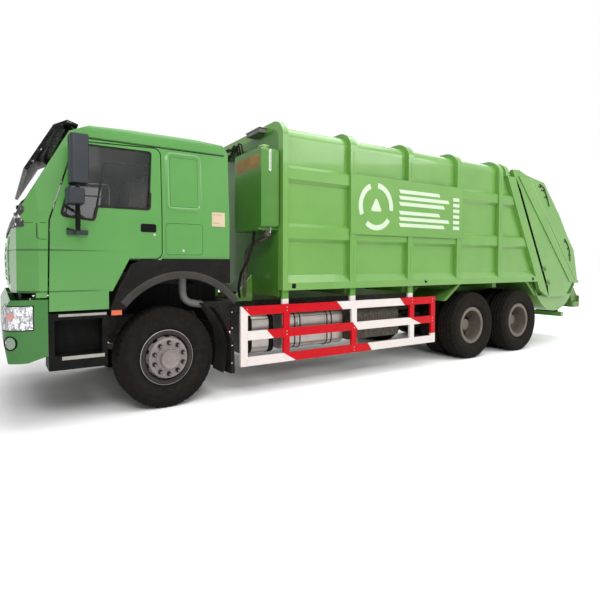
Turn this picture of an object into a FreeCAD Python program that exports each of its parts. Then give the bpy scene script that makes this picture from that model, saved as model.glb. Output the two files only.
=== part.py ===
import FreeCAD, Part
import math
import operator
import os
import Sketcher
from FreeCAD import Placement, Rotation, Vector

# A three-axle rear-loading garbage truck. Millimetres, +X forward, +Y to the truck's left,
# +Z up, with the origin on the ground under the middle of its bounding box.
# Stations called "behind" are measured rearwards from the front axle.

doc = FreeCAD.newDocument("GarbageTruck")
sheet = doc.addObject("Spreadsheet::Sheet", "Sizes")
nodes = {}


# Sizes: a number together with the spreadsheet expression that gives it.
class Size:
    def __init__(self, value, text):
        self.value = float(value)
        self.text = text

    def __float__(self):
        return self.value

    def __add__(self, other):
        return joined(self, "+", other)

    def __radd__(self, other):
        return joined(other, "+", self)

    def __sub__(self, other):
        return joined(self, "-", other)

    def __rsub__(self, other):
        return joined(other, "-", self)

    def __mul__(self, other):
        return joined(self, "*", other)

    def __rmul__(self, other):
        return joined(other, "*", self)

    def __truediv__(self, other):
        return joined(self, "/", other)

    def __rtruediv__(self, other):
        return joined(other, "/", self)

    def __neg__(self):
        return joined(0, "-", self)


steps = {"+": operator.add, "-": operator.sub, "*": operator.mul, "/": operator.truediv}


def size_of(number):
    return number if isinstance(number, Size) else Size(number, repr(float(number)))


def joined(first, sign, second):
    first, second = size_of(first), size_of(second)
    return Size(steps[sign](first.value, second.value), f"({first.text} {sign} {second.text})")


def cosine(angle):
    return Size(math.cos(math.radians(angle.value)), f"cos({angle.text})")


def sine(angle):
    return Size(math.sin(math.radians(angle.value)), f"sin({angle.text})")


def tangent(angle):
    return Size(math.tan(math.radians(angle.value)), f"tan({angle.text})")


class Table:
    pass


def tabulate(groups):
    table = Table()
    row = 1
    for group, sizes in groups.items():
        sheet.set(f"A{row}", group)
        row += 1
        for name, number in sizes.items():
            sheet.set(f"A{row}", name.replace("_", " "))
            sheet.set(f"B{row}", str(number))
            sheet.setAlias(f"B{row}", name)
            setattr(table, name, Size(number, f"Sizes.{name}"))
            row += 1
    doc.recompute()
    return table


overall_sizes = {
    "front_reach": 1560, "rear_reach": 8950, "wheelbase": 5225, "bogie_spacing": 1350,
    "seam": 0.3, "panel_gap": 11, "running_fit": 0.05}
wheels_sizes = {
    "tyre_radius": 542, "tyre_width": 293, "tread_width": 236, "shoulder_drop": 24,
    "sidewall_bulge_radius": 430, "rim_flange_radius": 298, "rim_seat_radius": 255,
    "rim_wall": 12, "rim_half_width": 118, "flange_thickness": 12, "disc_offset": 165,
    "disc_thickness": 12, "disc_root": 45, "disc_bend_radius": 212, "disc_bore_radius": 140,
    "hub_cap_radius": 105, "front_cap_reach": 235, "rear_hub_reach": 170,
    "drum_radius": 205, "drum_wall": 15, "drum_depth": 165, "hub_core_radius": 85,
    "front_wheel_side": 1011, "twin_side": 915, "twin_half_spacing": 165}
front_axle_sizes = {
    "kingpin_side": 842, "kingpin_radius": 22, "kingpin_boss_radius": 45,
    "kingpin_boss_height": 110, "spindle_radius": 45, "spindle_end_depth": 100,
    "knuckle_ear": 34, "knuckle_gap": 1, "backing_radius": 198, "backing_thickness": 8,
    "backing_gap": 6, "beam_thickness": 90, "beam_depth": 90, "beam_drop": 150,
    "beam_flat": 560, "front_spring_half": 780, "front_spring_rise": 190,
    "front_spring_pack": 84, "spring_end_thickness": 22, "spring_width": 80,
    "hanger_length": 90}
rear_axles_sizes = {
    "axle_tube_radius": 75, "axle_tube_end": 630, "banjo_radius": 205,
    "rear_spindle_radius": 50, "rear_spindle_end": 1020, "rear_spring_side": 505,
    "rear_spring_width": 90, "rear_spring_overhang": 90, "rear_spring_bottom": 625,
    "rear_spring_pack": 140, "rear_spring_end": 34, "trunnion_radius": 50,
    "trunnion_height": 540, "trunnion_bracket": 220}
frame_sizes = {
    "rail_side": 430, "rail_flange": 80, "rail_wall": 10, "rail_bottom": 770,
    "rail_top": 1050, "rail_front": 1400, "rail_rear": 6950, "member_length": 120,
    "member_bottom": 900, "member_top": 1030, "pivot_front": 1400, "pivot_height": 975,
    "pivot_radius": 20, "pivot_lug_radius": 42, "pivot_arm": 40,
    "pivot_arm_half": 30, "pivot_arm_lean": 40,
    "tow_half": 70, "tow_plate": 40, "tow_bottom": 740, "tow_front": 1510,
    "tow_pin_front": 1465, "tow_bore": 20, "tow_clear": 40}
engine_sizes = {
    "engine_front": 820, "engine_rear": 450, "engine_side": 290, "engine_bottom": 640,
    "engine_top": 1440, "gearbox_rear": 1150, "gearbox_side": 190, "gearbox_bottom": 640,
    "gearbox_top": 980, "engine_mount_length": 120, "engine_mount_bottom": 850,
    "engine_mount_height": 90, "shaft_radius": 50, "shaft_height": 720,
    "shaft_joint_radius": 64, "pinion_radius": 88, "pinion_reach": 300,
    "bogie_shaft_radius": 38, "bogie_shaft_height": 680}
bumper_sizes = {
    "bumper_side": 1250, "bumper_end": 1190, "bumper_top": 1220, "bumper_bottom": 650,
    "bumper_end_bottom": 700, "bumper_sheet": 10, "bumper_brow": 60, "bumper_tuck": 40,
    "bumper_corner": 170, "bumper_belly": 1120, "bumper_keel": 880,
    "lamp_inner_side": 860, "lamp_rear": 1310, "lamp_bottom": 945, "lamp_top": 1168,
    "lamp_recess": 4}
steps_sizes = {
    "step_front": 1185, "step_rear": 652, "step_bottom": 550, "step_top": 1085,
    "step_inner": 930, "step_outer": 1232, "step_recess_bottom": 682,
    "step_recess_top": 1020, "step_recess_depth": 160, "step_recess_end": 50,
    "step_bracket_length": 90, "step_bracket_bottom": 800, "step_bracket_height": 80}
cab_sizes = {
    "cab_wall": 60, "cab_side": 1235, "cab_bottom": 1280, "cab_lean_height": 2020,
    "cab_lean": 55, "cab_roof": 2895, "cab_roof_corner": 130, "cab_rear": 700,
    "bunk_floor": 1600, "cab_front_bottom": 1480, "cab_nose": 1495, "cab_nose_height": 1640,
    "cowl_front": 1470, "cowl_height": 1940, "screen_foot": 1400, "screen_foot_height": 2070,
    "screen_head": 985, "screen_head_height": 2800, "roof_front": 800,
    "roof_front_height": 2880, "roof_rear": 640, "roof_rear_height": 2870,
    "rear_top_height": 2790, "floor_rear": 600, "bunk_front": 430,
    "cab_plan_nose": 800, "cab_plan_cheek": 1110, "cab_plan_cheek_front": 1440,
    "cab_plan_side_front": 1262, "drip_height": 2758,
    "front_panel_top": 1920, "tunnel_front": 960, "tunnel_side": 400, "tunnel_top": 1560,
    "tunnel_wall": 40, "screen_half_low": 1130, "screen_half_high": 1055,
    "screen_low": 2115, "screen_high": 2735, "screen_round": 60, "glass": 6,
    "glass_inset": 20}
doors_sizes = {
    "door_front": 1180, "door_bottom": 1105, "door_bottom_rear": 637, "door_arch_low": 548,
    "door_arch_low_height": 1338, "door_arch_high": 427, "door_arch_high_height": 1555,
    "door_arch_top": 300, "door_arch_top_height": 1600, "door_rear": 95, "door_top": 2738,
    "door_head_front": 921, "door_head_height": 2708, "door_belt_front": 1163,
    "door_belt_height": 1948, "door_corner": 70, "door_front_gap": 15,
    "hinge_front": 1163, "hinge_side": 1225, "hinge_low": 1400, "hinge_high": 1860,
    "hinge_half": 12, "hinge_eye": 7, "hinge_pin": 4, "hinge_skin_clear": 1,
    "hinge_elbow": 60, "hinge_bar": 20, "hinge_foot_rear": 1205, "hinge_foot_front": 1230, "hinge_clear": 5,
    "window_rear_low": 219, "window_rear_high": 184, "window_high": 2700,
    "window_sill": 2103, "window_dip_rear": 740, "window_dip_front": 770,
    "window_dip": 1967, "window_front_low": 1068, "window_front_low_height": 1999,
    "window_front_high": 872, "window_round": 35, "door_glass_side": 1182}
arches_sizes = {
    "arch_outer": 1252, "arch_face": 55, "arch_inner": 862, "arch_front_bottom": 628,
    "arch_bottom": 1095, "arch_rear_bottom": 1331, "arch_centre": 130,
    "arch_centre_height": 610, "arch_radius": 780, "liner_thickness": 20,
    "liner_start": 67, "liner_sweep": 75}
visor_sizes = {
    "visor_half": 1080, "visor_tip": 1370, "visor_tip_height": 2430, "visor_brow": 1110,
    "visor_brow_height": 2870, "visor_top": 985, "visor_top_height": 2935,
    "visor_back": 885, "visor_back_height": 2905, "visor_thickness": 34,
    "visor_foot_side": 900, "visor_foot_width": 40}
inside_sizes = {
    "seat_side": 560, "seat_half": 260, "seat_front": 640, "seat_rear": 130,
    "seat_bottom": 1780, "seat_top": 1900, "seat_back_top": 2520, "seat_back_lean": 110,
    "seat_back_thickness": 110, "seat_foot_front": 400, "dash_half": 960, "dash_top": 2010,
    "dash_front": 1350, "dash_rear": 1020, "dash_knee": 1120, "dash_knee_height": 1760,
    "dash_foot": 1330, "steering_radius": 235, "steering_rim": 16,
    "steering_front": 840, "steering_height": 2060, "steering_tilt": 35,
    "column_radius": 30, "column_length": 300}
mirrors_sizes = {
    "mirror_front": 1022, "mirror_rear": 868, "mirror_inner": 1318, "mirror_outer": 1510,
    "mirror_bottom": 2270, "mirror_top": 2700, "mirror_round": 40, "wide_front": 1050,
    "wide_rear": 905, "wide_bottom": 2085, "wide_top": 2222, "mirror_arm_radius": 13,
    "mirror_stalk_radius": 18,
    "mirror_arm_front": 945, "mirror_arm_side": 1395, "mirror_foot_front": 1022,
    "mirror_foot_rear": 832, "mirror_foot_bottom": 1822, "mirror_foot_top": 1864,
    "mirror_foot_depth": 32, "mirror_stay_height": 2640}
body_sizes = {
    "body_front": 1420, "body_bottom": 1225, "skin_outer": 1190, "skin_wall": 40,
    "post_outer": 1250, "roof_top": 3240, "roof_corner": 160, "side_top": 3050,
    "first_post_width": 80, "post_width": 110, "post_one": 2500, "post_spacing": 1116,
    "slit_foot": 7490, "slit_foot_height": 925, "slit_angle": 28.6, "slit_gap": 14,
    "slant_post_width": 245, "slant_post_foot": 1060,
    "sill_face": 1315, "sill_ledge": 1410, "stringer_outer": 1234,
    "upper_stringer_bottom": 2535, "upper_stringer_top": 2755,
    "lower_stringer_bottom": 1815, "lower_stringer_top": 2045, "stringer_slope": 45,
    "sign_front": 2500, "sign_rear": 4872, "sign_bottom": 1940, "sign_top": 2740,
    "sign_sheet": 6, "subframe_rear": 7050, "bearer_bottom": 1145,
    "rear_beam_front": 6030, "rear_beam_length": 100, "floor_rear_end": 7040}
load_room_sizes = {
    "ejector_side": 1140, "ejector_foot": 2600, "ejector_top": 3140,
    "ejector_plate": 66, "ejector_skid": 60, "ejector_skid_front": 1530,
    "gusset": 40, "gusset_side": 1020, "ejector_corner": 130}
oil_tank_sizes = {
    "oil_front": 1140, "oil_rear": 1392, "oil_inner": 560, "oil_outer": 1205,
    "oil_bottom": 1985, "oil_top": 2930, "oil_round": 40, "oil_cap_radius": 55,
    "oil_cap_height": 45, "oil_shelf": 30}
tanks_sizes = {
    "fuel_front": 1500, "fuel_rear": 2490, "fuel_inner": 560, "fuel_outer": 1120,
    "fuel_bottom": 480, "fuel_top": 930, "fuel_round": 90, "strap_sheet": 5,
    "strap_inset": 235, "air_front": 985, "air_rear": 1380,
    "air_inner": 720, "air_bottom": 460, "air_top": 940, "air_round": 110,
    "silencer_front": 2660, "silencer_rear": 3600, "silencer_inner": 640,
    "silencer_outer": 1100, "silencer_bottom": 500, "silencer_top": 900,
    "silencer_round": 60, "battery_front": 1500, "battery_rear": 2300,
    "battery_inner": 640, "battery_outer": 1150, "battery_bottom": 520,
    "battery_top": 960, "hanger_width": 70, "hanger_height": 60, "hanger_bottom": 840}
side_guard_sizes = {
    "guard_front": 846, "guard_rear": 4240, "guard_outer": 1240, "guard_sheet": 30,
    "guard_rail_one": 950, "guard_rail_two": 660, "guard_rail_three": 360,
    "guard_rail_height": 105, "guard_post_width": 92, "guard_post_one": 1442,
    "guard_post_two": 2545, "guard_post_three": 3680}
mudguards_sizes = {
    "flap_radius": 700, "flap_thickness": 12, "flap_inner": 880, "flap_outer": 1150,
    "flap_low_angle": 20, "flap_high_angle": 52, "flap_stay": 40, "guard_plate": 16,
    "front_plate_top": 4795, "front_plate_foot": 4434, "front_plate_height": 976,
    "rear_plate_top": 6790, "rear_plate_foot": 7060, "mud_inner": 600, "mud_outer": 1235,
    "mud_flange": 70}
tailgate_sizes = {
    "tail_hinge": 6205, "tail_hinge_height": 3300, "tail_inner": 1185, "tail_outer": 1235,
    "tail_band": 1250, "tail_nose_height": 3180, "tail_crown": 6450,
    "tail_crown_height": 3195, "tail_roof": 6680, "tail_roof_height": 3125,
    "tail_brow": 7280, "tail_brow_height": 3040, "tail_back": 7840,
    "tail_back_height": 2480, "tail_eave": 8190, "tail_eave_height": 2050,
    "tail_cheek": 8415, "tail_cheek_height": 1820, "tail_lip": 8580,
    "tail_lip_height": 1225, "tail_heel": 8400, "tail_heel_height": 1185,
    "tail_toe": 8120, "tail_sheet": 30, "band_top": 6430, "band_top_height": 3085,
    "band_width": 340, "band_foot": 8260, "band_foot_height": 1200,
    "trough_centre": 7830, "trough_centre_height": 1450, "trough_radius": 800,
    "trough_sheet": 20, "trough_start": 210, "trough_sweep": 133,
    "trough_rim_start": 197, "trough_rim_side": 1140, "trough_rim_lap": 2,
    "underrun_front": 8160, "underrun_depth": 80, "underrun_bottom": 510,
    "underrun_height": 90, "underrun_half": 1150, "underrun_stay_side": 500,
    "underrun_stay_width": 60, "underrun_stay_top": 762, "tail_ear_side": 900,
    "tail_ear": 36, "tail_ear_gap": 6, "tail_pin_radius": 22, "tail_lug_radius": 42,
    "sill_bar_height": 60, "sill_bar_depth": 50}
packer_sizes = {
    "slide_angle": 48, "slide_behind": 6980, "slide_height": 2655,
    "guide_half": 55, "guide_bar": 36, "guide_inner": 1148, "guide_start": 330,
    "guide_end": 1230, "slider_length": 250, "slider_clear": 5,
    "packer_side": 1140, "packer_arm": 40, "plate_near": 60, "plate_far": 150,
    "plate_length": 610, "pivot_along": 614, "pivot_across": 177, "blade_pin_radius": 35,
    "blade_tube_radius": 58, "blade_lug": 36, "blade_lug_gap": 5, "blade_angle": 65,
    "blade_length": 740, "blade_tip": 24, "blade_back": 70, "blade_front": 46,
    "blade_side": 1095, "arm_length": 280, "arm_angle": 105, "arm_sheet": 24,
    "arm_gap": 28, "arm_eye_radius": 45, "arm_slot_clear": 8, "arm_slot_depth": 110,
    "ram_side": 620, "ram_base_along": 200, "ram_radius": 48, "ram_neck": 65,
    "ram_neck_radius": 16, "ram_gland": 20, "ram_barrel": 490, "ram_hold": 30,
    "ram_rod_radius": 28, "ram_bore_radius": 34, "ram_eye_radius": 40,
    "ram_eye_half": 20, "ram_pin_radius": 20, "ram_base_lift": 20,
    "lift_side": 1085, "lift_across": 360, "lift_eye_along": 80, "lift_barrel_start": 830,
    "lift_barrel_length": 950, "lift_radius": 45, "lift_bore_radius": 32,
    "lift_rod_radius": 24, "lift_rod_length": 960, "lift_arm": 40}
bin_lifter_sizes = {
    "lifter_behind": 8690, "lifter_height": 1130, "lifter_pin_radius": 24,
    "lifter_lug_radius": 48, "lifter_arm_side": 1060, "lifter_arm": 36,
    "lifter_beam_front": 8720, "lifter_beam_bottom": 665, "lifter_beam_height": 110,
    "lifter_half": 1120, "lifter_face_top": 900, "lifter_face_sheet": 24,
    "lifter_lug_gap": 6}
s = tabulate({
    "overall": overall_sizes,
    "wheels": wheels_sizes,
    "front axle": front_axle_sizes,
    "rear axles": rear_axles_sizes,
    "frame": frame_sizes,
    "engine": engine_sizes,
    "bumper": bumper_sizes,
    "steps": steps_sizes,
    "cab": cab_sizes,
    "doors": doors_sizes,
    "arches": arches_sizes,
    "visor": visor_sizes,
    "inside": inside_sizes,
    "mirrors": mirrors_sizes,
    "body": body_sizes,
    "load room": load_room_sizes,
    "oil tank": oil_tank_sizes,
    "tanks": tanks_sizes,
    "side guard": side_guard_sizes,
    "mudguards": mudguards_sizes,
    "tailgate": tailgate_sizes,
    "packer": packer_sizes,
    "bin lifter": bin_lifter_sizes})

nose = (s.rear_reach - s.front_reach) / 2


def at(behind):
    return nose - behind


hub_height = s.tyre_radius
mid_axle = s.wheelbase
rear_axle = s.wheelbase + s.bogie_spacing


def slit(height):
    return s.slit_foot - (height - s.slit_foot_height) * tangent(s.slit_angle)


# Builders: each makes one document object whose sizes are bound to the sheet.
def bind(item, name, length):
    item.setExpression(name, size_of(length).text)


def place(item, where):
    for axis, coordinate in zip("xyz", where):
        bind(item, f"Placement.Base.{axis}", coordinate)


def box(name, x, y, z):
    item = doc.addObject("Part::Box", name)
    for side, (low, high) in zip(("Length", "Width", "Height"), (x, y, z)):
        bind(item, side, size_of(high) - low)
    place(item, (x[0], y[0], z[0]))
    return item


turns = {"x": Rotation(Vector(0, 1, 0), 90), "y": Rotation(Vector(1, 0, 0), -90), "z": Rotation()}


def rod(name, along, radius, length, start):
    item = doc.addObject("Part::Cylinder", name)
    bind(item, "Radius", radius)
    bind(item, "Height", length)
    item.Placement = Placement(Vector(), turns[along])
    place(item, start)
    return item


# strut: a rod in the plane Y = side, on the line between two (x, z) points. It starts past
# the first by skip, and is as long as the rest of the line unless a length is given.
def strut(name, radius, side, start, end, skip=0, length=None):
    run, rise = end[0] - start[0], end[1] - start[1]
    reach = size_of(math.hypot(float(run), float(rise)))
    item = doc.addObject("Part::Cylinder", name)
    bind(item, "Radius", radius)
    bind(item, "Height", length or reach - skip)
    heading = math.degrees(math.atan2(float(run), float(rise)))
    item.Placement = Placement(Vector(), Rotation(Vector(0, 1, 0), heading))
    share = skip / reach
    place(item, (start[0] + run * share, side, start[1] + rise * share))
    return item


def sketch_on(body, plane, loops):
    sketch = body.newObject("Sketcher::SketchObject", body.Name + "_sketch")
    origin = next(item for item in body.Origin.OriginFeatures if item.Role == plane + "_Plane")
    sketch.AttachmentSupport = [(origin, "")]
    sketch.MapMode = "FlatFace"
    for loop in loops:
        first = sketch.GeometryCount
        corners = [Vector(float(across), float(up), 0) for across, up in loop]
        for index, corner in enumerate(corners):
            sketch.addGeometry(Part.LineSegment(corner, corners[(index + 1) % len(corners)]))
        for index, (across, up) in enumerate(loop):
            line, following = first + index, first + (index + 1) % len(loop)
            sketch.addConstraint(Sketcher.Constraint("Coincident", line, 2, following, 1))
            for kind, length in (("DistanceX", across), ("DistanceY", up)):
                length = size_of(length)
                rule = sketch.addConstraint(Sketcher.Constraint(kind, -1, 1, line, 1, length.value))
                sketch.setExpression(f"Constraints[{rule}]", length.text)
    return sketch


# pad: outlines in one plane, as thick as from low to high across it. rounds: corner -> radius.
def pad(name, plane, low, high, *loops, rounds=None):
    body = doc.addObject("PartDesign::Body", name)
    sketch = sketch_on(body, plane, loops)
    block = body.newObject("PartDesign::Pad", name + "_pad")
    block.Profile = sketch
    block.SideType = "Symmetric"
    bind(block, "Length", size_of(high) - low)
    middle = (size_of(low) + high) / 2
    offset = {"XY": "z", "XZ": "y", "YZ": "x"}[plane]
    bind(body, "Placement.Base." + offset, middle)
    for index, (corners, radius) in enumerate(rounds or []):
        doc.recompute()
        flat = {"XY": (0, 1), "XZ": (0, 2), "YZ": (1, 2)}[plane]
        wanted = [(float(loops[0][corner][0]), float(loops[0][corner][1])) for corner in corners]
        edges = []
        for number, edge in enumerate(body.Tip.Shape.Edges, 1):
            ends = {(round(v.Point[flat[0]], 3), round(v.Point[flat[1]], 3)) for v in edge.Vertexes}
            if len(ends) == 1:
                end = ends.pop()
                if any(math.dist(end, corner) < 0.01 for corner in wanted):
                    edges.append(f"Edge{number}")
        fillet = body.newObject("PartDesign::Fillet", f"{name}_round{index}")
        fillet.Base = (body.Tip, edges) if body.Tip is not fillet else (block, edges)
        bind(fillet, "Radius", radius)
    return body


# arc_band: part of a ring about an axle along Y, between two angles measured from the
# rearward direction towards up.
def arc_band(name, behind, height, inner, outer, start, sweep, low, high):
    rings = []
    for word, reach in (("outer", outer), ("inner", inner)):
        ring = doc.addObject("Part::Cylinder", f"{name}_{word}")
        bind(ring, "Radius", reach)
        bind(ring, "Height", size_of(high) - low)
        bind(ring, "Angle", sweep)
        turn = Rotation(Vector(0, 0, 1), 180 + float(start))
        ring.Placement = Placement(Vector(), turns["y"].multiply(turn))
        place(ring, (at(behind), low, height))
        rings.append(ring)
    return cut(name, *rings)


# spin: an outline of (radius, distance along the axle) turned round the Y axis.
def spin(name, loop):
    body = doc.addObject("PartDesign::Body", name)
    sketch = sketch_on(body, "XY", [loop])
    turned = body.newObject("PartDesign::Revolution", name + "_turned")
    turned.Profile = sketch
    turned.ReferenceAxis = (sketch, ["V_Axis"])
    turned.Angle = 360
    return body


def fuse(name, *items):
    item = doc.addObject("Part::MultiFuse", name)
    item.Shapes = list(items)
    item.Refine = True
    return item


def cut(name, base, *tools):
    item = doc.addObject("Part::Cut", name)
    item.Base = base
    item.Tool = tools[0] if len(tools) == 1 else fuse(name + "_tool", *tools)
    item.Refine = True
    return item


def common(name, *items):
    item = doc.addObject("Part::MultiCommon", name)
    item.Shapes = list(items)
    item.Refine = True
    return item


def mirror(name, item):
    twin = doc.addObject("Part::Mirroring", name)
    twin.Source = item
    twin.Normal = Vector(0, 1, 0)
    return twin


def group(name, *items):
    item = doc.addObject("Part::Compound", name)
    item.Links = list(items)
    return item


def node(name, item):
    item.Label = name
    nodes[name] = item
    return item


def pair(name, item):
    return group(name, item, mirror(name + "_right", item))


# Wheels: tyre and rim turned round the axle, measured from the wheel's own middle plane.
def tyre(name, middle):
    crown, shoulder = s.tread_width / 2, s.tyre_radius - s.shoulder_drop
    bead, bulge = s.rim_half_width - s.flange_thickness - s.seam, s.tyre_width / 2
    seat, flange = s.rim_seat_radius + s.seam, s.rim_flange_radius + s.seam
    half = [(seat, bead), (flange, bead), (s.sidewall_bulge_radius, bulge),
            (shoulder, bulge - s.shoulder_drop / 2), (s.tyre_radius, crown)]
    outline = half + [(radius, -side) for radius, side in reversed(half)]
    return spin(name, [(radius, side + middle) for radius, side in outline])


def rim(name, middle, dish):
    # dish is +1 where the disc bulges towards +Y and -1 where it bulges inwards.
    edge, inner = s.rim_half_width, s.rim_seat_radius - s.rim_wall
    flange, seat = edge - s.flange_thickness, s.rim_seat_radius
    face, bend = s.disc_offset, s.disc_bend_radius
    back = face - s.disc_thickness
    outline = [
        (s.rim_flange_radius, edge), (s.rim_flange_radius, flange), (seat, flange),
        (seat, -flange), (s.rim_flange_radius, -flange), (s.rim_flange_radius, -edge),
        (inner, -edge), (inner, s.disc_root), (bend - s.disc_thickness / 2, back),
        (s.disc_bore_radius, back), (s.disc_bore_radius, face), (bend + s.disc_thickness, face),
        (inner, s.disc_root + 2 * s.disc_thickness), (inner, edge)]
    return spin(name, [(radius, side * dish + middle) for radius, side in outline])


def hub(name, mount, reach, bore, depth, drum_mouth):
    # mount is the disc's outer face, reach the cap's end, depth how far the spindle enters.
    web, core = drum_mouth + s.drum_depth, s.hub_core_radius
    drum_inner = s.drum_radius - s.drum_wall
    return spin(name, [
        (bore, drum_mouth + s.drum_wall), (core, drum_mouth + s.drum_wall),
        (core, web - s.drum_wall), (drum_inner, web - s.drum_wall), (drum_inner, drum_mouth),
        (s.drum_radius, drum_mouth), (s.drum_radius, web), (s.disc_bore_radius, web),
        (s.disc_bore_radius, mount + s.disc_thickness), (s.hub_cap_radius, mount + s.drum_wall),
        (s.hub_cap_radius, reach), (0, reach), (0, depth), (bore, depth)])


front_bore = s.spindle_radius + s.running_fit
rear_bore = s.rear_spindle_radius + s.running_fit
front_mouth = -s.rim_half_width + s.drum_wall
front_depth = s.spindle_end_depth + s.drum_wall
front_tyre = tyre("front_tyre", 0)
front_rim = fuse("front_rim", rim("front_rim_plate", 0, 1),
                 hub("front_hub", s.disc_offset, s.front_cap_reach, front_bore, front_depth,
                     front_mouth))
half_gap = s.twin_half_spacing
rear_mouth = -half_gap - s.rim_half_width + s.drum_wall
rear_depth = s.rear_spindle_end - s.twin_side + s.drum_wall
outer_tyre, inner_tyre = tyre("outer_tyre", half_gap), tyre("inner_tyre", -half_gap)
rear_rim = fuse("rear_rim", rim("outer_rim", half_gap, -1), rim("inner_rim", -half_gap, 1),
                hub("rear_hub", 0, s.rear_hub_reach, rear_bore, rear_depth, rear_mouth))


def wheel(name, behind, side, side_sign, *pieces):
    item = group(name, *pieces)
    item.Placement = Placement(Vector(), Rotation(Vector(0, 0, 1), 0 if side_sign > 0 else 180))
    place(item, (at(behind), side * side_sign, hub_height))
    return node(name, item)


for word, side_sign in (("left", 1), ("right", -1)):
    wheel("front_wheel_" + word, 0, s.front_wheel_side, side_sign, front_tyre, front_rim)
    for row, behind in (("middle", mid_axle), ("rear", rear_axle)):
        wheel(f"{row}_wheels_{word}", behind, s.twin_side, side_sign,
              outer_tyre, inner_tyre, rear_rim)

# Steering knuckles: two ears round the beam's end boss, the kingpin and the wheel spindle.
boss_half = s.kingpin_boss_height / 2
ear_start = boss_half + s.knuckle_gap
backing_side = s.front_wheel_side + front_mouth - s.backing_gap
knuckle_block = s.kingpin_side + s.kingpin_boss_radius + s.backing_gap
knuckle_ears = [rod(f"knuckle_ear_{index}", "z", s.kingpin_boss_radius, s.knuckle_ear,
                    (at(0), s.kingpin_side, hub_height + start))
                for index, start in enumerate((ear_start, -ear_start - s.knuckle_ear))]
webs = [box(f"knuckle_web_{index}", (at(s.kingpin_boss_radius), at(-s.kingpin_boss_radius)),
            (s.kingpin_side, backing_side),
            (hub_height + start, hub_height + start + s.knuckle_ear))
        for index, start in enumerate((ear_start, -ear_start - s.knuckle_ear))]
knuckle = fuse(
    "knuckle", *knuckle_ears, *webs,
    rod("kingpin", "z", s.kingpin_radius, 2 * (ear_start + s.knuckle_ear),
        (at(0), s.kingpin_side, hub_height - ear_start - s.knuckle_ear)),
    box("knuckle_neck", (at(s.kingpin_boss_radius), at(-s.kingpin_boss_radius)),
        (knuckle_block, backing_side),
        (hub_height - ear_start - s.knuckle_ear, hub_height + ear_start + s.knuckle_ear)),
    rod("backing_plate", "y", s.backing_radius, s.backing_thickness,
        (at(0), backing_side - s.backing_thickness, hub_height)),
    rod("front_spindle", "y", s.spindle_radius,
        s.front_wheel_side + s.spindle_end_depth - backing_side,
        (at(0), backing_side, hub_height)))
node("knuckle_left", knuckle)
node("knuckle_right", mirror("knuckle_turned", knuckle))

# Front axle: dropped beam with a boss at each end, and a leaf spring under each rail.
beam_top = hub_height - s.beam_drop / 2
beam_low = beam_top - s.beam_depth
beam_end = s.kingpin_side - s.kingpin_boss_radius / 2
ear_clear = s.kingpin_side - s.kingpin_boss_radius - s.backing_gap
half_beam = [(s.beam_flat, beam_low), (ear_clear, hub_height - boss_half),
             (beam_end, hub_height - boss_half), (beam_end, hub_height + boss_half / 2),
             (s.beam_flat, beam_top)]
beam = pad("beam", "YZ", at(s.beam_thickness / 2), at(-s.beam_thickness / 2),
           half_beam + [(-side, up) for side, up in reversed(half_beam)])
bosses = [rod(f"boss_{word}", "z", s.kingpin_boss_radius, s.kingpin_boss_height,
              (at(0), s.kingpin_side * sign, hub_height - boss_half))
          for word, sign in (("left", 1), ("right", -1))]
bores = [rod(f"boss_bore_{word}", "z", s.kingpin_radius + s.running_fit, s.tyre_radius,
             (at(0), s.kingpin_side * sign, hub_height / 2))
         for word, sign in (("left", 1), ("right", -1))]
spring_end_top = beam_top + s.front_spring_rise
front_spring = pad(
    "front_spring", "XZ", s.rail_side - s.spring_width, s.rail_side,
    [(at(-s.front_spring_half), spring_end_top - s.spring_end_thickness),
     (at(-s.beam_thickness), beam_top), (at(s.beam_thickness), beam_top),
     (at(s.front_spring_half), spring_end_top - s.spring_end_thickness),
     (at(s.front_spring_half), spring_end_top),
     (at(s.beam_thickness), beam_top + s.front_spring_pack),
     (at(-s.beam_thickness), beam_top + s.front_spring_pack),
     (at(-s.front_spring_half), spring_end_top)])
hangers = [box(f"spring_hanger_{index}", (at(behind + s.hanger_length), at(behind)),
               (s.rail_side - s.spring_width, s.rail_side),
               (spring_end_top - s.spring_end_thickness, s.rail_bottom))
           for index, behind in enumerate((-s.front_spring_half - s.hanger_length / 2,
                                           s.front_spring_half - s.hanger_length / 2))]
left_spring = fuse("left_front_spring", front_spring, *hangers)
node("front_axle", cut("front_axle_bored",
                       fuse("front_axle_whole", beam, *bosses, left_spring,
                            mirror("right_front_spring", left_spring)), *bores))

# Rear bogie: two driven axles under one pair of springs on a trunnion.
rear_pieces = []
for word, behind in (("middle", mid_axle), ("rear", rear_axle)):
    banjo = doc.addObject("Part::Sphere", f"{word}_banjo")
    bind(banjo, "Radius", s.banjo_radius)
    place(banjo, (at(behind), 0, hub_height))
    rear_pieces += [
        banjo,
        rod(f"{word}_axle_tube", "y", s.axle_tube_radius, 2 * s.axle_tube_end,
            (at(behind), -s.axle_tube_end, hub_height)),
        rod(f"{word}_axle_spindles", "y", s.rear_spindle_radius, 2 * s.rear_spindle_end,
            (at(behind), -s.rear_spindle_end, hub_height)),
        rod(f"{word}_pinion_case", "x", s.pinion_radius, s.pinion_reach,
            (at(behind), 0, hub_height))]
    for side_word, sign in (("left", 1), ("right", -1)):
        plate_side = s.axle_tube_end * sign - s.backing_thickness / 2
        rear_pieces.append(rod(f"{word}_backing_{side_word}", "y", s.backing_radius / 2,
                               s.backing_thickness, (at(behind), plate_side, hub_height)))
bogie_middle = mid_axle + s.bogie_spacing / 2
spring_front, spring_back = mid_axle - s.rear_spring_overhang, rear_axle + s.rear_spring_overhang
spring_peak = s.rear_spring_bottom + s.rear_spring_pack
spring_low_side = s.rear_spring_side - s.rear_spring_width / 2
spring_high_side = s.rear_spring_side + s.rear_spring_width / 2
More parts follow.
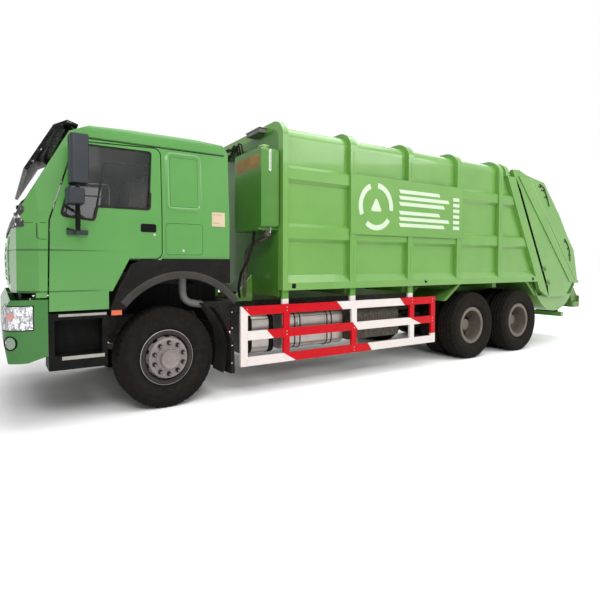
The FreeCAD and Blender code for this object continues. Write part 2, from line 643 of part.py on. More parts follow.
rear_spring = pad(
    "rear_spring", "XZ", spring_low_side, spring_high_side,
    [(at(spring_front), s.rear_spring_bottom), (at(spring_back), s.rear_spring_bottom),
     (at(spring_back), s.rear_spring_bottom + s.rear_spring_end),
     (at(bogie_middle + s.trunnion_bracket), spring_peak),
     (at(bogie_middle - s.trunnion_bracket), spring_peak),
     (at(spring_front), s.rear_spring_bottom + s.rear_spring_end)])
spring_seats = [box(f"{word}_spring_seat", (at(behind + s.axle_tube_radius),
                                            at(behind - s.axle_tube_radius)),
                    (spring_low_side, spring_high_side), (hub_height, s.rear_spring_bottom))
                for word, behind in (("middle", mid_axle), ("rear", rear_axle))]
saddle = box("saddle", (at(bogie_middle + s.trunnion_bracket / 2),
                        at(bogie_middle - s.trunnion_bracket / 2)),
             (spring_low_side, spring_high_side), (s.trunnion_height, s.rear_spring_bottom))
trunnion_post = box("trunnion_post", (at(bogie_middle + s.trunnion_bracket / 2),
                                      at(bogie_middle - s.trunnion_bracket / 2)),
                    (s.rail_side - s.rail_flange, s.rail_side),
                    (s.trunnion_height - s.trunnion_radius, s.rail_bottom))
left_bogie = fuse("left_bogie", rear_spring, *spring_seats, saddle, trunnion_post)
bogie_shaft = rod("bogie_shaft", "x", s.bogie_shaft_radius, s.bogie_spacing,
                  (at(rear_axle), 0, s.bogie_shaft_height))
node("rear_axles", fuse("rear_axles_whole", *rear_pieces, left_bogie, bogie_shaft,
                        mirror("right_bogie", left_bogie),
                        rod("trunnion", "y", s.trunnion_radius, 2 * spring_high_side,
                            (at(bogie_middle), -spring_high_side, s.trunnion_height))))

# Chassis frame: two channel rails, cross members and the cab's front pivots.
rail_in, web_in = s.rail_side - s.rail_flange, s.rail_side - s.rail_wall
rail = pad("rail", "YZ", at(s.rail_rear), at(-s.rail_front),
           [(s.rail_side, s.rail_bottom), (s.rail_side, s.rail_top), (rail_in, s.rail_top),
            (rail_in, s.rail_top - s.rail_wall), (web_in, s.rail_top - s.rail_wall),
            (web_in, s.rail_bottom + s.rail_wall), (rail_in, s.rail_bottom + s.rail_wall),
            (rail_in, s.rail_bottom)])
member_stations = {
    "front": -s.rail_front + s.member_length, "gearbox": s.gearbox_rear + s.member_length,
    "tank": s.fuel_rear, "middle": s.silencer_rear, "bogie_front": mid_axle - s.tyre_radius,
    "bogie": bogie_middle, "rear": s.rail_rear - s.member_length}
members = [box("member_" + word, (at(behind + s.member_length), at(behind)),
               (-web_in, web_in), (s.member_bottom, s.member_top))
           for word, behind in member_stations.items()]
pivot_block = box("pivot_block", (at(-s.rail_front), at(-s.pivot_front - s.pivot_lug_radius)),
                  (rail_in, s.rail_side), (s.pivot_height - s.pivot_lug_radius,
                                           s.pivot_height + s.pivot_lug_radius))
arm_side = s.rail_side + s.panel_gap
pivot_pin = rod("pivot_pin", "y", s.pivot_radius, arm_side + s.pivot_arm - rail_in,
                (at(-s.pivot_front), rail_in, s.pivot_height))
left_rail = fuse("left_rail", rail, pivot_block, pivot_pin)
# The jaw's back plate stands face to face on the front member.
tow_rear = at(-s.rail_front + s.member_length)
tow_top = s.member_bottom
tow_jaw = [box("tow_back", (tow_rear, tow_rear + s.tow_plate), (-s.tow_half, s.tow_half),
               (s.tow_bottom, s.member_top)),
           box("tow_lower", (tow_rear, at(-s.tow_front)), (-s.tow_half, s.tow_half),
               (s.tow_bottom, s.tow_bottom + s.tow_plate)),
           box("tow_upper", (tow_rear, at(-s.tow_front)), (-s.tow_half, s.tow_half),
               (tow_top - s.tow_plate, tow_top))]
tow_bore = rod("tow_bore", "z", s.tow_bore, s.member_top,
               (at(-s.tow_pin_front), 0, s.tow_bottom / 2))
node("chassis_frame", group(
    "frame_parts", fuse("frame_whole", left_rail, mirror("right_rail", left_rail), *members),
    cut("tow_bored", fuse("tow_whole", *tow_jaw), tow_bore)))

# Engine, gearbox and shafts.
mounts = [box(f"engine_mount_{index}", (at(behind + s.engine_mount_length), at(behind)),
              (-web_in, web_in),
              (s.engine_mount_bottom, s.engine_mount_bottom + s.engine_mount_height))
          for index, behind in enumerate((-s.engine_front + s.engine_mount_length,
                                          s.engine_rear - 2 * s.engine_mount_length))]
shaft_front = (at(s.gearbox_rear), s.shaft_height)
shaft_rear = (at(mid_axle - s.pinion_reach - s.shaft_joint_radius - s.seam), hub_height)
shaft_joint = doc.addObject("Part::Sphere", "shaft_joint")
bind(shaft_joint, "Radius", s.shaft_joint_radius)
place(shaft_joint, (shaft_rear[0], 0, shaft_rear[1]))
node("driveline", fuse(
    "driveline_whole", *mounts, shaft_joint,
    strut("main_shaft", s.shaft_radius, 0, shaft_front, shaft_rear),
    box("engine", (at(s.engine_rear), at(-s.engine_front)), (-s.engine_side, s.engine_side),
        (s.engine_bottom, s.engine_top)),
    box("gearbox", (at(s.gearbox_rear), at(s.engine_rear)), (-s.gearbox_side, s.gearbox_side),
        (s.gearbox_bottom, s.gearbox_top))))

# Body shell: inner and outer outlines across the truck, shared by the roof, ribs and walls.
skin_inner = s.skin_outer - s.skin_wall
roof_inner = s.roof_top - s.skin_wall
rib_top = s.roof_top + s.post_outer - s.skin_outer


def hoop(name, low, high, outer, inner, top, under, outer_round, inner_round):
    arch = pad(name + "_outer", "YZ", low, high,
               [(outer, s.side_top), (outer, top), (-outer, top), (-outer, s.side_top)],
               rounds=[((1, 2), outer_round)])
    hollow = pad(name + "_inner", "YZ", size_of(low) - s.post_width, high + s.post_width,
                 [(inner, s.side_top - s.skin_wall), (inner, under), (-inner, under),
                  (-inner, s.side_top - s.skin_wall)],
                 rounds=[((1, 2), inner_round)])
    return cut(name, arch, hollow)


posts = [(s.body_front, s.first_post_width)]
posts += [(s.post_one + index * s.post_spacing, s.post_width) for index in range(4)]
roof_skin = hoop("roof_skin", at(slit(s.side_top)), at(s.body_front), s.skin_outer, skin_inner,
                 s.roof_top, roof_inner, s.roof_corner, s.roof_corner - s.skin_wall)
ribs = [hoop(f"rib_{index}", at(behind + width), at(behind), s.post_outer, s.skin_outer,
             rib_top, s.roof_top, s.roof_corner + rib_top - s.roof_top, s.roof_corner)
        for index, (behind, width) in enumerate(posts)]
rear_beam = hoop("rear_beam", at(s.rear_beam_front + s.rear_beam_length), at(s.rear_beam_front),
                 s.post_outer, s.skin_outer, rib_top, s.roof_top,
                 s.roof_corner + rib_top - s.roof_top, s.roof_corner)
beyond_slit = pad("beyond_slit", "XZ", -s.post_outer * 2, s.post_outer * 2,
                  [(at(slit(s.side_top - s.post_outer) - s.slit_gap), s.side_top - s.post_outer),
                   (at(slit(s.roof_top * 2) - s.slit_gap), s.roof_top * 2),
                   (at(s.rear_reach), s.roof_top * 2),
                   (at(s.rear_reach), s.side_top - s.post_outer)])
tail_lugs = []
for word, sign in (("left", 1), ("right", -1)):
    side = s.tail_ear_side * sign
    lug_block = box("tail_lug_block_" + word,
                    (at(s.tail_hinge + s.tail_lug_radius), at(s.tail_hinge - s.tail_lug_radius)),
                    (side - s.tail_ear / 2, side + s.tail_ear / 2),
                    (s.roof_top - s.skin_wall / 2, s.tail_hinge_height))
    pin_reach = s.tail_ear * 1.5 + s.tail_ear_gap * 2
    tail_lugs += [
        lug_block,
        rod("tail_lug_" + word, "y", s.tail_lug_radius, s.tail_ear,
            (at(s.tail_hinge), side - s.tail_ear / 2, s.tail_hinge_height)),
        rod("tail_pin_" + word, "y", s.tail_pin_radius, 2 * pin_reach,
            (at(s.tail_hinge), side - pin_reach, s.tail_hinge_height))]
node("body_roof", fuse("roof_whole", cut("roof_trimmed",
                                         fuse("roof_ribbed", roof_skin, rear_beam, *ribs),
                                         beyond_slit), *tail_lugs))

# Sides: skin, posts, stringers, sill and the slanted rear post.
slant = s.slant_post_width
side_skin = pad("side_skin", "XZ", skin_inner, s.skin_outer,
                [(at(s.body_front), s.body_bottom),
                 (at(slit(s.body_bottom) - s.slit_gap), s.body_bottom),
                 (at(slit(s.side_top) - s.slit_gap), s.side_top), (at(s.body_front), s.side_top)])
side_posts = [box(f"post_{index}", (at(behind + width), at(behind)),
                  (s.skin_outer, s.post_outer), (s.body_bottom, s.side_top))
              for index, (behind, width) in enumerate(posts)]
slant_post = pad("slant_post", "XZ", s.skin_outer, s.post_outer,
                 [(at(slit(s.slant_post_foot) - slant), s.slant_post_foot),
                  (at(slit(s.slit_foot_height) - s.slit_gap), s.slit_foot_height),
                  (at(slit(s.side_top) - s.slit_gap), s.side_top),
                  (at(slit(s.side_top) - slant), s.side_top)])


def stringer(name, bottom, top):
    return pad(name, "YZ", at(slit(top) - slant / 2), at(s.body_front),
               [(s.skin_outer, bottom), (s.stringer_outer, bottom + s.stringer_slope),
                (s.stringer_outer, top - s.stringer_slope), (s.skin_outer, top)])


sill = pad("sill", "YZ", at(slit(s.sill_ledge) - slant / 2), at(s.body_front),
           [(skin_inner, s.body_bottom), (s.post_outer, s.body_bottom),
            (s.post_outer, s.sill_face), (s.skin_outer, s.sill_ledge), (skin_inner, s.sill_ledge)])
sign_plate = box("sign_plate", (at(s.sign_rear), at(s.sign_front)),
                 (s.stringer_outer, s.post_outer + s.sign_sheet), (s.sign_bottom, s.sign_top))
left_side = fuse("left_side", side_skin, *side_posts, slant_post, sill, sign_plate,
                 stringer("upper_stringer", s.upper_stringer_bottom, s.upper_stringer_top),
                 stringer("lower_stringer", s.lower_stringer_bottom, s.lower_stringer_top))
node("body_side_left", left_side)
node("body_side_right", mirror("right_side", left_side))

front_inner = s.body_front + s.skin_wall
node("body_front_wall", pad("front_wall", "YZ", at(front_inner), at(s.body_front),
                            [(skin_inner, s.body_bottom), (skin_inner, roof_inner),
                             (-skin_inner, roof_inner), (-skin_inner, s.body_bottom)],
                            rounds=[((1, 2), s.roof_corner - s.skin_wall)]))

floor_top = s.body_bottom + s.skin_wall
floor_plate = pad("floor_plate", "XZ", -skin_inner, skin_inner,
                  [(at(front_inner), s.body_bottom), (at(s.floor_rear_end), s.body_bottom),
                   (at(s.floor_rear_end), floor_top), (at(front_inner), floor_top)])
bearers = [box(f"bearer_{index}", (at(behind + width), at(behind)),
               (-skin_inner, skin_inner), (s.bearer_bottom, s.body_bottom))
           for index, (behind, width) in enumerate(posts)]
subframe = [box("subframe_" + word, (at(s.subframe_rear), at(s.body_front)),
                (side - s.rail_flange / 2, side + s.rail_flange / 2),
                (s.rail_top, s.body_bottom))
            for word, side in (("left", s.rail_side - s.rail_flange / 2),
                               ("right", -s.rail_side + s.rail_flange / 2))]
node("body_floor", fuse("floor_whole", floor_plate, *bearers, *subframe))

# Ejector: slanted face plate on a skid, stiffened by gussets.
ejector_low = floor_top + s.seam


def ejector_face(height):
    return s.ejector_foot - (height - ejector_low) * tangent(s.slit_angle)


face = pad("ejector_face", "XZ", -s.ejector_side, s.ejector_side,
           [(at(ejector_face(ejector_low)), ejector_low),
            (at(ejector_face(s.ejector_top)), s.ejector_top),
            (at(ejector_face(s.ejector_top) - s.ejector_plate), s.ejector_top),
            (at(ejector_face(ejector_low) - s.ejector_plate), ejector_low)])
face_outline = pad("ejector_outline", "YZ", at(s.ejector_foot + s.ejector_plate),
                   at(s.ejector_skid_front - s.ejector_plate),
                   [(s.ejector_side, ejector_low), (s.ejector_side, s.ejector_top),
                    (-s.ejector_side, s.ejector_top), (-s.ejector_side, ejector_low)],
                   rounds=[((1, 2), s.ejector_corner)])
skid = box("ejector_skid", (at(s.ejector_foot - s.ejector_plate), at(s.ejector_skid_front)),
           (-s.ejector_side, s.ejector_side), (ejector_low, ejector_low + s.ejector_skid))
gussets = [pad("ejector_gusset_" + word, "XZ", side - s.gusset / 2, side + s.gusset / 2,
               [(at(ejector_face(ejector_low) - s.ejector_plate / 2), ejector_low),
                (at(ejector_face(s.ejector_top) - s.ejector_plate / 2), s.ejector_top),
                (at(ejector_face(s.ejector_top) - s.ejector_plate), s.ejector_top),
                (at(s.ejector_skid_front), ejector_low + s.ejector_skid),
                (at(s.ejector_skid_front), ejector_low)])
           for word, side in (("left", s.gusset_side), ("right", -s.gusset_side))]
node("ejector", fuse("ejector_whole", common("ejector_plate_cut", face, face_outline),
                     skid, *gussets))

# Oil tank on the front wall, with its filler cap and shelf.
oil = pad("oil_box", "YZ", at(s.oil_rear), at(s.oil_front),
          [(s.oil_inner, s.oil_bottom), (s.oil_outer, s.oil_bottom),
           (s.oil_outer, s.oil_top), (s.oil_inner, s.oil_top)],
          rounds=[((0, 1, 2, 3), s.oil_round)])
oil_middle_side = (s.oil_inner + s.oil_outer) / 2
node("oil_tank", fuse(
    "oil_tank_whole", oil,
    rod("oil_cap", "z", s.oil_cap_radius, s.oil_cap_height,
        (at((s.oil_front + s.oil_rear) / 2), oil_middle_side, s.oil_top)),
    box("oil_shelf", (at(s.body_front), at(s.oil_front)), (s.oil_inner, skin_inner),
        (s.oil_bottom - s.oil_shelf, s.oil_bottom))))


# Boxes and tanks hung from the frame: an outline across the truck with hangers to the rail.
def hung_tank(name, front, rear, inner, outer, bottom, top, corner, stations, strapped):
    tank = pad(name + "_shell", "YZ", at(rear), at(front),
               [(inner, bottom), (outer, bottom), (outer, top), (inner, top)],
               rounds=[((0, 1, 2, 3), corner)])
    pieces = [tank]
    for index, behind in enumerate(stations):
        low, high = at(behind + s.hanger_width), at(behind)
        pieces.append(box(f"{name}_hanger_{index}", (low, high), (s.rail_side, inner + corner),
                          (s.hanger_bottom, s.hanger_bottom + s.hanger_height)))
        if strapped:
            sheet_out = s.strap_sheet
            pieces.append(pad(f"{name}_strap_{index}", "YZ", low, high,
                              [(inner - sheet_out, bottom - sheet_out),
                               (outer + sheet_out, bottom - sheet_out),
                               (outer + sheet_out, top + sheet_out),
                               (inner - sheet_out, top + sheet_out)],
                              rounds=[((0, 1, 2, 3), corner + sheet_out)]))
    return fuse(name + "_whole", *pieces)


def third_points(front, rear):
    return (front + s.strap_inset, rear - s.strap_inset - s.hanger_width)


node("fuel_tank", hung_tank("fuel", s.fuel_front, s.fuel_rear, s.fuel_inner, s.fuel_outer,
                            s.fuel_bottom, s.fuel_top, s.fuel_round,
                            third_points(s.fuel_front, s.fuel_rear), True))
node("air_tank", hung_tank("air", s.air_front, s.air_rear, s.air_inner, s.fuel_outer,
                           s.air_bottom, s.air_top, s.air_round,
                           [(s.air_front + s.air_rear - s.hanger_width) / 2], False))
node("silencer", hung_tank("silencer", s.silencer_front, s.silencer_rear, s.silencer_inner,
                           s.silencer_outer, s.silencer_bottom, s.silencer_top,
                           s.silencer_round, third_points(s.silencer_front, s.silencer_rear),
                           False))
node("battery_box", mirror("battery_turned", hung_tank(
    "battery", s.battery_front, s.battery_rear, s.battery_inner, s.battery_outer,
    s.battery_bottom, s.battery_top, s.silencer_round,
    third_points(s.battery_front, s.battery_rear), False)))

# Side guards: three rails on posts hung from the body's sill.
guard_inner = s.guard_outer - s.guard_sheet
rails = [box(f"guard_rail_{index}", (at(s.guard_rear), at(s.guard_front)),
             (guard_inner, s.guard_outer), (bottom, bottom + s.guard_rail_height))
         for index, bottom in enumerate((s.guard_rail_one, s.guard_rail_two, s.guard_rail_three))]
guard_stations = (s.guard_front, s.guard_post_one, s.guard_post_two, s.guard_post_three,
                  s.guard_rear - s.guard_post_width)
guard_posts = [box(f"guard_post_{index}", (at(behind + s.guard_post_width), at(behind)),
                   (guard_inner, s.guard_outer),
                   (s.guard_rail_three, s.guard_rail_one + s.guard_rail_height))
               for index, behind in enumerate(guard_stations)]
guard_hangers = [box(f"guard_hanger_{index}", (at(behind + s.guard_post_width), at(behind)),
                     (guard_inner - s.guard_sheet, guard_inner),
                     (s.guard_rail_one, s.body_bottom))
                 for index, behind in enumerate(guard_stations[1:4])]
node("side_guards", pair("guards", fuse("left_guard", *rails, *guard_posts, *guard_hangers)))

# Mudguards: curved flaps behind the front wheels, slanted plates round the bogie.
flap = arc_band("flap", 0, hub_height, s.flap_radius, s.flap_radius + s.flap_thickness,
                -s.flap_low_angle, s.flap_low_angle + s.flap_high_angle,
                s.flap_inner, s.flap_outer)
stay_reach = s.flap_radius + s.flap_thickness + s.flap_stay / 2 - s.seam
stay_angle = (s.flap_high_angle - s.flap_low_angle) / 2 + s.flap_low_angle / 2
stay = rod("flap_stay", "y", s.flap_stay / 2, s.flap_outer - s.rail_side,
           (at(stay_reach * cosine(stay_angle)), s.rail_side,
            hub_height + stay_reach * sine(stay_angle)))


def mud_plate(name, top, foot):
    lean = s.mud_flange if float(top) > float(foot) else -s.mud_flange
    share = s.guard_plate / s.mud_flange
    outline = [(at(top), s.body_bottom), (at(foot), s.front_plate_height)]
    plate_outline = outline + [(at(foot + lean * share), s.front_plate_height),
                               (at(top + lean * share), s.body_bottom)]
    flange_outline = outline + [(at(foot + lean), s.front_plate_height),
                                (at(top + lean), s.body_bottom)]
    return fuse(name, pad(name + "_plate", "XZ", s.mud_inner, s.mud_outer, plate_outline),
                pad(name + "_flange", "XZ", s.mud_outer - s.guard_plate, s.mud_outer,
                    flange_outline))


bearer_notch = box("bearer_notch", (at(s.front_plate_top + s.mud_flange), at(s.front_plate_foot)),
                   (0, skin_inner + s.seam), (s.bearer_bottom - s.seam, s.sill_face))
left_mudguards = [fuse("flap_whole", flap, stay),
                  cut("front_mud_cut",
                      mud_plate("front_mud", s.front_plate_top, s.front_plate_foot),
                      bearer_notch),
                  mud_plate("rear_mud", s.rear_plate_top, s.rear_plate_foot)]
node("mudguards", pair("mudguard_pair", group("left_mudguards", *left_mudguards)))

# Bumper: a bent sheet with wings along the sides and a lamp block in each front corner.


def bumper_shape(name, inset, rise):
    plan = pad(name + "_plan", "XY", s.bumper_end_bottom / 2, s.bumper_top * 2,
               [(at(-s.bumper_end) - rise, s.bumper_side - inset),
                (at(-s.front_reach) - inset, s.bumper_side - inset),
                (at(-s.front_reach) - inset, -s.bumper_side + inset),
                (at(-s.bumper_end) - rise, -s.bumper_side + inset)],
               rounds=[((1, 2), s.bumper_corner - inset)])
    side = pad(name + "_side", "XZ", -s.bumper_side, s.bumper_side,
               [(at(-s.bumper_end) - rise, s.bumper_end_bottom - rise),
                (at(-s.bumper_end - s.bumper_corner), s.bumper_bottom - rise),
                (at(-s.front_reach + s.bumper_tuck) - inset, s.bumper_bottom - rise),
                (at(-s.front_reach) - inset, s.bumper_keel),
                (at(-s.front_reach) - inset, s.bumper_belly),
                (at(-s.front_reach + s.bumper_brow) - inset, s.bumper_top + rise),
                (at(-s.bumper_end) - rise, s.bumper_top + rise)])
    return common(name, plan, side)


bumper_solid = bumper_shape("bumper_solid", 0, 0)
bumper_hollow = bumper_shape("bumper_hollow", s.bumper_sheet, s.bumper_sheet)
lamp_solid = bumper_shape("lamp_solid", s.lamp_recess, 0)
lamp_holes = [box("lamp_hole_" + word, (at(-s.lamp_rear), at(-s.front_reach * 2)),
                  (low, high), (s.lamp_bottom, s.lamp_top))
              for word, low, high in (("left", s.lamp_inner_side, s.bumper_side * 2),
                                      ("right", -s.bumper_side * 2, -s.lamp_inner_side))]
lamps = [common("lamp_" + word, lamp_solid, hole)
         for word, hole in zip(("left", "right"), lamp_holes)]
bracket_front = s.front_reach - s.bumper_sheet
bumper_brackets = [box(f"bumper_bracket_{index}", (at(-s.rail_front), at(-bracket_front)),
                       (low, low + s.rail_flange),
                       (s.pivot_height + s.pivot_lug_radius, s.rail_top))
                   for index, low in enumerate((s.rail_side - s.rail_flange, -s.rail_side))]
tow_opening = box("tow_opening", (at(-s.rail_front), at(-s.front_reach * 2)),
                  (-s.tow_half - s.tow_clear, s.tow_half + s.tow_clear),
                  (s.tow_bottom - s.tow_clear / 2, tow_top + s.tow_clear / 2))
node("bumper", fuse("bumper_whole",
                    cut("bumper_shell", bumper_solid, bumper_hollow, tow_opening, *lamp_holes),
                    *lamps, *bumper_brackets))

# Cab steps: a box each side with two treads.
step_box = box("step_box", (at(-s.step_rear), at(-s.step_front)), (s.step_inner, s.step_outer),
               (s.step_bottom, s.step_top))
step_recess = box("step_recess", (at(-s.step_rear - s.step_recess_end),
                                  at(-s.step_front + s.step_recess_end)),
                  (s.step_outer - s.step_recess_depth, s.step_outer * 2),
                  (s.step_recess_bottom, s.step_recess_top))
step_middle = (s.step_front + s.step_rear) / 2
step_bracket = box("step_bracket", (at(-step_middle + s.step_bracket_length), at(-step_middle)),
                   (s.rail_side, s.step_inner),
                   (s.step_bracket_bottom, s.step_bracket_bottom + s.step_bracket_height))
node("cab_steps", pair("steps", fuse("left_step", cut("step_cut", step_box, step_recess),
                                     step_bracket)))

# Cab: side, front and plan outlines that cut each other, outside and again a wall inside.
# Rows: behind, height, and how far the inner outline moves inwards, in walls.
cab_rows = [
    (-s.cab_front_bottom, s.cab_bottom, 1, 1), (-s.cab_nose, s.cab_nose_height, 1, 0),
    (-s.cowl_front, s.cowl_height, 1, -0.3), (-s.screen_foot, s.screen_foot_height, 1, -0.6),
    (-s.screen_head, s.screen_head_height, 0.8, -0.7), (-s.roof_front, s.roof_front_height, 0.3, -1),
    (-s.roof_front / 2, s.cab_roof, 0, -1), (s.roof_rear / 2, s.cab_roof, 0, -1),
    (s.roof_rear, s.roof_rear_height, -0.5, -1), (s.cab_rear, s.rear_top_height, -1, -0.5),
    (s.cab_rear, s.bunk_floor, -1, 1), (-s.bunk_front, s.bunk_floor, 0, 1),
    (-s.floor_rear, s.cab_bottom, 0, 1)]
skirt = [(-s.door_bottom_rear, s.cab_bottom), (-s.door_bottom_rear, s.door_bottom - s.panel_gap),
         (-s.door_front, s.door_bottom - s.panel_gap), (-s.door_front, s.cab_bottom)]


def cab_shape(name, wall, with_skirt):
    side_outline = [(at(behind + wall * inward), height + wall * raised)
                    for behind, height, inward, raised in cab_rows]
    if with_skirt:
        side_outline += [(at(behind), height) for behind, height in skirt]
    low, lean_top = s.door_bottom / 2, s.cab_roof + s.cab_wall
    across = s.cab_side - wall
    front_outline = [(across, low), (across, s.cab_lean_height),
                     (across - s.cab_lean, lean_top - wall)]
    front_outline += [(-side, up) for side, up in reversed(front_outline)]
    nose_x = at(-s.cab_nose) - wall
    cheek_x, side_x = at(-s.cab_plan_cheek_front) - wall, at(-s.cab_plan_side_front) - wall / 2
    plan = [(nose_x, s.cab_plan_nose), (cheek_x, s.cab_plan_cheek - wall / 2),
            (side_x, across), (at(s.cab_rear * 2), across)]
    plan += [(behind, -side) for behind, side in reversed(plan)]
    return common(
        name, pad(name + "_sides", "XZ", -s.cab_side, s.cab_side, side_outline),
        pad(name + "_ends", "YZ", at(s.cab_rear * 2), at(-s.cab_nose * 2), front_outline,
            rounds=[((2, 3), s.cab_roof_corner)]),
        pad(name + "_plan", "XY", low, s.cab_roof * 2, plan))


outer_cab = cab_shape("outer_cab", 0, True)
inner_cab = cab_shape("inner_cab", s.cab_wall, False)
tunnel_rear = -s.bunk_front + s.cab_wall
tunnel = box("tunnel", (at(tunnel_rear), at(-s.tunnel_front)), (-s.tunnel_side, s.tunnel_side),
             (s.cab_bottom, s.tunnel_top))
tunnel_inner = box("tunnel_inner", (at(tunnel_rear), at(-s.tunnel_front + s.tunnel_wall)),
                   (-s.tunnel_side + s.tunnel_wall, s.tunnel_side - s.tunnel_wall),
                   (s.door_bottom, s.tunnel_top - s.tunnel_wall))
below_floor = box("below_floor", (at(s.cab_rear), at(-s.cab_nose)),
                  (-s.cab_side + s.cab_wall, s.cab_side - s.cab_wall),
                  (s.door_bottom / 2, s.cab_bottom))
screen_prism = pad("screen_prism", "YZ", at(-s.roof_front), at(-s.cab_nose * 2),
                   [(s.screen_half_low, s.screen_low), (s.screen_half_high, s.screen_high),
                    (-s.screen_half_high, s.screen_high), (-s.screen_half_low, s.screen_low)],
                   rounds=[((0, 1, 2, 3), s.screen_round)])

# Door and window outlines, as (behind, height).
door_rows = [
    (-s.door_front, s.door_bottom), (-s.door_bottom_rear, s.door_bottom),
    (-s.door_arch_low, s.door_arch_low_height), (-s.door_arch_high, s.door_arch_high_height),
    (-s.door_arch_top, s.door_arch_top_height), (-s.door_rear, s.door_arch_top_height),
    (-s.door_rear, s.door_top), (-s.door_head_front, s.door_head_height),
    (-s.door_belt_front, s.door_belt_height)]
window_rows = [
    (-s.window_rear_low, s.window_sill), (-s.window_rear_high, s.window_high),
    (-s.window_front_high, s.window_high),
    (-s.window_front_low, s.window_front_low_height), (-s.window_dip_front, s.window_dip),
    (-s.window_dip_rear, s.window_sill)]
door_outward = (1, -1), (-1, -1), (-1, -1), (-1, -1), (0, -1), (-1, -1), (-1, 1), (1, 1), (1, 0)


def door_prism(name, low, high, gap, front_gap):
    outline = [(at(behind) + (front_gap if forward > 0 else gap) * forward, height + gap * up)
               for (behind, height), (forward, up) in zip(door_rows, door_outward)]
    return pad(name, "XZ", low, high, outline,
               rounds=[((5, 6), s.door_corner + gap)])


door_inside = s.cab_side - s.cab_wall
leaf_low = s.cab_side - 2 * s.cab_wall
leaf_high = s.cab_side + s.cab_wall
sill_top = s.cab_bottom + s.cab_wall
door_block = door_prism("door_block", leaf_low, leaf_high, 0, 0)
door_hole = door_prism("door_hole", leaf_low, leaf_high, s.panel_gap, s.door_front_gap)
sill_block = box("sill_block", (at(0), at(-s.cab_nose)), (0, door_inside),
                 (s.door_bottom / 2, sill_top))
sill_gap = box("sill_gap", (at(0), at(-s.cab_nose)), (0, door_inside - s.panel_gap),
               (s.door_bottom / 2, sill_top))
window_prism = pad("window_prism", "XZ", leaf_low, leaf_high,
                   [(at(behind), height) for behind, height in window_rows],
                   rounds=[((0, 1, 2, 3), s.window_round)])
cab_skin = cut("cab_skin", fuse("cab_with_tunnel", cut("cab_hollow", outer_cab, inner_cab),
                                tunnel), tunnel_inner, below_floor, screen_prism)

# Door hinges: goose-necked brackets from the front pillar, round pins in the door's pockets.
hinge_x, hinge_y = at(-s.hinge_front), s.hinge_side
pockets, hinge_pins, hinge_brackets = [], [], []
for word, height in (("low", s.hinge_low), ("high", s.hinge_high)):
    bottom, top = height - s.hinge_half, height + s.hinge_half
    pockets.append(box("hinge_pocket_" + word,
                       (hinge_x - s.hinge_eye - s.hinge_clear, at(-s.door_front * 2)),
                       (leaf_low, hinge_y + s.hinge_eye + s.hinge_skin_clear),
                       (bottom - s.hinge_clear, top + s.hinge_clear)))
    hinge_pins.append(rod("hinge_pin_" + word, "z", s.hinge_pin, 4 * s.hinge_half,
                          (hinge_x, hinge_y, height - 2 * s.hinge_half)))
    elbow_in, elbow_out = hinge_y - s.hinge_elbow - s.hinge_bar, hinge_y - s.hinge_elbow
    bar = pad("hinge_bar_" + word, "XY", bottom, top,
              [(hinge_x - s.hinge_eye, hinge_y), (hinge_x - s.hinge_eye, elbow_in),
               (at(-s.hinge_foot_front), elbow_in), (at(-s.hinge_foot_front), door_inside),
               (at(-s.hinge_foot_rear), door_inside), (at(-s.hinge_foot_rear), elbow_out),
               (hinge_x + s.hinge_eye, elbow_out), (hinge_x + s.hinge_eye, hinge_y)])
    eye = rod("hinge_eye_" + word, "z", s.hinge_eye, 2 * s.hinge_half,
              (hinge_x, hinge_y, bottom))
    hinge_brackets.append(cut("hinge_bracket_" + word, fuse("hinge_solid_" + word, bar, eye),
                              rod("hinge_bore_" + word, "z", s.hinge_pin + s.running_fit,
                                  4 * s.hinge_half,
                                  (hinge_x, hinge_y, height - 2 * s.hinge_half))))
left_door = fuse("left_door",
                 cut("door_leaf_cut", common("door_leaf", cab_skin, door_block), sill_block,
                     window_prism, *pockets), *hinge_pins)
node("door_left", left_door)
node("door_right", mirror("right_door", left_door))

door_hole_tool = cut("door_hole_tool", door_hole, sill_gap)
open_cab = cut("open_cab", cab_skin, door_hole_tool, mirror("right_door_hole", door_hole_tool))
cab_wide = s.cab_side * 2
above_drip = box("above_drip", (at(cab_wide), at(-cab_wide)), (-cab_wide, cab_wide),
                 (s.drip_height, cab_wide * 2))
front_zone = box("front_zone", (at(-s.door_front - s.door_front_gap), at(-cab_wide)),
                 (-cab_wide, cab_wide), (s.cab_bottom / 2, s.front_panel_top))
node("cab_roof", common("cab_roof_whole", open_cab, above_drip))
arm_root_x, arm_rise = at(-s.pivot_front), s.cab_bottom - s.pivot_height
arm_foot_x = arm_root_x - arm_rise * tangent(s.pivot_arm_lean)
across_x = s.pivot_arm_half * cosine(s.pivot_arm_lean)
across_z = s.pivot_arm_half * sine(s.pivot_arm_lean)
foot_half = s.pivot_arm_half / cosine(s.pivot_arm_lean)
pivot_arm_bar = pad("pivot_arm_bar", "XZ", arm_side, arm_side + s.pivot_arm,
                    [(arm_root_x + across_x, s.pivot_height + across_z),
                     (arm_root_x - across_x, s.pivot_height - across_z),
                     (arm_foot_x - foot_half, s.cab_bottom),
                     (arm_foot_x + foot_half, s.cab_bottom)])
pivot_arm_eye = rod("pivot_arm_eye", "y", s.pivot_lug_radius, s.pivot_arm,
                    (arm_root_x, arm_side, s.pivot_height))
pivot_arm_bore = rod("pivot_arm_bore", "y", s.pivot_radius + s.running_fit, s.pivot_arm * 3,
                     (arm_root_x, arm_side - s.pivot_arm, s.pivot_height))
pivot_arm = cut("pivot_arm", fuse("pivot_arm_solid", pivot_arm_bar, pivot_arm_eye),
                pivot_arm_bore)
node("cab_shell", fuse("cab_shell_whole",
                       cut("cab_shell_skin", open_cab, above_drip, front_zone),
                       pivot_arm, mirror("right_pivot_arm", pivot_arm)))
